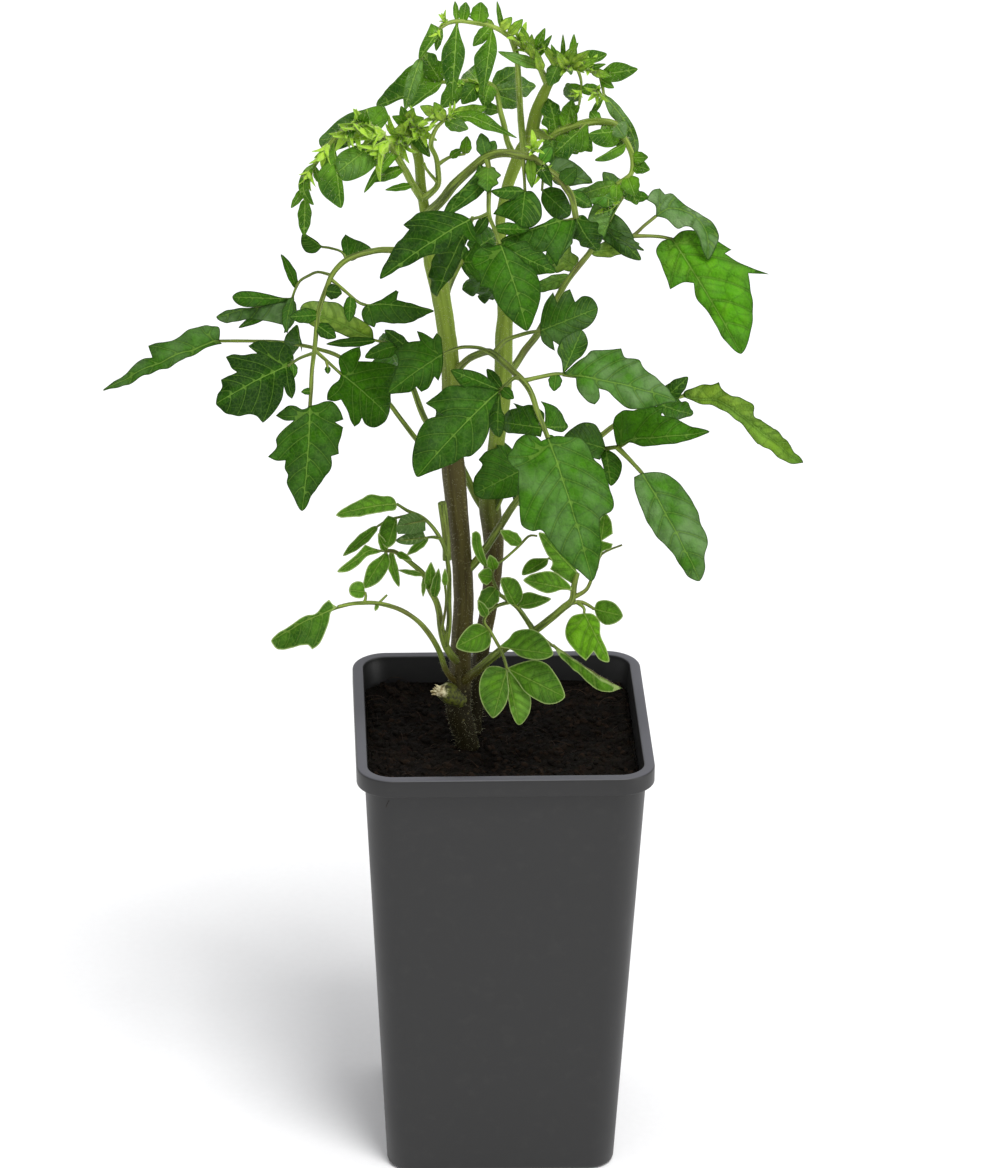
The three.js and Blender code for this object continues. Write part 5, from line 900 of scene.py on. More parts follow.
def side_veins(rib, margin, side, outline, gap):
    """Veins from the midrib to the teeth of one side, with more where there are wide gaps between them."""
    lengths = np.concatenate([[0], np.cumsum(np.linalg.norm(np.diff(rib, axis=0), axis=1))])
    whole = lengths[-1]

    def on_rib(way):
        return np.array([np.interp(way, lengths, rib[:, 0]), np.interp(way, lengths, rib[:, 1])])

    def turned(way, angle):
        ahead = on_rib(min(way + 1, whole)) - on_rib(max(way - 1, 0))
        ahead /= np.linalg.norm(ahead)
        c, s = math.cos(angle), side * math.sin(angle)
        return np.array([c * ahead[0] - s * ahead[1], s * ahead[0] + c * ahead[1]])

    targets = []
    for tooth in teeth_of(margin, side):
        away = np.linalg.norm(rib - tooth, axis=1)
        nearest = int(away.argmin())
        way = lengths[nearest] - away[nearest] / math.tan(VEIN_LEAN)
        if away[nearest] > 1.5:
            targets.append((min(max(way, 0.04 * whole), 0.94 * whole), tooth))
    targets.sort(key=lambda target: target[0])
    ways = [0.0] + [way for way, _ in targets] + [0.93 * whole]
    for low, high in zip(ways, ways[1:]):
        extra = int((high - low) / gap)
        for i in range(extra):
            way = low + (high - low) * (i + 1) / (extra + 1)
            heading = turned(way, VEIN_LEAN * 0.95)
            reach = crossing(on_rib(way), heading, outline)
            if reach and reach > 2:
                targets.append((way, on_rib(way) + heading * reach))
    veins = []
    for way, target in targets:
        start = on_rib(way)
        reach = np.linalg.norm(target - start)
        end = start + (target - start) * (1 - min(0.1, 0.8 / reach))
        middle = start + turned(way, VEIN_LEAN * 1.25) * reach * 0.5
        share = np.linspace(0, 1, max(3, int(reach / 1.2)))[:, None]
        vein = (1 - share) ** 2 * start + 2 * share * (1 - share) * middle + share ** 2 * end
        within = inside(vein[1:], outline)
        veins.append(vein if within.all() else vein[:1 + int(within.argmin())])
    return [vein for vein in veins if len(vein) > 2]


def nearest_on_path(path, x, y):
    """The place on a picture path that lies nearest to a point of the picture, and how far off it is."""
    best = None
    for start, end in zip(path, path[1:]):
        leg = (end[0] - start[0], end[1] - start[1])
        share = ((x - start[0]) * leg[0] + (y - start[1]) * leg[1]) / (leg[0] ** 2 + leg[1] ** 2)
        share = min(max(share, 0), 1)
        place = [a + share * (b - a) for a, b in zip(start[:3], end[:3])]
        off = math.hypot(place[0] - x, place[1] - y)
        if best is None or off < best[0]:
            best = (off, place)
    return best


def start_on(paths, path):
    x, y = path[0][:2]
    return [min(nearest_on_path(other, x, y) for other in paths)[1]] + path[1:]


def leaflet_plane(base, tip, roll):
    """A leaflet's own axes: along its length, across it, and out of its face towards the picture."""
    along = (tip - base).normalized()
    towards = ((base + tip) / 2 - viewpoint).normalized()
    flat_across = along.cross(towards).normalized()
    flat_out = along.cross(flat_across)
    turn = math.radians(roll)
    across = flat_across * math.cos(turn) + flat_out * math.sin(turn)
    out = flat_out * math.cos(turn) - flat_across * math.sin(turn)
    return {"base": base, "along": along, "across": across, "out": out, "length": (tip - base).length}


def on_plane(plane, x, y):
    ray = sight_line(x, y)
    reach = (plane["base"] - viewpoint).dot(plane["out"]) / ray.dot(plane["out"])
    offset = viewpoint + ray * reach - plane["base"]
    return offset.dot(plane["along"]), offset.dot(plane["across"])


def oval_margin(length, width, side):
    """The margin of a plain leaflet. A wide one has a few blunt lobes."""
    lobes = 0.16 if width > 8 else 0.05
    points = [(0.0, 0.0)]
    for t in np.linspace(0.05, 0.95, 16):
        half = width / 2 * math.sin(math.pi * t ** 0.82) ** 0.65
        lobe = 1 + lobes * math.sin(2 * math.pi * 3 * t + 0.6 + 0.5 * side)
        points.append((t * length, side * half * lobe))
    return np.array(points + [(length, 0.0)])


def place_on(plane, flat, height):
    """Points of the leaflet's plane, raised by a height, as real ones."""
    axes = np.array([plane["along"], plane["across"], plane["out"]])
    return np.array(plane["base"]) + np.column_stack([flat, height]) @ axes


def blade(leaflet, paths, number):
    """A leaflet's blade as a part for joined, and its midrib as a path for rods."""
    foot, tip = places(leaflet["at"])
    base = seen(*min(nearest_on_path(path, *foot[:2]) for path in paths)[1])
    plane = leaflet_plane(base, seen(*tip), leaflet["roll"])
    length = plane["length"]
    step = next(step for longest, step in BLADE_STEPS if length >= longest)
    ends = [(0.0, 0.0)], [(length, 0.0)]
    rib_points = [on_plane(plane, *place) for place in places(leaflet.get("rib", ""))]
    rib = smooth_run(np.array(ends[0] + rib_points + ends[1]), step)
    if "wide" in leaflet:
        margins = [oval_margin(length, leaflet["wide"], side) for side in (1, -1)]
    else:
        margins = [
            np.array(ends[0] + [on_plane(plane, *place) for place in places(leaflet[side])] + ends[1])
            for side in ("left", "right")
        ]
    sides = [math.copysign(1, margin[:, 1].mean()) for margin in margins]
    smoothed = [smooth_margin(margin, step * 0.8, other) for margin, other in zip(margins, margins[::-1])]
    outline = np.vstack([smoothed[0][:-1], smoothed[1][:0:-1]])
    veins = []
    if length > 9 and np.ptp(outline[:, 1]) > 5:
        for margin, side in zip(margins, sides):
            veins += side_veins(rib, margin, side, outline, min(VEIN_GAP, length / 5))
    lines = [rib[1:-1]] + [vein[1:] for vein in veins]
    lines = [line for line in lines if len(line) > 1]
    flat, faces = filled(outline, lines, step)

    courses = [(rib, MIDRIB_HALF)] + [(vein, SIDE_VEIN_HALF) for vein in veins]
    bigness = min(length / LARGE, 1.1)
    vein_scale = 0.35 + 0.65 * bigness
    starts = np.vstack([line[:-1] for line, _ in courses])
    line_ends = np.vstack([line[1:] for line, _ in courses])
    widths = np.concatenate([
        np.interp(np.arange(len(line) - 1), [0, len(line) - 1], halves) for line, halves in courses
    ]) * vein_scale
    vein = (distances(flat, starts, line_ends) - widths).min(axis=1)
    from_rib = distances(flat, rib[:-1], rib[1:]).min(axis=1)
    midrib = from_rib - np.interp(flat[:, 0], [0, length], MIDRIB_HALF) * vein_scale
    rim = distances(flat, outline, np.roll(outline, -1, axis=0)).min(axis=1)

    t = np.clip(flat[:, 0] / length, 0, 1)
    height = leaflet["arch"] * 4 * t * (1 - t) + leaflet["fold"] * from_rib
    puffed = 1 - np.exp(-(np.maximum(vein, 0) / PUFF_REACH) ** 2)
    under = leaflet.get("under", False)
    facing = -1 if under else 1
    height += facing * QUILTING * bigness * puffed
    height -= facing * MIDRIB_SINK * bigness * np.exp(-(from_rib / 1.1) ** 2)
    phase = number * 1.7
    wave = np.sin(flat[:, 0] * 0.42 + phase) * np.cos(flat[:, 1] * 0.3 + 2 * phase)
    ripple = np.sin(flat[:, 0] * 0.9 + np.sign(flat[:, 1]) * 1.3 + phase)
    height += WAVES * bigness * wave + RIPPLES * bigness * ripple * np.exp(-(rim / 3.5) ** 2)
    height += CURL * bigness * np.exp(-(rim / 1.8) ** 2)
    height -= height[np.linalg.norm(flat, axis=1).argmin()]

    half = np.interp(rim, [0, 0.9], [RIM_THICKNESS / 2, BLADE_THICKNESS / 2])
    ridge = VEIN_RIDGE * bigness * np.clip(1 - vein / 0.45, 0, 1.6)
    upper = place_on(plane, flat, height + half + (ridge if under else 0))
    lower = place_on(plane, flat, height - half - (0 if under else ridge))
    count = len(flat)
    rim_faces = [(a, count + a, count + b, b) for a, b in open_edges(faces)]
    slots = [1 if under else 0] * len(faces) + [0 if under else 1] * len(faces) + [1] * len(rim_faces)
    course = np.column_stack([flat[:, 0] + PATTERN_SHIFT * number, flat[:, 1], np.zeros(count)])
    part = {
        "vertices": np.vstack([upper, lower]),
        "faces": faces.tolist() + (faces[:, ::-1] + count).tolist() + rim_faces,
        "slots": slots,
        "values": {
            "midrib": np.tile(midrib, 2), "vein": np.tile(vein, 2), "rim": np.tile(rim, 2),
            "course": np.tile(course, (2, 1)) * MM,
            "tone": np.tile(leaflet["tone"] + leaflet["fresh"] * (0.4 - t), 2),
            "bloom": np.full(2 * count, leaflet["bloom"]),
        },
    }
    share = rib[:, 0] / length
    nearest = [int(np.linalg.norm(flat - place, axis=1).argmin()) for place in rib]
    rib_radii = (0.75 * (1 - share) ** 0.8 + 0.12) * (0.3 + 0.6 * bigness)
    rib_height = height[nearest] - facing * (rib_radii + 0.05)
    keep = slice(0, None, 2) if len(rib) > 8 else slice(None)
    return part, (place_on(plane, rib, rib_height)[keep], rib_radii[keep])


def leaf_skin(name, dark, light, vein_tone, rim_tone, veined, gloss, passes, beyond="#9dbb40"):
    """Leaf tissue from dark to light by its tone, and yellow beyond, with painted shade in the creases along
    its pale veins and in loops between them, and a net of veinlets every 2 mm. Pale patches of 12 mm are a
    painted sheen, for the light that its fine hairs scatter. A share of the light passes through it,
    yellow-green."""
    skin, add = new_material(name)
    course = add("ShaderNodeAttribute", {}, attribute_name="course").outputs["Vector"]
    midrib, vein, rim, tone, bloom = (
        add("ShaderNodeAttribute", {}, attribute_name=value).outputs["Fac"]
        for value in ("midrib", "vein", "rim", "tone", "bloom")
    )
    mottle = add("ShaderNodeTexNoise", {"Vector": course, "Scale": 1 / (7 * MM), "Detail": 4})
    broad = add("ShaderNodeTexNoise", {"Vector": course, "Scale": 1 / (12 * MM), "Detail": 3})
    shift = add("ShaderNodeMath", {0: mottle, 1: 0.5}, operation="SUBTRACT")
    tone = add("ShaderNodeMath", {0: shift, 1: 0.7, 2: tone}, operation="MULTIPLY_ADD")
    net = add("ShaderNodeTexVoronoi", {"Vector": course, "Scale": 1 / (2 * MM)}, feature="DISTANCE_TO_EDGE")
    loops = add("ShaderNodeTexVoronoi", {
        "Vector": course, "Scale": 1 / (6.5 * MM), "Randomness": 0.8,
    }, feature="DISTANCE_TO_EDGE")
    patchy = add("ShaderNodeMapRange", {"Value": broad, 1: 0.38, 2: 0.64, 3: 0.15, 4: 1.0})
    # Painted sheen: pale patches stand for light that the blade's fine hairs scatter.
    sheen_patches = add("ShaderNodeMath", {0: patchy, 1: bloom}, operation="MULTIPLY")
    # Painted shade darkens the creases along the veins and the loops between them.
    base = layered(
        add, colour(dark), (tone, 0.0, 1.0, 1.0, light), (tone, 1.0, 2.0, 1.0, beyond),
        (rim, 4.5, 0.5, 0.32, dark), (loops, 0.09, 0.0, 0.3, dark), (net, 0.1, 0.0, 0.12, vein_tone),
        (midrib, 2.6, 0.0, 0.2, light), (sheen_patches, 0.0, 1.0, 1.0, "#8aa874"), (vein, 0.9, 0.15, 0.45, dark),
        (vein, 0.14, 0.0, veined, vein_tone), (midrib, 0.12, -0.08, 0.6, vein_tone),
        (rim, 0.55, 0.15, 0.75, rim_tone),
    )
    grain = add("ShaderNodeTexNoise", {"Vector": course, "Scale": 1 / (0.7 * MM), "Detail": 2})
    cells = add("ShaderNodeMath", {0: net, 1: 1.6, 2: grain}, operation="MULTIPLY_ADD")
    valleys = add("ShaderNodeMapRange", {"Value": loops, 1: 0.0, 2: 0.25, 3: -1.4, 4: 0.0})
    cells = add("ShaderNodeMath", {0: cells, 1: valleys})
    puffs = add("ShaderNodeBump", {"Height": cells, "Distance": 0.32 * MM, "Strength": 0.9})
    satin = add("ShaderNodeMapRange", {"Value": mottle, 1: 0.3, 2: 0.7, 3: gloss - 0.05, 4: gloss + 0.08})
    surface = add("ShaderNodeBsdfPrincipled", {
        "Base Color": base, "Roughness": satin, "Normal": puffs, "Specular IOR Level": 0.08,
    })
    through = add("ShaderNodeMix", {0: 0.45, 6: base, 7: colour("#b0e010")}, data_type="RGBA")
    glow = add("ShaderNodeBsdfTranslucent", {"Color": through, "Normal": puffs})
    whole = add("ShaderNodeMixShader", {0: passes, 1: surface, 2: glow})
    add("ShaderNodeOutputMaterial", {"Surface": whole})
    return skin


leaf_upper = leaf_skin("tomato_leaf_upper_side", "#0e3200", "#5aa60c", "#88b446", "#1e3a0c", 0.38, 0.42, 0.3)
leaf_lower = leaf_skin("tomato_leaf_underside", "#4a6a34", "#86a858", "#a9c07c", "#5c7a44", 0.6, 0.62, 0.35)


def stalk_skin(name, dark, light, tinge):
    """Green stalks with a share of brown tinge in patches, streaked lengthwise every 0.8 mm, and brown like
    the stem's foot where they leave it."""
    skin, add = new_material(name)
    course = add("ShaderNodeAttribute", {}, attribute_name="course").outputs["Vector"]
    place = add("ShaderNodeTexCoord").outputs["Object"]
    drawn_out = add("ShaderNodeVectorMath", {0: course, 1: (1, 1, 0.07)}, operation="MULTIPLY")
    streaks = add("ShaderNodeTexNoise", {"Vector": drawn_out, "Scale": 1 / (0.8 * MM), "Detail": 2})
    cloud = add("ShaderNodeTexNoise", {"Vector": place, "Scale": 1 / (18 * MM), "Detail": 3})
    height = add("ShaderNodeSeparateXYZ", {"Vector": place}).outputs["Z"]
    green_from, brown = (level * MM for level in WOODY_STALKS)
    tone = layered(
        add, colour(dark), (streaks, 0.38, 0.62, 1.0, light), (cloud, 0.5, 0.68, tinge, "#5a4c2c"),
        (height, green_from, brown, 0.9, "#443a14"),
    )
    ridged = add("ShaderNodeBump", {"Height": streaks, "Distance": 0.2 * MM, "Strength": 0.6})
    surface = add("ShaderNodeBsdfPrincipled", {
        "Base Color": tone, "Roughness": 0.5, "Normal": ridged, "Specular IOR Level": 0.25,
    })
    add("ShaderNodeOutputMaterial", {"Surface": surface})
    return skin


stalk_green = stalk_skin("leaf_stalk_skin", "#47591a", "#7c9136", 0.45)
SOFT_SHAPE = {"roll": 0, "arch": 1, "fold": -0.2}  # degrees, mm, and rise per mm away from the midrib


def grow_leaf(leaf, skins, stalk, tone, hairs, seed, blade_hairs=None, fresh=0.2):
    """The pieces of one leaf. Its lobed leaflets have a place for base and tip and an outline on each side.
    The plain ones have that place and a width in mm, and may go on with their shape, tone and painted sheen.
    "fresh" is how much lighter a leaflet's foot is than its tip."""
    carriers = [places(row["path"]) for row in STEMS if row["name"] == leaf["carrier"]]
    path = places(leaf["stalk"])
    paths = [start_on(carriers, path) if carriers else path]
    thick = [leaf["thick"]]
    for text, *ends in leaf.get("branches", []):
        paths.append(start_on(paths, places(text)))
        thick.append(ends)
    stalks = []
    for path, (foot, tip) in zip(paths, thick):
        radii = np.linspace(foot, tip, len(path)) / 2
        radii[0] *= 1.2
        stalks.append(([seen(*place[:3]) for place in path], radii))
    common = {**SOFT_SHAPE, "tone": tone, "bloom": 0.1, "fresh": fresh}
    rows = [{**common, **row} for row in leaf.get("lobed", [])]
    for at, wide, *more in leaf.get("plain", []):
        rows.append({**common, "at": at, "wide": wide, **dict(zip(common, more))})
    blades = []
    for number, row in enumerate(rows):
        row["tone"] += 0.22 * math.sin(2.4 * number + seed) * ("wide" in row)
        part, midrib = blade(row, paths, seed * 31 + number)
        blades.append(part)
        stalks.append(midrib)
    blades = joined(leaf["name"] + "_blades", blades, skins)
    finish_piece(blades, leaf["name"], SOFT_EDGE)
    if blade_hairs:
        add_hairs(blades, leaf["name"], blade_hairs, seed)
    piece = rods(leaf["name"] + "_stalks", stalks, stalk, *STALK_ROD)
    finish_piece(piece, leaf["name"], SOFT_EDGE)
    add_hairs(piece, leaf["name"], hairs, seed)


GROWN_LEAVES = [
  dict(name="leaf_far_left", carrier="stem_left", thick=(2.4, 1.3),
   stalk="453,476 436,459,-1 418,441,2 400,418,6 388,402,9 365,377,13 340,357,16 318,349,18 300,345,19 "
     "280,342,19 250,341,17 219,341,13",
   lobed=[
    dict(at="219,341 103,391,-4", roll=20, arch=4, tone=0.3, bloom=0.25,
     left="220,335 219,328 212,325 200,326 190,332 180,339 170,344 160,346 148,349 150,356 152,361 "
       "142,363 132,371 120,380 110,386",
     right="222,344 212,348 200,354 185,363 170,371 155,376 140,382 125,388 112,391"),
    dict(at="300,345 297,325,12", tone=0.2, left="294,357 288,350 284,341 288,332",
     right="302,353 302,343 300,335"),
   ]),
  dict(name="leaf_left_arch", carrier="stem_left", thick=(2.9, 1.6),
   stalk="428,250 413,249,-9 395,250,-12 380,250,-14 365,253,-15 350,258,-16 340,265,-17 332,275,-18 "
     "327,287,-18 322,300,-19 318,315,-20 315,345,-22 312,370,-24 311,390,-26 310,406,-28",
   branches=[
    ("314,353 300,358,-25 288,366,-27", 1.4, 1.2), ("315,350 328,362,-20 341,374,-18", 1.4, 1.2),
    ("331,275 318,272,-14 308,276,-11 300,281,-8 295,290,-5 292,299,-3", 1.2, 1),
    ("331,279 345,291,-19 358,302,-21 366,305,-22", 1.4, 1.2),
    ("347,261 342,252,-14 330,248,-12 322,247,-11", 1.2, 1), ("326,360 328,368,-22", 1, 0.9),
   ],
   lobed=[
    dict(at="310,406 302,511,-40", roll=-8, arch=4, fold=-0.15, tone=0.22, bloom=0.1,
     left="302,409 296,406 288,406 281,411 276,416 284,420 293,420 283,429 275,439 276,446 267,456 "
       "276,460 284,459 284,468 287,474 286,482 292,495",
     right="316,404 324,401 333,402 340,410 343,419 335,422 343,427 341,434 338,444 338,453 330,455 "
       "331,465 323,477 312,494"),
    dict(at="288,366 216,404,-44", roll=10, arch=4, tone=-0.12, bloom=0.05,
     left="294,360 292,352 285,342 270,341 258,341 248,346 256,355 243,357 232,356 225,358 230,370 "
       "235,375 220,381 221,389 217,395",
     right="294,380 295,392 292,399 286,396 283,388 280,402 275,411 268,419 262,424 250,416 238,417 "
       "226,414"),
    dict(at="341,374 388,417,-16", roll=-10, arch=4, fold=-0.15, tone=0.28, bloom=0.0,
     left="339,362 341,356 352,349 361,347 361,355 358,361 370,361 388,363 396,366 396,376 390,384 "
       "388,393 389,406",
     right="338,380 332,385 328,392 327,400 333,401 339,399 343,408 348,420 352,426 356,423 359,417 "
       "363,423 370,427 378,426 384,422"),
    dict(at="366,305 434,311,-32", roll=-15, arch=3, fold=-0.15, tone=0.2,
     left="372,304 383,302 390,297 398,292 401,294 399,302 412,305 422,308",
     right="362,310 363,320 370,326 375,328 377,324 385,324 400,326 412,324 422,319 430,314"),
    dict(at="346,260 371,249,-10", left="343,250 342,241 346,234 352,238 362,242", right="352,261 363,254"),
    dict(at="322,247 303,233,-8", left="315,253 306,252 301,243", right="318,242 309,236"),
    dict(at="290,299 232,297,2", tone=0.45, left="280,303 262,306 245,307 236,303",
     right="280,297 268,294 250,291 238,292"),
    dict(at="293,300 217,317,8", roll=15, tone=0.2, bloom=0.7, left="283,325 270,322 250,320 225,323",
     right="280,302 262,307 240,309 226,311"),
   ],
   plain=[
    ("293,297 287,333,-12", 5, 30, 1, 0.3, 0.3, 0.4), ("292,301 284,333,-8", 5, -40, 1, 0.3, 0.2, 0.5),
    ("275,318 238,328,4", 4.5, 0, 1, -0.2, 0.4), ("296,288 281,254,-4", 4, 20, 1, 0.2),
    ("326,291 342,293,-26", 6, 0, 0.5), ("350,297 349,322,-26", 5, 0, 0.5), ("318,315 289,317,-26", 6),
    ("317,325 336,338,-24", 6), ("292,362 294,378,-30", 3.6, 0, 0.5), ("328,366 328,374,-24", 2.4, 0, 0, 0),
    ("311,391 301,392,-29", 2.8, 0, 0.5, 0),
   ]),
  dict(name="leaf_left_pale", carrier="stem_left", thick=(2.2, 1.2),
   stalk="449,352 430,353,8 415,351,18 400,346,27 386,343,34 374,340,40",
   lobed=[
    dict(at="374,340 300,308,52", roll=10, arch=3, fold=-0.15, tone=2.4, bloom=0.3,
     left="365,343 350,339 335,333 318,330 305,320",
     right="372,329 360,320 350,315 340,305 320,302 308,302"),
   ],
   plain=[
    ("376,341 326,344,38", 4, 0, 0, 0.2), ("400,341 365,357,20", 7, 20, 1, -0.3),
    ("398,341 380,337,46", 5, 0, 2), ("414,337 385,330,34", 5), ("386,342 398,366,56", 15, 0, 2),
   ]),
  dict(name="leaf_front_high", carrier="stem_left", thick=(4.4, 2.6),
   stalk="426,216 434,208,-9 443,199,-14 452,187,-17 461,178,-19 470,170,-21 478,163,-22 486,157,-23 "
     "495,154,-24 505,153,-25 515,154,-26 532,158,-27 540,164,-28 550,172,-29 560,180,-30 566,188,-31 "
     "572,198,-32 576,218,-33",
   branches=[
    ("486,157 489,170,-28 489,190,-35 489,214,-42 494,228,-45 500,244,-48", 2.2, 1.5),
    ("489,213 480,217,-43 471,219,-44", 1.5, 1.3), ("523,156 524,172,-30 525,191,-34", 1.5, 1.2),
    ("546,168 543,180,-26 542,190,-24", 1.2, 1),
   ],
   lobed=[
    dict(at="471,219 380,279,-58", roll=12, arch=4, fold=-0.15, tone=0.1, bloom=0.05,
     left="450,213 435,212 420,214 410,221 403,227 409,232 402,240 395,248 388,260 382,270",
     right="476,232 477,242 470,243 462,237 450,249 440,256 431,258 420,262 410,267 400,270 390,276"),
    dict(at="472,220 436,297,-26", roll=10, arch=3, tone=0.1,
     left="452,232 438,250 433,262 432,280 433,290", right="470,236 465,250 458,270 450,279 442,288"),
    dict(at="479,163 443,216,-38", arch=3, fold=-0.15, rib="480,184 463,203",
     left="475,173 468,182 458,193 450,200 445,208",
     right="489,174 490,182 487,188 475,201 460,210 450,215"),
    dict(at="500,244 527,331,-62", roll=-8, arch=4, tone=0.35,
     left="490,247 480,247 472,256 473,267 479,275 479,287 490,290 493,298 500,310 510,320 520,328",
     right="515,254 524,263 533,270 538,279 540,290 539,302 536,312 531,325"),
    dict(at="576,218 500,241,-40", roll=10, arch=4,
     left="572,236 560,258 556,268 545,253 533,256 520,255 509,250",
     right="565,222 553,220 543,225 530,230 515,234"),
    dict(at="542,190 570,216,-18", fold=-0.25, left="552,187 562,190 567,198 571,208",
     right="542,203 550,215 560,222"),
    dict(at="546,168 593,183,-18", tone=0.1, bloom=0.5, left="556,158 570,160 582,169",
     right="556,184 568,186 580,184"),
    dict(at="525,191 491,191,-42", left="515,199 503,199 496,196", right="518,187 510,186 500,188"),
    dict(at="525,191 521,227,-44", arch=2, left="514,199 505,203 498,208 493,214 503,217 512,221",
     right="532,191 537,197 541,205 541,219 532,227"),
   ],
   plain=[
    ("489,214 474,236,-38", 4.5), ("494,228 530,229,-42", 5, 10), ("538,163 552,187,-36", 5, 0, 1, 0.2),
    ("530,158 532,188,-36", 4.5, 0, 1, 0.2, 1.6), ("489,166 487,192,-38", 9, 0, 1, -0.1, 1.2, 0.3),
    ("486,157 481,133,-20", 6, 0, 1, -0.2, 0.8, 0.4), ("486,157 495,141,-18", 5, 0, 1, -0.2, 0.9, 0.3),
    ("540,164 552,146,-24", 5, 0, 1, -0.2, 1.0, 0.3), ("562,182 577,168,-38", 6.5, 0, 1, -0.1, 0.7, 0.3),
    ("568,192 592,207,-24", 6), ("576,216 598,250,-26", 11, 20, 2, -0.3),
    ("506,246 556,272,-52", 10, 10, 2, -0.25, 0.15), ("588,238 545,268,-20", 8, 20, 1, -0.3, 0.9, 0.5),
   ]),
  dict(name="leaf_front_low", carrier="stem_left", thick=(3.2, 1.9),
   stalk="451,376 461,366,-8 470,358,-12 485,352,-17 492,353,-21 503,362,-28 515,373,-34 525,383,-38 "
     "532,395,-42 537,410,-46 543,425,-50 548,438,-53",
   branches=[
    ("490,353 480,348,-20 465,347,-22 455,349,-24 443,354,-26", 1.8, 1.3),
    ("493,354 505,341,-19 520,335,-16 532,332,-14 540,331,-13", 1.8, 1.3),
    ("520,378 514,378,-37 508,383,-40 500,390,-43", 1.9, 1.4),
    ("524,380 540,377,-36 555,374,-35 563,374,-34", 1.8, 1.4),
   ],
   lobed=[
    dict(at="548,438 592,581,-78", roll=-6, arch=7, tone=0.48, bloom=0.3,
     left="541,441 535,436 526,434 517,440 512,449 507,457 513,468 518,471 517,485 518,503 521,526 "
       "532,532 539,531 557,552 575,569",
     right="556,436 567,437 578,437 587,445 593,459 602,468 608,488 613,506 610,512 599,519 600,545 "
       "598,562"),
    dict(at="443,354 388,393,-36", roll=8, arch=3,
     left="442,345 441,337 437,332 433,338 422,331 417,330 420,341 405,344 394,351 398,362 395,372 391,382",
     right="443,364 441,374 438,382 434,378 428,389 421,393 416,388 410,393 399,394"),
    dict(at="540,331 598,308,-10", arch=3, fold=-0.15, tone=0.25, bloom=0.3,
     left="541,317 545,303 553,292 557,303 564,292 570,289 575,302 583,296 592,298",
     right="542,341 548,347 555,351 553,341 560,346 562,340 575,333 588,327 595,319"),
    dict(at="500,390 417,477,-66", roll=8, arch=6, tone=0.22,
     left="488,390 470,389 455,388 445,391 435,398 425,405 432,411 442,418 428,422 420,430 415,442 "
       "412,458 413,470",
     right="495,404 488,420 489,430 486,440 480,451 470,459 463,461 452,466 440,471 428,475"),
    dict(at="499,389 451,370,-44", arch=2, left="485,391 470,390 460,385 454,377",
     right="490,380 480,373 465,369"),
    dict(at="499,391 499,437,-40", roll=15, arch=2, left="493,404 490,418 492,430",
     right="503,405 506,416 504,430"),
    dict(at="563,374 677,401,-36", roll=-14, arch=5, tone=0.5, bloom=0.6,
     left="577,362 585,357 591,351 601,352 620,350 623,358 638,362 641,369 650,376 661,385 670,394",
     right="575,378 576,390 587,404 593,407 597,402 597,391 606,395 614,402 628,411 635,412 650,409 "
       "667,404"),
    dict(at="563,373 582,330,-26", arch=2, fold=-0.15, tone=0.25, bloom=0.3,
     left="561,360 557,352 561,341 568,335", right="575,362 583,355 588,343"),
    dict(at="545,428 500,422,-32", arch=2, tone=0.25, left="541,437 530,435 518,434 506,432",
     right="542,412 533,405 524,406 514,403 517,408 507,412"),
    dict(at="544,427 568,427,-40", left="546,409 543,401 553,405 562,413 565,421", right="553,431 562,432"),
   ],
   plain=[
    ("501,388 514,399,-48", 4.6, 0, 0.5, -0.1), ("501,388 487,369,-36", 4, 0, 1, 0.3),
    ("556,374 554,391,-40", 5.4, 0, 0.5, -0.1),
   ]),
  dict(name="leaf_right_low", carrier="stem_left", thick=(3.4, 1.6),
   stalk="464,574 478,559,-6 497,531,-12 517,501,-14 540,482,-14 560,465,-13 575,454,-12 590,444,-10 "
     "602,435,-8 615,425,-6 640,410,-2 662,401,3 683,396,7",
   branches=[
    ("573,456 590,453,-17 604,449,-21 617,447,-25", 2, 1.7), ("617,447 630,460,-28 642,473,-31", 1.9, 1.5),
   ],
   lobed=[
    dict(at="683,396 803,463,6", roll=25, arch=3, tone=1.7, bloom=0.15, rib="720,398 750,418 780,443",
     left="684,392 690,387 699,384 708,384 719,379 723,387 740,394 754,402 754,410 765,419 777,427 793,446",
     right="695,399 714,403 728,408 742,420 756,436 770,446 784,457"),
    dict(at="617,447 710,432,-34", roll=-12, arch=4, tone=0.5, bloom=0.05, rib="635,441 665,439 690,436",
     left="614,432 613,421 621,411 636,411 655,408 665,408 664,417 676,419 692,427",
     right="632,444 645,448 662,447 680,445 695,440"),
    dict(at="642,473 700,581,-48", roll=-8, arch=5, tone=0.46, bloom=0.55,
     left="634,477 634,491 640,508 647,525 657,539 668,550 678,564 688,577",
     right="655,472 665,474 678,483 688,497 696,511 701,527 707,542 704,553 704,570"),
    dict(at="606,449 611,486,-30", arch=2, left="601,456 603,466 606,478", right="616,455 622,464 619,478"),
    dict(at="606,449 564,436,-24", arch=3, tone=0.3, bloom=0.3, left="600,460 590,457 578,450 568,442",
     right="603,441 599,431 594,424 583,422 573,427"),
   ],
   plain=[
    ("662,401 688,377,2", 7), ("657,403 693,414,14", 9, 15), ("636,412 646,432,22", 10, 0, 2),
    ("540,482 552,512,8", 12, 0, 2),
   ]),
  dict(name="leaf_right_back", carrier="stem_right", thick=(3, 1.8),
   stalk="504,380 516,364,13 525,350,17 537,335,21 548,315,25 558,297,28 565,284,30 577,268,33 590,252,36 "
     "598,238,38 607,222,40 615,208,42 623,196,43",
   branches=[
    ("600,235 618,237,44 632,236,48 645,225,51 656,216,53", 1.7, 1.3),
    ("632,236 650,236,50 662,237,52 672,239,53", 1.6, 1.4),
   ],
   lobed=[
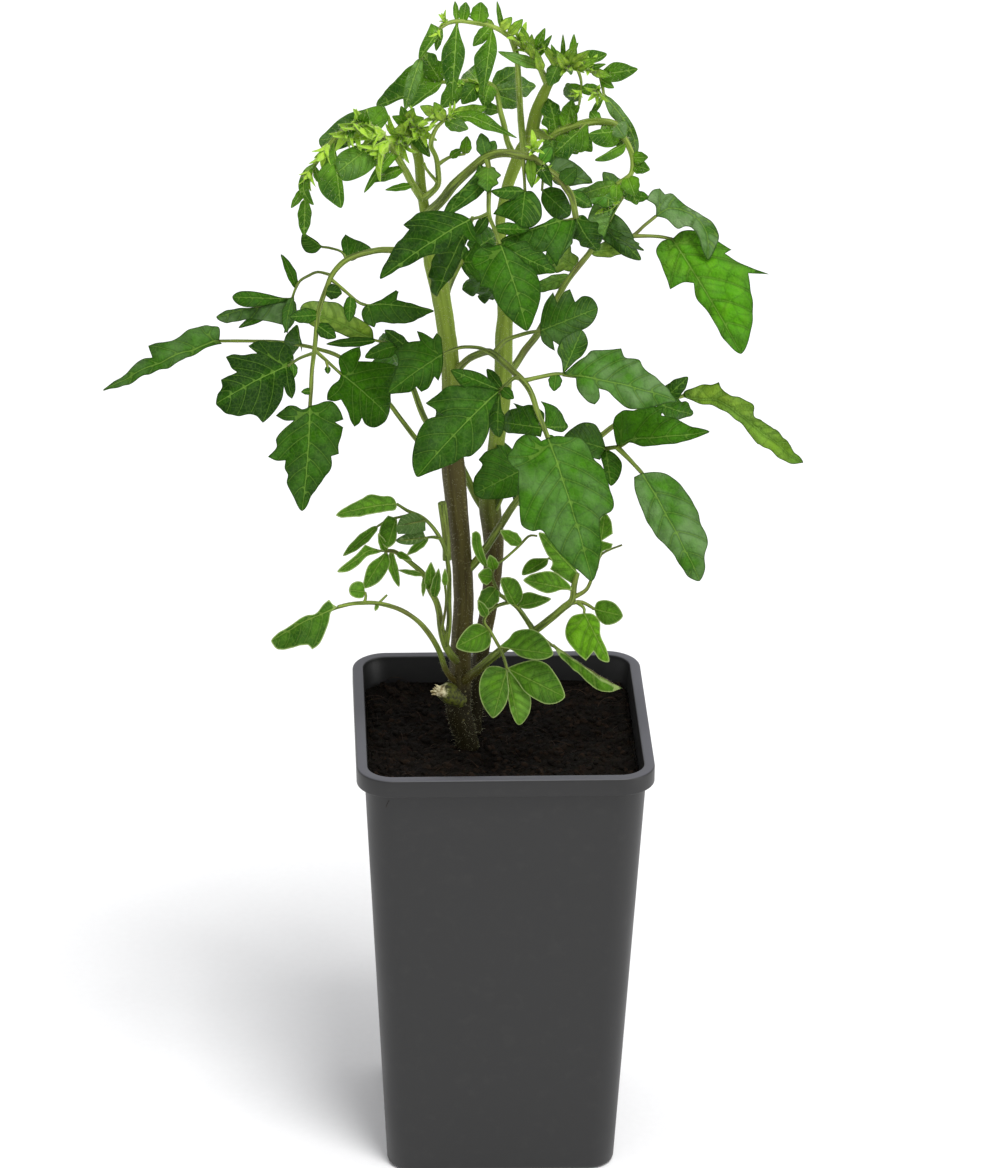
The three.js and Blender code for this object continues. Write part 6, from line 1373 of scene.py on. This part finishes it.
    dict(at="656,216 708,260,42", roll=-10, arch=3, fold=-0.25, tone=0.5, bloom=1.0,
     rib="670,209 690,215 706,233",
     left="655,205 646,199 653,189 660,187 665,194 672,193 683,204 699,215 712,223 719,236 716,247",
     right="666,220 678,230 685,228 691,229 698,238 703,253"),
    dict(at="672,239 741,354,34", roll=-6, arch=6, fold=-0.15, tone=1.05, bloom=0.1,
     left="662,241 656,250 660,264 667,283 669,290 683,283 692,284 695,300 706,312 714,326 724,341",
     right="682,231 700,232 719,243 731,250 724,254 740,264 768,275 747,274 750,292 752,310 750,332"),
    dict(at="606,224 641,260,34", arch=2, fold=-0.25, tone=0.1, bloom=0.3,
     left="612,212 622,219 632,233 636,247", right="600,238 610,245 624,256"),
    dict(at="623,196 600,240,30", fold=-0.4, tone=1.3, bloom=0.6, left="606,186 594,203 588,222 592,234",
     right="620,202 612,214 608,228 605,236"),
   ],
   plain=[
    ("590,252 640,244,44", 7, 20, 1, -0.3, 2.0, 0.5), ("570,276 529,291,36", 6, 20, 1, -0.3, 1.6, 0.5),
    ("598,238 574,226,30", 9, 20, 1, -0.3), ("604,228 645,250,24", 5, 40, 1, -0.4, 0.2, 0.6),
    ("619,202 572,192,32", 8, 25, 2, -0.4, 0.7, 0.6), ("623,196 603,172,44", 7, 0, 1, -0.3, 0.3, 0.6),
    ("623,196 632,183,50", 6), ("623,196 649,197,54", 5), ("577,268 552,252,60", 11, 0, 2, 0, 2.2, 0.3),
   ]),
]
for number, leaf in enumerate(GROWN_LEAVES):
    grow_leaf(leaf, [leaf_upper, leaf_lower], stalk_green, 0.3, STALK_HAIRS, number)

# ---- the leaves behind --------------------------------------------------------------------------
# More grown leaves on the far side of the plant, of the same make. They fill the crown as it is seen from
# behind and from the sides.

BACK_LEAVES = [
  dict(name="leaf_behind_front", carrier="stem_right", thick=(2.6, 1.6),
   stalk="492,520 500,500,6 512,482,4 522,470,3",
   branches=[
    ("488,516,9 478,500,12 466,476,15 458,460,18", 3.6, 3.2),
   ],
   lobed=[
    dict(at="522,470 474,494,-8", arch=3, left="520,496 505,499 490,500 480,499",
     right="515,452 505,440 495,438 497,448 485,452 478,460 481,465 474,478"),
   ],
   plain=[
    ("521,471 566,496,12", 15, 0, 2),
   ]),
  dict(name="leaf_back_high", carrier="stem_left", thick=(2.6, 1.4),
   stalk="443,305 450,285,12 458,268,26 466,256,40 474,248,53",
   plain=[
    ("474,248 506,292,96", 24, 0, 4), ("462,262 438,240,54", 15, 0, 3), ("462,262 500,262,34", 14, 0, 3),
    ("470,252 498,234,74", 13, 0, 3),
   ]),
  dict(name="leaf_back_left", carrier="stem_left", thick=(2.8, 1.5),
   stalk="452,440 450,424,12 448,410,28 447,398,44 446,392,60",
   branches=[
    ("446,446 428,424,20 413,388,36 405,370,42", 3.2, 2.4),
   ],
   plain=[
    ("446,392 460,436,104", 17, 0, 4), ("448,405 470,376,66", 11, 0, 3), ("448,407 474,424,56", 15, 0, 3),
    ("450,420 452,448,34", 8, 0, 2),
   ]),
  dict(name="leaf_back_right", carrier="stem_right", thick=(2.8, 1.5),
   stalk="495,462 508,456,22 522,454,36 536,458,50 548,466,62",
   plain=[
    ("548,466 572,528,100", 27, 0, 5), ("534,457 572,456,66", 16, 0, 3), ("534,457 530,512,60", 17, 0, 3),
   ]),
]
for number, leaf in enumerate(BACK_LEAVES):
    grow_leaf(leaf, [leaf_upper, leaf_lower], stalk_green, 0.35, STALK_HAIRS, 10 + number)

# ---- the low side shoots ------------------------------------------------------------------------
# Side shoots from the foot of the leaders: small soft leaves with rounded leaflets, a lighter green than the
# leaves above them.

shoot_upper = leaf_skin("shoot_leaf_upper_side", "#123e04", "#78b622", "#9cbc50", "#b2c67a",
                        0.25, 0.46, 0.28)
SIDE_SHOOTS = [
  dict(name="leaf_low_left", carrier="stem_left", thick=(2.4, 1.5),
   stalk="461,686 447,672,-12 440,653,-17 432,638,-21 420,623,-25 405,612,-28 390,606,-30 375,603,-32 "
     "362,603,-34 350,604,-36 338,607,-38",
   branches=[
    ("364,603 366,597,-33 365,592,-32", 1.1, 1), ("378,604 387,595,-28", 0.9, 0.8),
   ],
   lobed=[
    dict(at="338,607 271,641,-48", roll=15, arch=3, tone=0.25, bloom=0.1,
     left="333,605 329,600 323,606 314,616 305,618 292,626 278,634",
     right="331,613 329,622 324,636 318,646 312,650 308,646 290,649 277,649"),
    dict(at="365,592 349,590,-36", fold=-0.1, left="363,597 355,598 350,595",
     right="362,583 356,581 351,584"),
   ],
   plain=[
    ("378,604 375,611,-34", 1.8, 0, 0, 0),
   ]),
  dict(name="shoot_left", carrier="stem_left", thick=(3.2, 1.5),
   stalk="461,664 452,656,-10 445,644,-11 441,628,-12 439,612,-13 436,601,-14 430,590,-15 424,575,-16 "
     "411,563,-16 400,555,-16 393,551,-16 384,551,-16",
   branches=[
    ("446,645 449,625,-12 449,600,-12 449,575,-12 446,553,-13 440,538,-14 430,524,-15 420,516,-16 "
      "408,511,-17 397,504,-18", 2.4, 1.3),
    ("440,538 432,537,-17 425,538,-18", 1.4, 1.1), ("441,630 445,612,-18 446,598,-20 445,586,-21", 1.2, 1),
    ("416,514 400,517,-13 388,520,-12 378,526,-11", 1.2, 1), ("448,560 446,535,-11 442,503,-12", 3, 3.6),
   ],
   lobed=[
    dict(at="397,504 336,515,-26", roll=20, arch=2, left="396,509 385,513 370,516 355,518 341,518",
     right="393,498 383,497 370,495 358,502 345,508"),
    dict(at="396,517 387,548,-20", arch=2, left="388,515 381,525 379,537", right="397,520 397,532 395,543"),
    dict(at="426,520 397,526,-30", fold=-0.1, tone=0.2, under=True, left="425,531 412,534 399,534",
     right="418,514 404,515"),
    dict(at="426,538 396,541,-26", tone=0.3, under=True, left="420,542 408,545", right="424,531 410,532"),
    dict(at="384,551 337,572,-24", arch=2, rib="368,551 354,561", left="376,554 366,557 357,566 347,572",
     right="372,548 364,545 355,555"),
    dict(at="387,551 364,588,-28", arch=2, left="378,558 368,566 364,577", right="390,562 386,573 377,584"),
   ],
   plain=[
    ("428,537 407,555,-22", 3.6, 0, 1, 0.1), ("378,526 343,556,-12", 4.4, 0, 1, 0),
    ("391,551 399,587,-14", 4, 20, 1, 0), ("386,551 378,533,-20", 3.4, 0, 1, 0.1),
    ("397,553 412,560,-22", 3, 0, 1, 0), ("424,575 398,570,-18", 2.4, 0, 1, 0),
    ("424,576 423,597,-18", 2, 0, 1, 0), ("430,590 431,562,-20", 5, 0, 1, 0.1),
    ("434,597 439,568,-22", 4, 0, 1, 0.1), ("445,586 445,568,-22", 2.6, 0, 1, 0.1),
   ]),
  dict(name="shoot_right", carrier="stem_left", thick=(4, 2.6),
   stalk="461,683 475,672,-12 490,659,-16 509,645,-18 534,631,-20 550,619,-21 563,608,-22 572,600,-22 "
     "574,586,-20 577,573,-19",
   branches=[
    ("568,603 580,602,-22 588,605,-22 594,609,-22", 1.8, 1.3),
    ("573,598 586,590,-22 592,578,-21 597,568,-20", 1.8, 1.2), ("598,566 602,554,-18 622,545,-14", 1, 0.8),
    ("534,631 526,619,-21 517,607,-22 506,599,-22 499,594,-22", 2.2, 1.5),
    ("510,602 497,606,-25 488,613,-27 484,622,-29 490,631,-30 497,643,-31 503,655,-32 507,669,-33",
     1.6, 1.3),
    ("499,594 495,585,-22 492,575,-21 496,566,-19 508,556,-16 520,545,-14 529,536,-13 537,536,-12",
     1.4, 0.9),
    ("534,631 545,640,-15 553,646,-13", 1.5, 1.3), ("577,602 584,608,-26 584,613,-27", 1.3, 1.2),
    ("575,580 562,566,-15 549,558,-12", 1.2, 1),
   ],
   lobed=[
    dict(at="489,630 456,647,-36", arch=2, left="491,642 485,650 474,653 462,651",
     right="480,624 471,625 460,636"),
    dict(at="499,647 553,654,-40", arch=2, left="509,639 515,632 530,629 540,633 549,643",
     right="512,650 520,656 535,660 546,659"),
    dict(at="507,669 493,718,-42", arch=2, tone=0.6, bloom=0.15,
     left="497,666 488,667 481,677 479,690 482,703 487,712", right="508,680 509,692 506,704 500,713"),
    dict(at="508,669 519,725,-38", arch=2, tone=1.1, bloom=0.2, left="506,684 508,698 511,712",
     right="518,678 527,688 531,700 528,716"),
    dict(at="507,668 565,697,-40", arch=2, tone=0.5, bloom=0.1,
     left="520,663 535,660 547,664 556,675 562,686", right="517,681 525,692 535,699 546,704 557,703"),
    dict(at="553,646 622,688,-8", roll=20, arch=2, fold=0.3, left="566,653 580,661 598,675 612,683",
     right="561,656 575,667 595,684"),
    dict(at="584,613 609,662,-38", arch=3, tone=0.95, bloom=0.0, left="593,614 600,622 601,636 607,650",
     right="572,616 566,626 566,638 577,653 586,661 594,652 600,660"),
    dict(at="594,609 623,616,-26", fold=-0.1, left="597,602 606,600 616,604",
     right="598,619 606,625 616,623"),
    dict(at="577,573 539,533,-18", arch=3, fold=-0.15,
     left="572,584 562,577 549,568 551,561 545,552 541,542", right="573,560 563,545 550,535"),
    dict(at="598,567 605,513,-14", arch=2, fold=-0.15, left="595,553 593,538 597,524",
     right="603,551 611,548 613,543 602,540 613,533 611,520"),
    dict(at="516,606 501,578,-30", left="508,602 503,592", right="522,598 521,587 514,578"),
    dict(at="517,607 551,599,-26", left="520,596 528,592 541,595", right="527,609 540,606"),
    dict(at="573,590 524,580,-32", arch=2, left="558,590 545,593 533,588", right="562,578 550,571 535,573"),
    dict(at="549,558 522,575,-14", left="547,565 540,570 530,574", right="541,558 531,559 524,566"),
    dict(at="493,574 476,531,-14", rib="482,560 477,545", left="478,560 472,545 472,533",
     right="486,558 482,545 480,534"),
   ],
   plain=[
    ("521,544 500,530,-18", 5.4), ("496,588 480,610,-28", 8), ("493,577 478,575,-24", 7),
    ("494,570 490,555,-22", 5), ("486,616 478,600,-34", 4, 0, 1, -0.1),
   ]),
]
for number, leaf in enumerate(SIDE_SHOOTS):
    grow_leaf(leaf, [shoot_upper, leaf_lower], stalk_green, 0.62, STALK_HAIRS, 20 + number)

# ---- the young leaves and the crowns ------------------------------------------------------------
# The newest leaves arch out of the leaders' tips: narrow, yellow-green and still folding open, with the
# youngest tufts at the tips.

# Young tissue is a light yellow-green that turns yellow in its palest parts; the youngest is the palest.
young_upper = leaf_skin(
    "young_leaf_upper_side", "#205006", "#84c420", "#a4cc58", "#527a1f", 0.35, 0.46, 0.24, "#e0ff60"
)
young_lower = leaf_skin("young_leaf_underside", "#4c7038", "#8cb050", "#aac480", "#7c9c50", 0.6, 0.6, 0.35)
young_stalk = stalk_skin("young_stalk_skin", "#5f7a1c", "#93aa48", 0.15)
tuft_skin = leaf_skin("youngest_leaf", "#6cb014", "#d0f44c", "#e0f490", "#b4dc5c", 0.3, 0.46, 0.15,
                      "#e4ff68")
YOUNG_HAIRS = 9e5, 0.7, 2.0, 0.06  # all drawn about twice as thick as real ones
BLADE_HAIRS = 3e5, 0.5, 1.6, 0.08
TUFT_HAIRS = 6e5, 0.6, 2.0, 0.08
YOUNG_LEAVES = [
  dict(name="leaf_top_right", carrier="stem_right", thick=(3.8, 1.7),
   stalk="533,131 548,137,-2 560,132,-5 575,126,-8 590,122,-11 605,122,-13 616,125,-14 622,135,-16 "
     "628,145,-17 632,155,-18 633,165,-19 631,174,-20 625,179,-20 617,184,-20",
   lobed=[
    dict(at="620,131 589,134,-24", left="620,142 612,147 603,147 593,142", right="610,130 599,129"),
    dict(at="588,122 554,154,-20", arch=2, left="576,133 566,137 558,143",
     right="588,138 587,149 581,153 574,151 568,160 560,158"),
    dict(at="626,143 595,160,-26", left="624,152 614,159 603,162", right="615,147 604,154"),
   ],
   plain=[
    ("556,134 547,98,2", 9, 20, 2, -0.2, 0.3), ("566,130 572,100,0", 7, 0, 1, -0.2, 0.6),
    ("552,136 556,166,-6", 10, 10, 2, -0.2, 0.5, 0.3), ("560,132 578,154,-12", 9, 0, 2, -0.2, 0.05),
    ("572,127 592,152,-16", 8, 0, 2, -0.2, 0.1), ("604,122 622,146,-16", 8, 0, 2, -0.2, 0.35),
    ("632,158 648,157,-22", 5, 0, 0.5, 0.1, 0.5), ("633,165 650,170,-24", 5.6, 0, 0.5, 0.1, 0.4),
    ("628,177 635,196,-26", 7.5, 0, 1, 0.1, 0.7), ("617,184 616,202,-26", 6, 0, 1, 0.1, 0.6),
    ("634,186 637,205,-22", 6, 0, 1, 0.1, 0.3), ("617,184 578,197,-14", 6, 15, 2, -0.3, 0.5, 0.4),
    ("600,122 590,111,-8", 4.4, 0, 1, -0.1), ("616,125 625,138,-22", 8, 0, 1, 0, 0.5, 0.9),
    ("575,126 571,108,-10", 3, 0, 0.5, 0),
   ]),
  dict(name="leaf_top_arch", carrier="stem_right", thick=(2.4, 1.6),
   stalk="548,85 541,70,-3 535,58,-5 527,50,-6 518,43,-7 510,37,-8 500,30,-9 490,26,-10 475,23,-10 "
     "460,21,-11 448,23,-12 440,28,-13",
   branches=[
    ("512,38 517,58,-5 519,90,-3 521,122,0 524,152,2", 2.2, 3), ("440,28 431,44,-15 421,58,-18", 1, 0.8),
   ],
   lobed=[
    dict(at="457,21 452,100,-24", arch=3, tone=0.05, left="449,38 443,48 441,60 443,75 447,88",
     right="461,38 465,50 464,62 460,75 456,88"),
    dict(at="492,27 483,97,-22", arch=3, tone=0.25, left="486,42 479,50 474,58 476,75 479,86",
     right="496,40 497,52 494,65 490,78 486,88"),
    dict(at="440,28 419,59,-20", left="431,23 427,32 422,42 419,50", right="441,34 436,41 429,49"),
   ],
   plain=[
    ("421,58 405,110,-22", 5.6, 10, 2, -0.2, 0.3, 0.7), ("491,26 473,46,-15", 5),
    ("441,27 436,51,-15", 3, 0, 1, 0), ("457,21 455,1,-8", 2.4, 0, 0.5, 0.2),
    ("463,20 466,2,-8", 4.6, 0, 0.5, 0.2, 0.5), ("479,22 481,2,-7", 7, 0, 0.5, 0.1, 0.6),
    ("503,31 497,1,-6", 2.2, 0, 1, 0.2, 0.3), ("500,30 468,16,-4", 2.4, 0, 1, 0.2, 0.6),
    ("500,31 512,17,-8", 4, 0, 1, 0.1, 1.8), ("508,36 523,19,-8", 4, 0, 1, 0.1, 1.7),
    ("494,28 484,20,-6", 3.4, 0, 1, 0.1, 1.7), ("540,66 499,52,-14", 4.6, 0, 1, 0.1, 0.8, 0.5),
    ("528,52 522,27,-10", 4.2, 0, 1, 0.1, 1.8), ("533,55 545,28,-8", 4.2, 0, 1, 0.1, 0.9),
    ("530,53 532,34,-14", 4, 0, 1, 0.2, 2.1), ("536,58 552,35,-10", 3, 0, 1, 0.1, 0.6),
    ("536,58 528,42,-16", 3.6, 0, 1, 0.2, 2.0), ("542,70 536,50,-16", 3.8, 0, 1, 0.2, 2.1),
   ]),
  dict(name="leaf_pale_arch", carrier="stem_right", thick=(2.8, 1.6),
   stalk="517,162 511,150,9 507,140,12 504,125,15 500,110,18 498,98,20 495,88,22 488,83,24 478,82,26 "
     "465,81,28 453,82,30 441,82,32",
   lobed=[
    dict(at="441,82 376,106,42", arch=3, fold=-0.25, tone=0.25, left="432,91 418,95 402,99 386,106",
     right="440,68 425,62 410,66 402,74 394,83 385,92"),
    dict(at="443,82 410,108,22", roll=10, arch=2, fold=-0.25, left="437,92 425,100 416,106",
     right="428,82 415,86 406,97"),
   ],
   plain=[
    ("496,90 536,86,22", 9, 0, 2, -0.2, 0.2, 0.7), ("497,95 522,104,20", 8, 0, 1, -0.2, 0.1, 0.6),
    ("494,86 520,68,24", 8, 0, 2, -0.2, 0.15, 0.5), ("441,82 421,50,26", 9, 0, 2, -0.25),
    ("465,81 441,108,20", 8, 10, 2, -0.25), ("480,82 462,104,18", 8, 10, 2, -0.25),
    ("490,85 484,107,16", 7, 10, 2, -0.25), ("478,82 470,72,60", 13, 0, 2, -0.25),
    ("500,110 482,108,28", 5, 0, 2, -0.25),
   ]),
  dict(name="leaf_inner_top", carrier="stem_left", thick=(2.8, 1.6),
   stalk="423,198 432,192,-9 438,184,-11 438,170,-12 436,157,-13 431,146,-13 433,135,-14 438,126,-15 "
     "446,119,-16",
   branches=[
    ("438,165 450,157,-9 465,154,-6", 1.4, 1.1), ("438,183 427,170,-17 424,163,-18", 1.2, 1),
   ],
   lobed=[
    dict(at="446,119 517,138,-26", arch=2, tone=0.5, rib="470,117 495,127",
     left="455,113 465,111 478,111 488,115 500,125 508,131",
     right="458,121 470,122 477,126 485,130 495,132 506,135"),
   ],
   plain=[
    ("445,120 468,129,-22", 6, 0, 1, -0.2, 0.6, 0.6), ("447,119 487,107,-12", 6, 0, 1, -0.2, 1.5),
    ("446,119 420,106,-14", 5, 0, 1, -0.2, 1.9), ("444,120 434,102,-18", 4.6, 0, 1, -0.2, 2.0),
    ("465,154 467,136,-6", 4.6, 0, 1, -0.1, 0.9), ("450,157 462,149,-12", 3.4, 0, 0.5, 0, 0.6),
   ]),
  dict(name="leaf_crown_left", carrier="stem_left", thick=(3, 1.4),
   stalk="423,200 413,185,-8 405,170,-10 397,157,-12 388,142,-13 376,130,-14 362,124,-15 348,127,-16 "
     "335,138,-17 324,152,-18 314,166,-18 307,184,-18 305,200,-18",
   lobed=[
    dict(at="379,132 319,140,-10", arch=2, fold=-0.25, tone=0.1, bloom=0.3,
     left="365,138 350,146 335,150 322,148",
     right="388,118 384,107 376,106 362,110 350,113 340,119 328,130"),
    dict(at="382,137 338,172,-26", arch=2, fold=-0.25, tone=0.7, bloom=0.3,
     left="386,152 376,165 366,174 352,180 343,180", right="370,140 360,145 350,148 340,153 335,161"),
    dict(at="333,140 341,208,-30", arch=2, tone=0.5, left="325,163 319,172 318,184 322,194 331,202",
     right="338,160 342,178 344,192 344,202"),
    dict(at="317,162 314,205,-24", roll=25, arch=2, fold=0.2, rib="310,173 306,185 308,197",
     left="308,168 302,180 302,192 306,200", right="315,172 312,185 313,196"),
    dict(at="394,151 364,193,-22", arch=2, rib="386,160 375,175", left="386,154 378,164 369,179",
     right="399,155 391,165 381,175 371,187"),
   ],
   plain=[
    ("307,186 291,208,-20", 3.4, 0, 1, 0), ("305,199 304,236,-22", 5.4),
    ("314,166 320,183,-14", 3, 0, 1, 0), ("404,168 372,182,-16", 5, 20),
    ("413,185 385,190,-14", 3, 0, 1, 0.1), ("362,124 366,110,-22", 5, 0, 1, 0.1),
    ("350,126 352,138,-24", 5, 0, 1, 0.1),
   ]),
  dict(name="crown_left", carrier="", thick=(3.2, 1.6),
   stalk="411,132,-4 409,126,-5 406,120,-6",
   plain=[
    ("408,124 392,116,-9", 4.5, 0, 1, 0.2, 1.0), ("407,121 401,106,-7", 4, 0, 1, 0.2, 0.7),
    ("407,121 414,108,-8", 4, 0, 1, 0.2, 1.8), ("408,124 424,118,-8", 5, 0, 1, 0.2, 2.0),
    ("410,129 425,131,-9", 5, 0, 1, 0.2, 2.2), ("410,128 393,131,-13", 5.5, 0, 1, 0.2, 2.2),
    ("410,128 398,145,-12", 5, 0, 1, 0.2, 2.0), ("410,128 408,147,-11", 4, 0, 1, 0.2, 1.8),
    ("408,124 404,122,10", 8, 0, 2, -0.1), ("410,129 430,157,-10", 5),
   ]),
  dict(name="crown_right", carrier="", thick=(2.2, 1.2),
   stalk="559.5,68,-0.5 565,67,-1 575,67,-3 588,70,-4 599,75,-5 602,84,-6 604,95,-7",
   branches=[
    ("577,67 581,80,-4 581,92,-5 579,105,-5", 1.2, 1), ("561,67 556,56,-5 552,48,-7", 1.6, 1.2),
   ],
   lobed=[
    dict(at="599,75 638,69,-10", arch=2, left="606,68 615,62 625,63 632,66", right="603,81 615,82 624,80"),
    dict(at="580,68 607,54,-2", left="578,58 590,50 600,51", right="588,65 602,60"),
    dict(at="604,95 636,155,-8", roll=10, arch=3, tone=0.15, bloom=0.6, rib="615,106 626,119 634,136",
     left="612,98 620,105 627,113 633,122 637,132 639,145",
     right="605,102 611,114 618,120 623,128 628,139"),
   ],
   plain=[
    ("560,62 549,86,-6", 6.5, 0, 1, -0.2, 0.5, 0.3), ("572,66 574,34,-3", 3.4, 0, 1, 0.1, 1.0),
    ("563,66 563,34,-8", 2.2, 0, 1, 0.1, 0.7), ("553,60 551,44,-8", 2.2, 0, 1, 0.1, 0.8),
    ("554,70 541,42,-10", 3.6, 0, 1, 0.2, 1.9), ("560,68 578,43,-12", 4.4, 0, 1, 0.2, 2.0),
    ("570,68 590,50,-10", 4.6, 0, 1, 0.2, 1.8), ("566,68 556,50,-14", 4.2, 0, 1, 0.2, 2.1),
    ("576,68 598,58,-12", 4, 0, 1, 0.2, 1.7), ("592,71 612,76,-10", 3.6, 0, 1, 0.1, 1.4),
    ("585,70 606,64,-8", 2.4, 0, 1, 0), ("601,80 614,88,-9", 3.4, 0, 1, 0),
    ("581,90 601,88,-8", 4.6, 0, 1, -0.1), ("603,95 589,119,-4", 2.4, 0, 1, 0),
    ("579,105 572,114,0", 3, 0, 1, 0), ("562,67 565,66,18", 8, 0, 2, -0.1), ("581,86 566,97,10", 8, 0, 2),
   ]),
]
for number, leaf in enumerate(YOUNG_LEAVES):
    skins = [young_upper, young_lower]
    grow_leaf(leaf, skins, young_stalk, 0.4, YOUNG_HAIRS, 30 + number, BLADE_HAIRS, 1.1)

# Tufts of the youngest leaflets: they stand round a point in a spiral, lean away from its axis and arch
# back.
tuft, add, given = new_geometry("bud_tuft", {"Leaflet": "Object", "Leaflets": "Int", "Seed": "Int"})
axis = add("GeometryNodeInputNamedAttribute", {"Name": "axis"}, data_type="FLOAT_VECTOR")
reach = add("GeometryNodeInputNamedAttribute", {"Name": "reach"})
spread = add("GeometryNodeInputNamedAttribute", {"Name": "spread"})
ring = add("GeometryNodePoints", {"Count": given["Leaflets"]})
spots = add("GeometryNodeInstanceOnPoints", {"Points": given["Geometry"], "Instance": ring})
spots = add("GeometryNodeRealizeInstances", {"Geometry": spots})
index = add("GeometryNodeInputIndex")
turn = add("ShaderNodeMath", {0: index, 1: math.pi * (3 - math.sqrt(5))}, operation="MULTIPLY")
order = add("ShaderNodeMath", {0: index, 1: given["Leaflets"]}, operation="MODULO")
share = add("ShaderNodeMath", {0: order, 1: given["Leaflets"]}, operation="DIVIDE")
outward = add("ShaderNodeMath", {0: share, 1: 0.6}, operation="POWER")
lean = add("ShaderNodeMath", {0: outward, 1: spread}, operation="MULTIPLY")
turn = add("FunctionNodeEulerToRotation", {"Euler": add("ShaderNodeCombineXYZ", {"Z": turn})})
lean = add("FunctionNodeEulerToRotation", {"Euler": add("ShaderNodeCombineXYZ", {"Y": lean})})
facing = add("FunctionNodeAlignRotationToVector", {"Vector": axis}, axis="Z")
for by in (turn, lean):
    facing = add("FunctionNodeRotateRotation", {
        "Rotation": facing, "Rotate By": by,
    }, rotation_space="LOCAL")
uneven = add("FunctionNodeRandomValue", {2: 0.55, 3: 1.0, "Seed": given["Seed"]})
size = add("ShaderNodeMath", {0: reach, 1: uneven}, operation="MULTIPLY")
leaflet = add("GeometryNodeObjectInfo", {"Object": given["Leaflet"]}).outputs["Geometry"]
size = add("ShaderNodeCombineXYZ", {0: size, 1: size, 2: size})
leaflets = add("GeometryNodeInstanceOnPoints", {
    "Points": spots, "Instance": leaflet, "Rotation": facing, "Scale": size,
})
end_tree(add, given, leaflets)

# One leaflet, 1 mm long: a folded finger with a round tip, arching back, and yellower towards its foot.
BUD_HALF = 0.16  # half width, and the other numbers here, as shares of its length
BUD_ARCH = 0.28
BUD_THICK = 0.02
BUD_ROWS, BUD_ACROSS = 8, (-1, -0.55, 0, 0.55, 1)  # rows of points, and where each row's lie across it
BUD_LENGTH = 9  # mm, at which its skin's pattern is drawn
grid = [(math.sin(t), side) for t in np.linspace(0, math.pi / 2, BUD_ROWS) for side in BUD_ACROSS]
along, side = np.array(grid).T
half = BUD_HALF * np.sin(math.pi * along ** 0.8) ** 0.6 + 0.004
bent = BUD_ARCH * along ** 2 - 0.8 * half * np.abs(side)
count, row = len(grid), len(BUD_ACROSS)
faces = np.array([(i, i + 1, i + row + 1, i + row) for i in range(count - row) if i % row < row - 1])
shells = [np.column_stack([bent + thick, side * half, along]) for thick in (-BUD_THICK / 2, BUD_THICK / 2)]
bud = joined("bud_leaflet", [{
    "vertices": np.vstack(shells),
    "faces": faces[:, ::-1].tolist() + (faces + count).tolist() + [
        (a, a + count, b + count, b) for a, b in open_edges(faces[:, ::-1])
    ],
    "values": {
        "midrib": np.tile(np.abs(side) * half * BUD_LENGTH, 2), "vein": np.full(2 * count, 5.0),
        "rim": np.tile((1 - np.abs(side)) * half * BUD_LENGTH + 0.2, 2),
        "bloom": np.full(2 * count, 0.15), "tone": np.tile(1.5 - along, 2),
        "course": np.tile(np.column_stack([along, side * half, side * 0]) * BUD_LENGTH * MM, (2, 1)),
    },
}], [young_upper])
YOUNG_TUFTS = [  # x,y,depth of a middle and of a point on its axis, length in mm and spread in degrees
  ("crown_left", 10, "402,138,-8,380,142,-16,12,85 412,130,-6,424,116,-10,10,70 404,142,-8,396,160,-16,9,60 "
                     "418,128,-8,428,140,-16,9,60"),
  ("leaf_inner_top", 8, "440,120,-14,424,108,-16,9,55 447,118,-16,462,108,-18,8,50"),
  ("leaf_crown_left", 8, "390,140,-16,352,172,-28,18,24 386,133,-16,345,134,-26,17,24 "
                         "372,126,-16,350,112,-18,11,30 356,128,-16,332,146,-24,13,28 "
                         "362,124,-15,346,134,-24,13,45 330,142,-17,318,164,-22,12,26 "
                         "312,166,-18,304,186,-22,10,26"),
  ("crown_right", 8, "566,70,-2,572,50,-8,9,60 584,70,-4,600,56,-10,9,40 582,90,-6,572,98,-8,6,45 "
                     "600,90,-7,592,96,-12,7,50"),
  ("leaf_top_arch", 7, "534,56,-6,528,36,-8,9,50 520,45,-7,522,30,-10,9,40 447,24,-12,440,14,-14,6,35 "
                       "440,28,-13,433,44,-16,7,30"),
  ("leaf_pale_arch", 7, "482,82,25,472,96,18,7,50 462,81,28,452,98,22,8,45"),
  ("leaf_top_right", 7, "548,137,-2,560,122,-8,8,45"),
  ("leaf_front_high", 8, "533,152,-28,540,136,-34,9,50 540,166,-28,552,180,-36,8,50"),
  ("leaf_right_back", 8, "607,222,40,590,230,34,10,35 612,212,41,602,200,36,9,40"),
]
for number, (node, count, text) in enumerate(YOUNG_TUFTS):
    mesh = bpy.data.meshes.new(node)
    rows = places(text)
    mesh.from_pydata([seen(*row[:3]) * MM for row in rows], [], [])
    give(mesh, "axis", [(seen(*row[3:6]) - seen(*row[:3])).normalized() for row in rows])
    give(mesh, "reach", [row[6] for row in rows])
    give(mesh, "spread", [math.radians(row[7]) for row in rows])
    tufts = grown(node + "_tufts", placed(node, mesh), tuft, {
        "Leaflet": bud, "Leaflets": count, "Seed": 40 + number, "Material": tuft_skin,
    })
    finish_piece(tufts, node)
    add_hairs(tufts, node, TUFT_HAIRS, 60 + number)
bpy.data.objects.remove(bud)
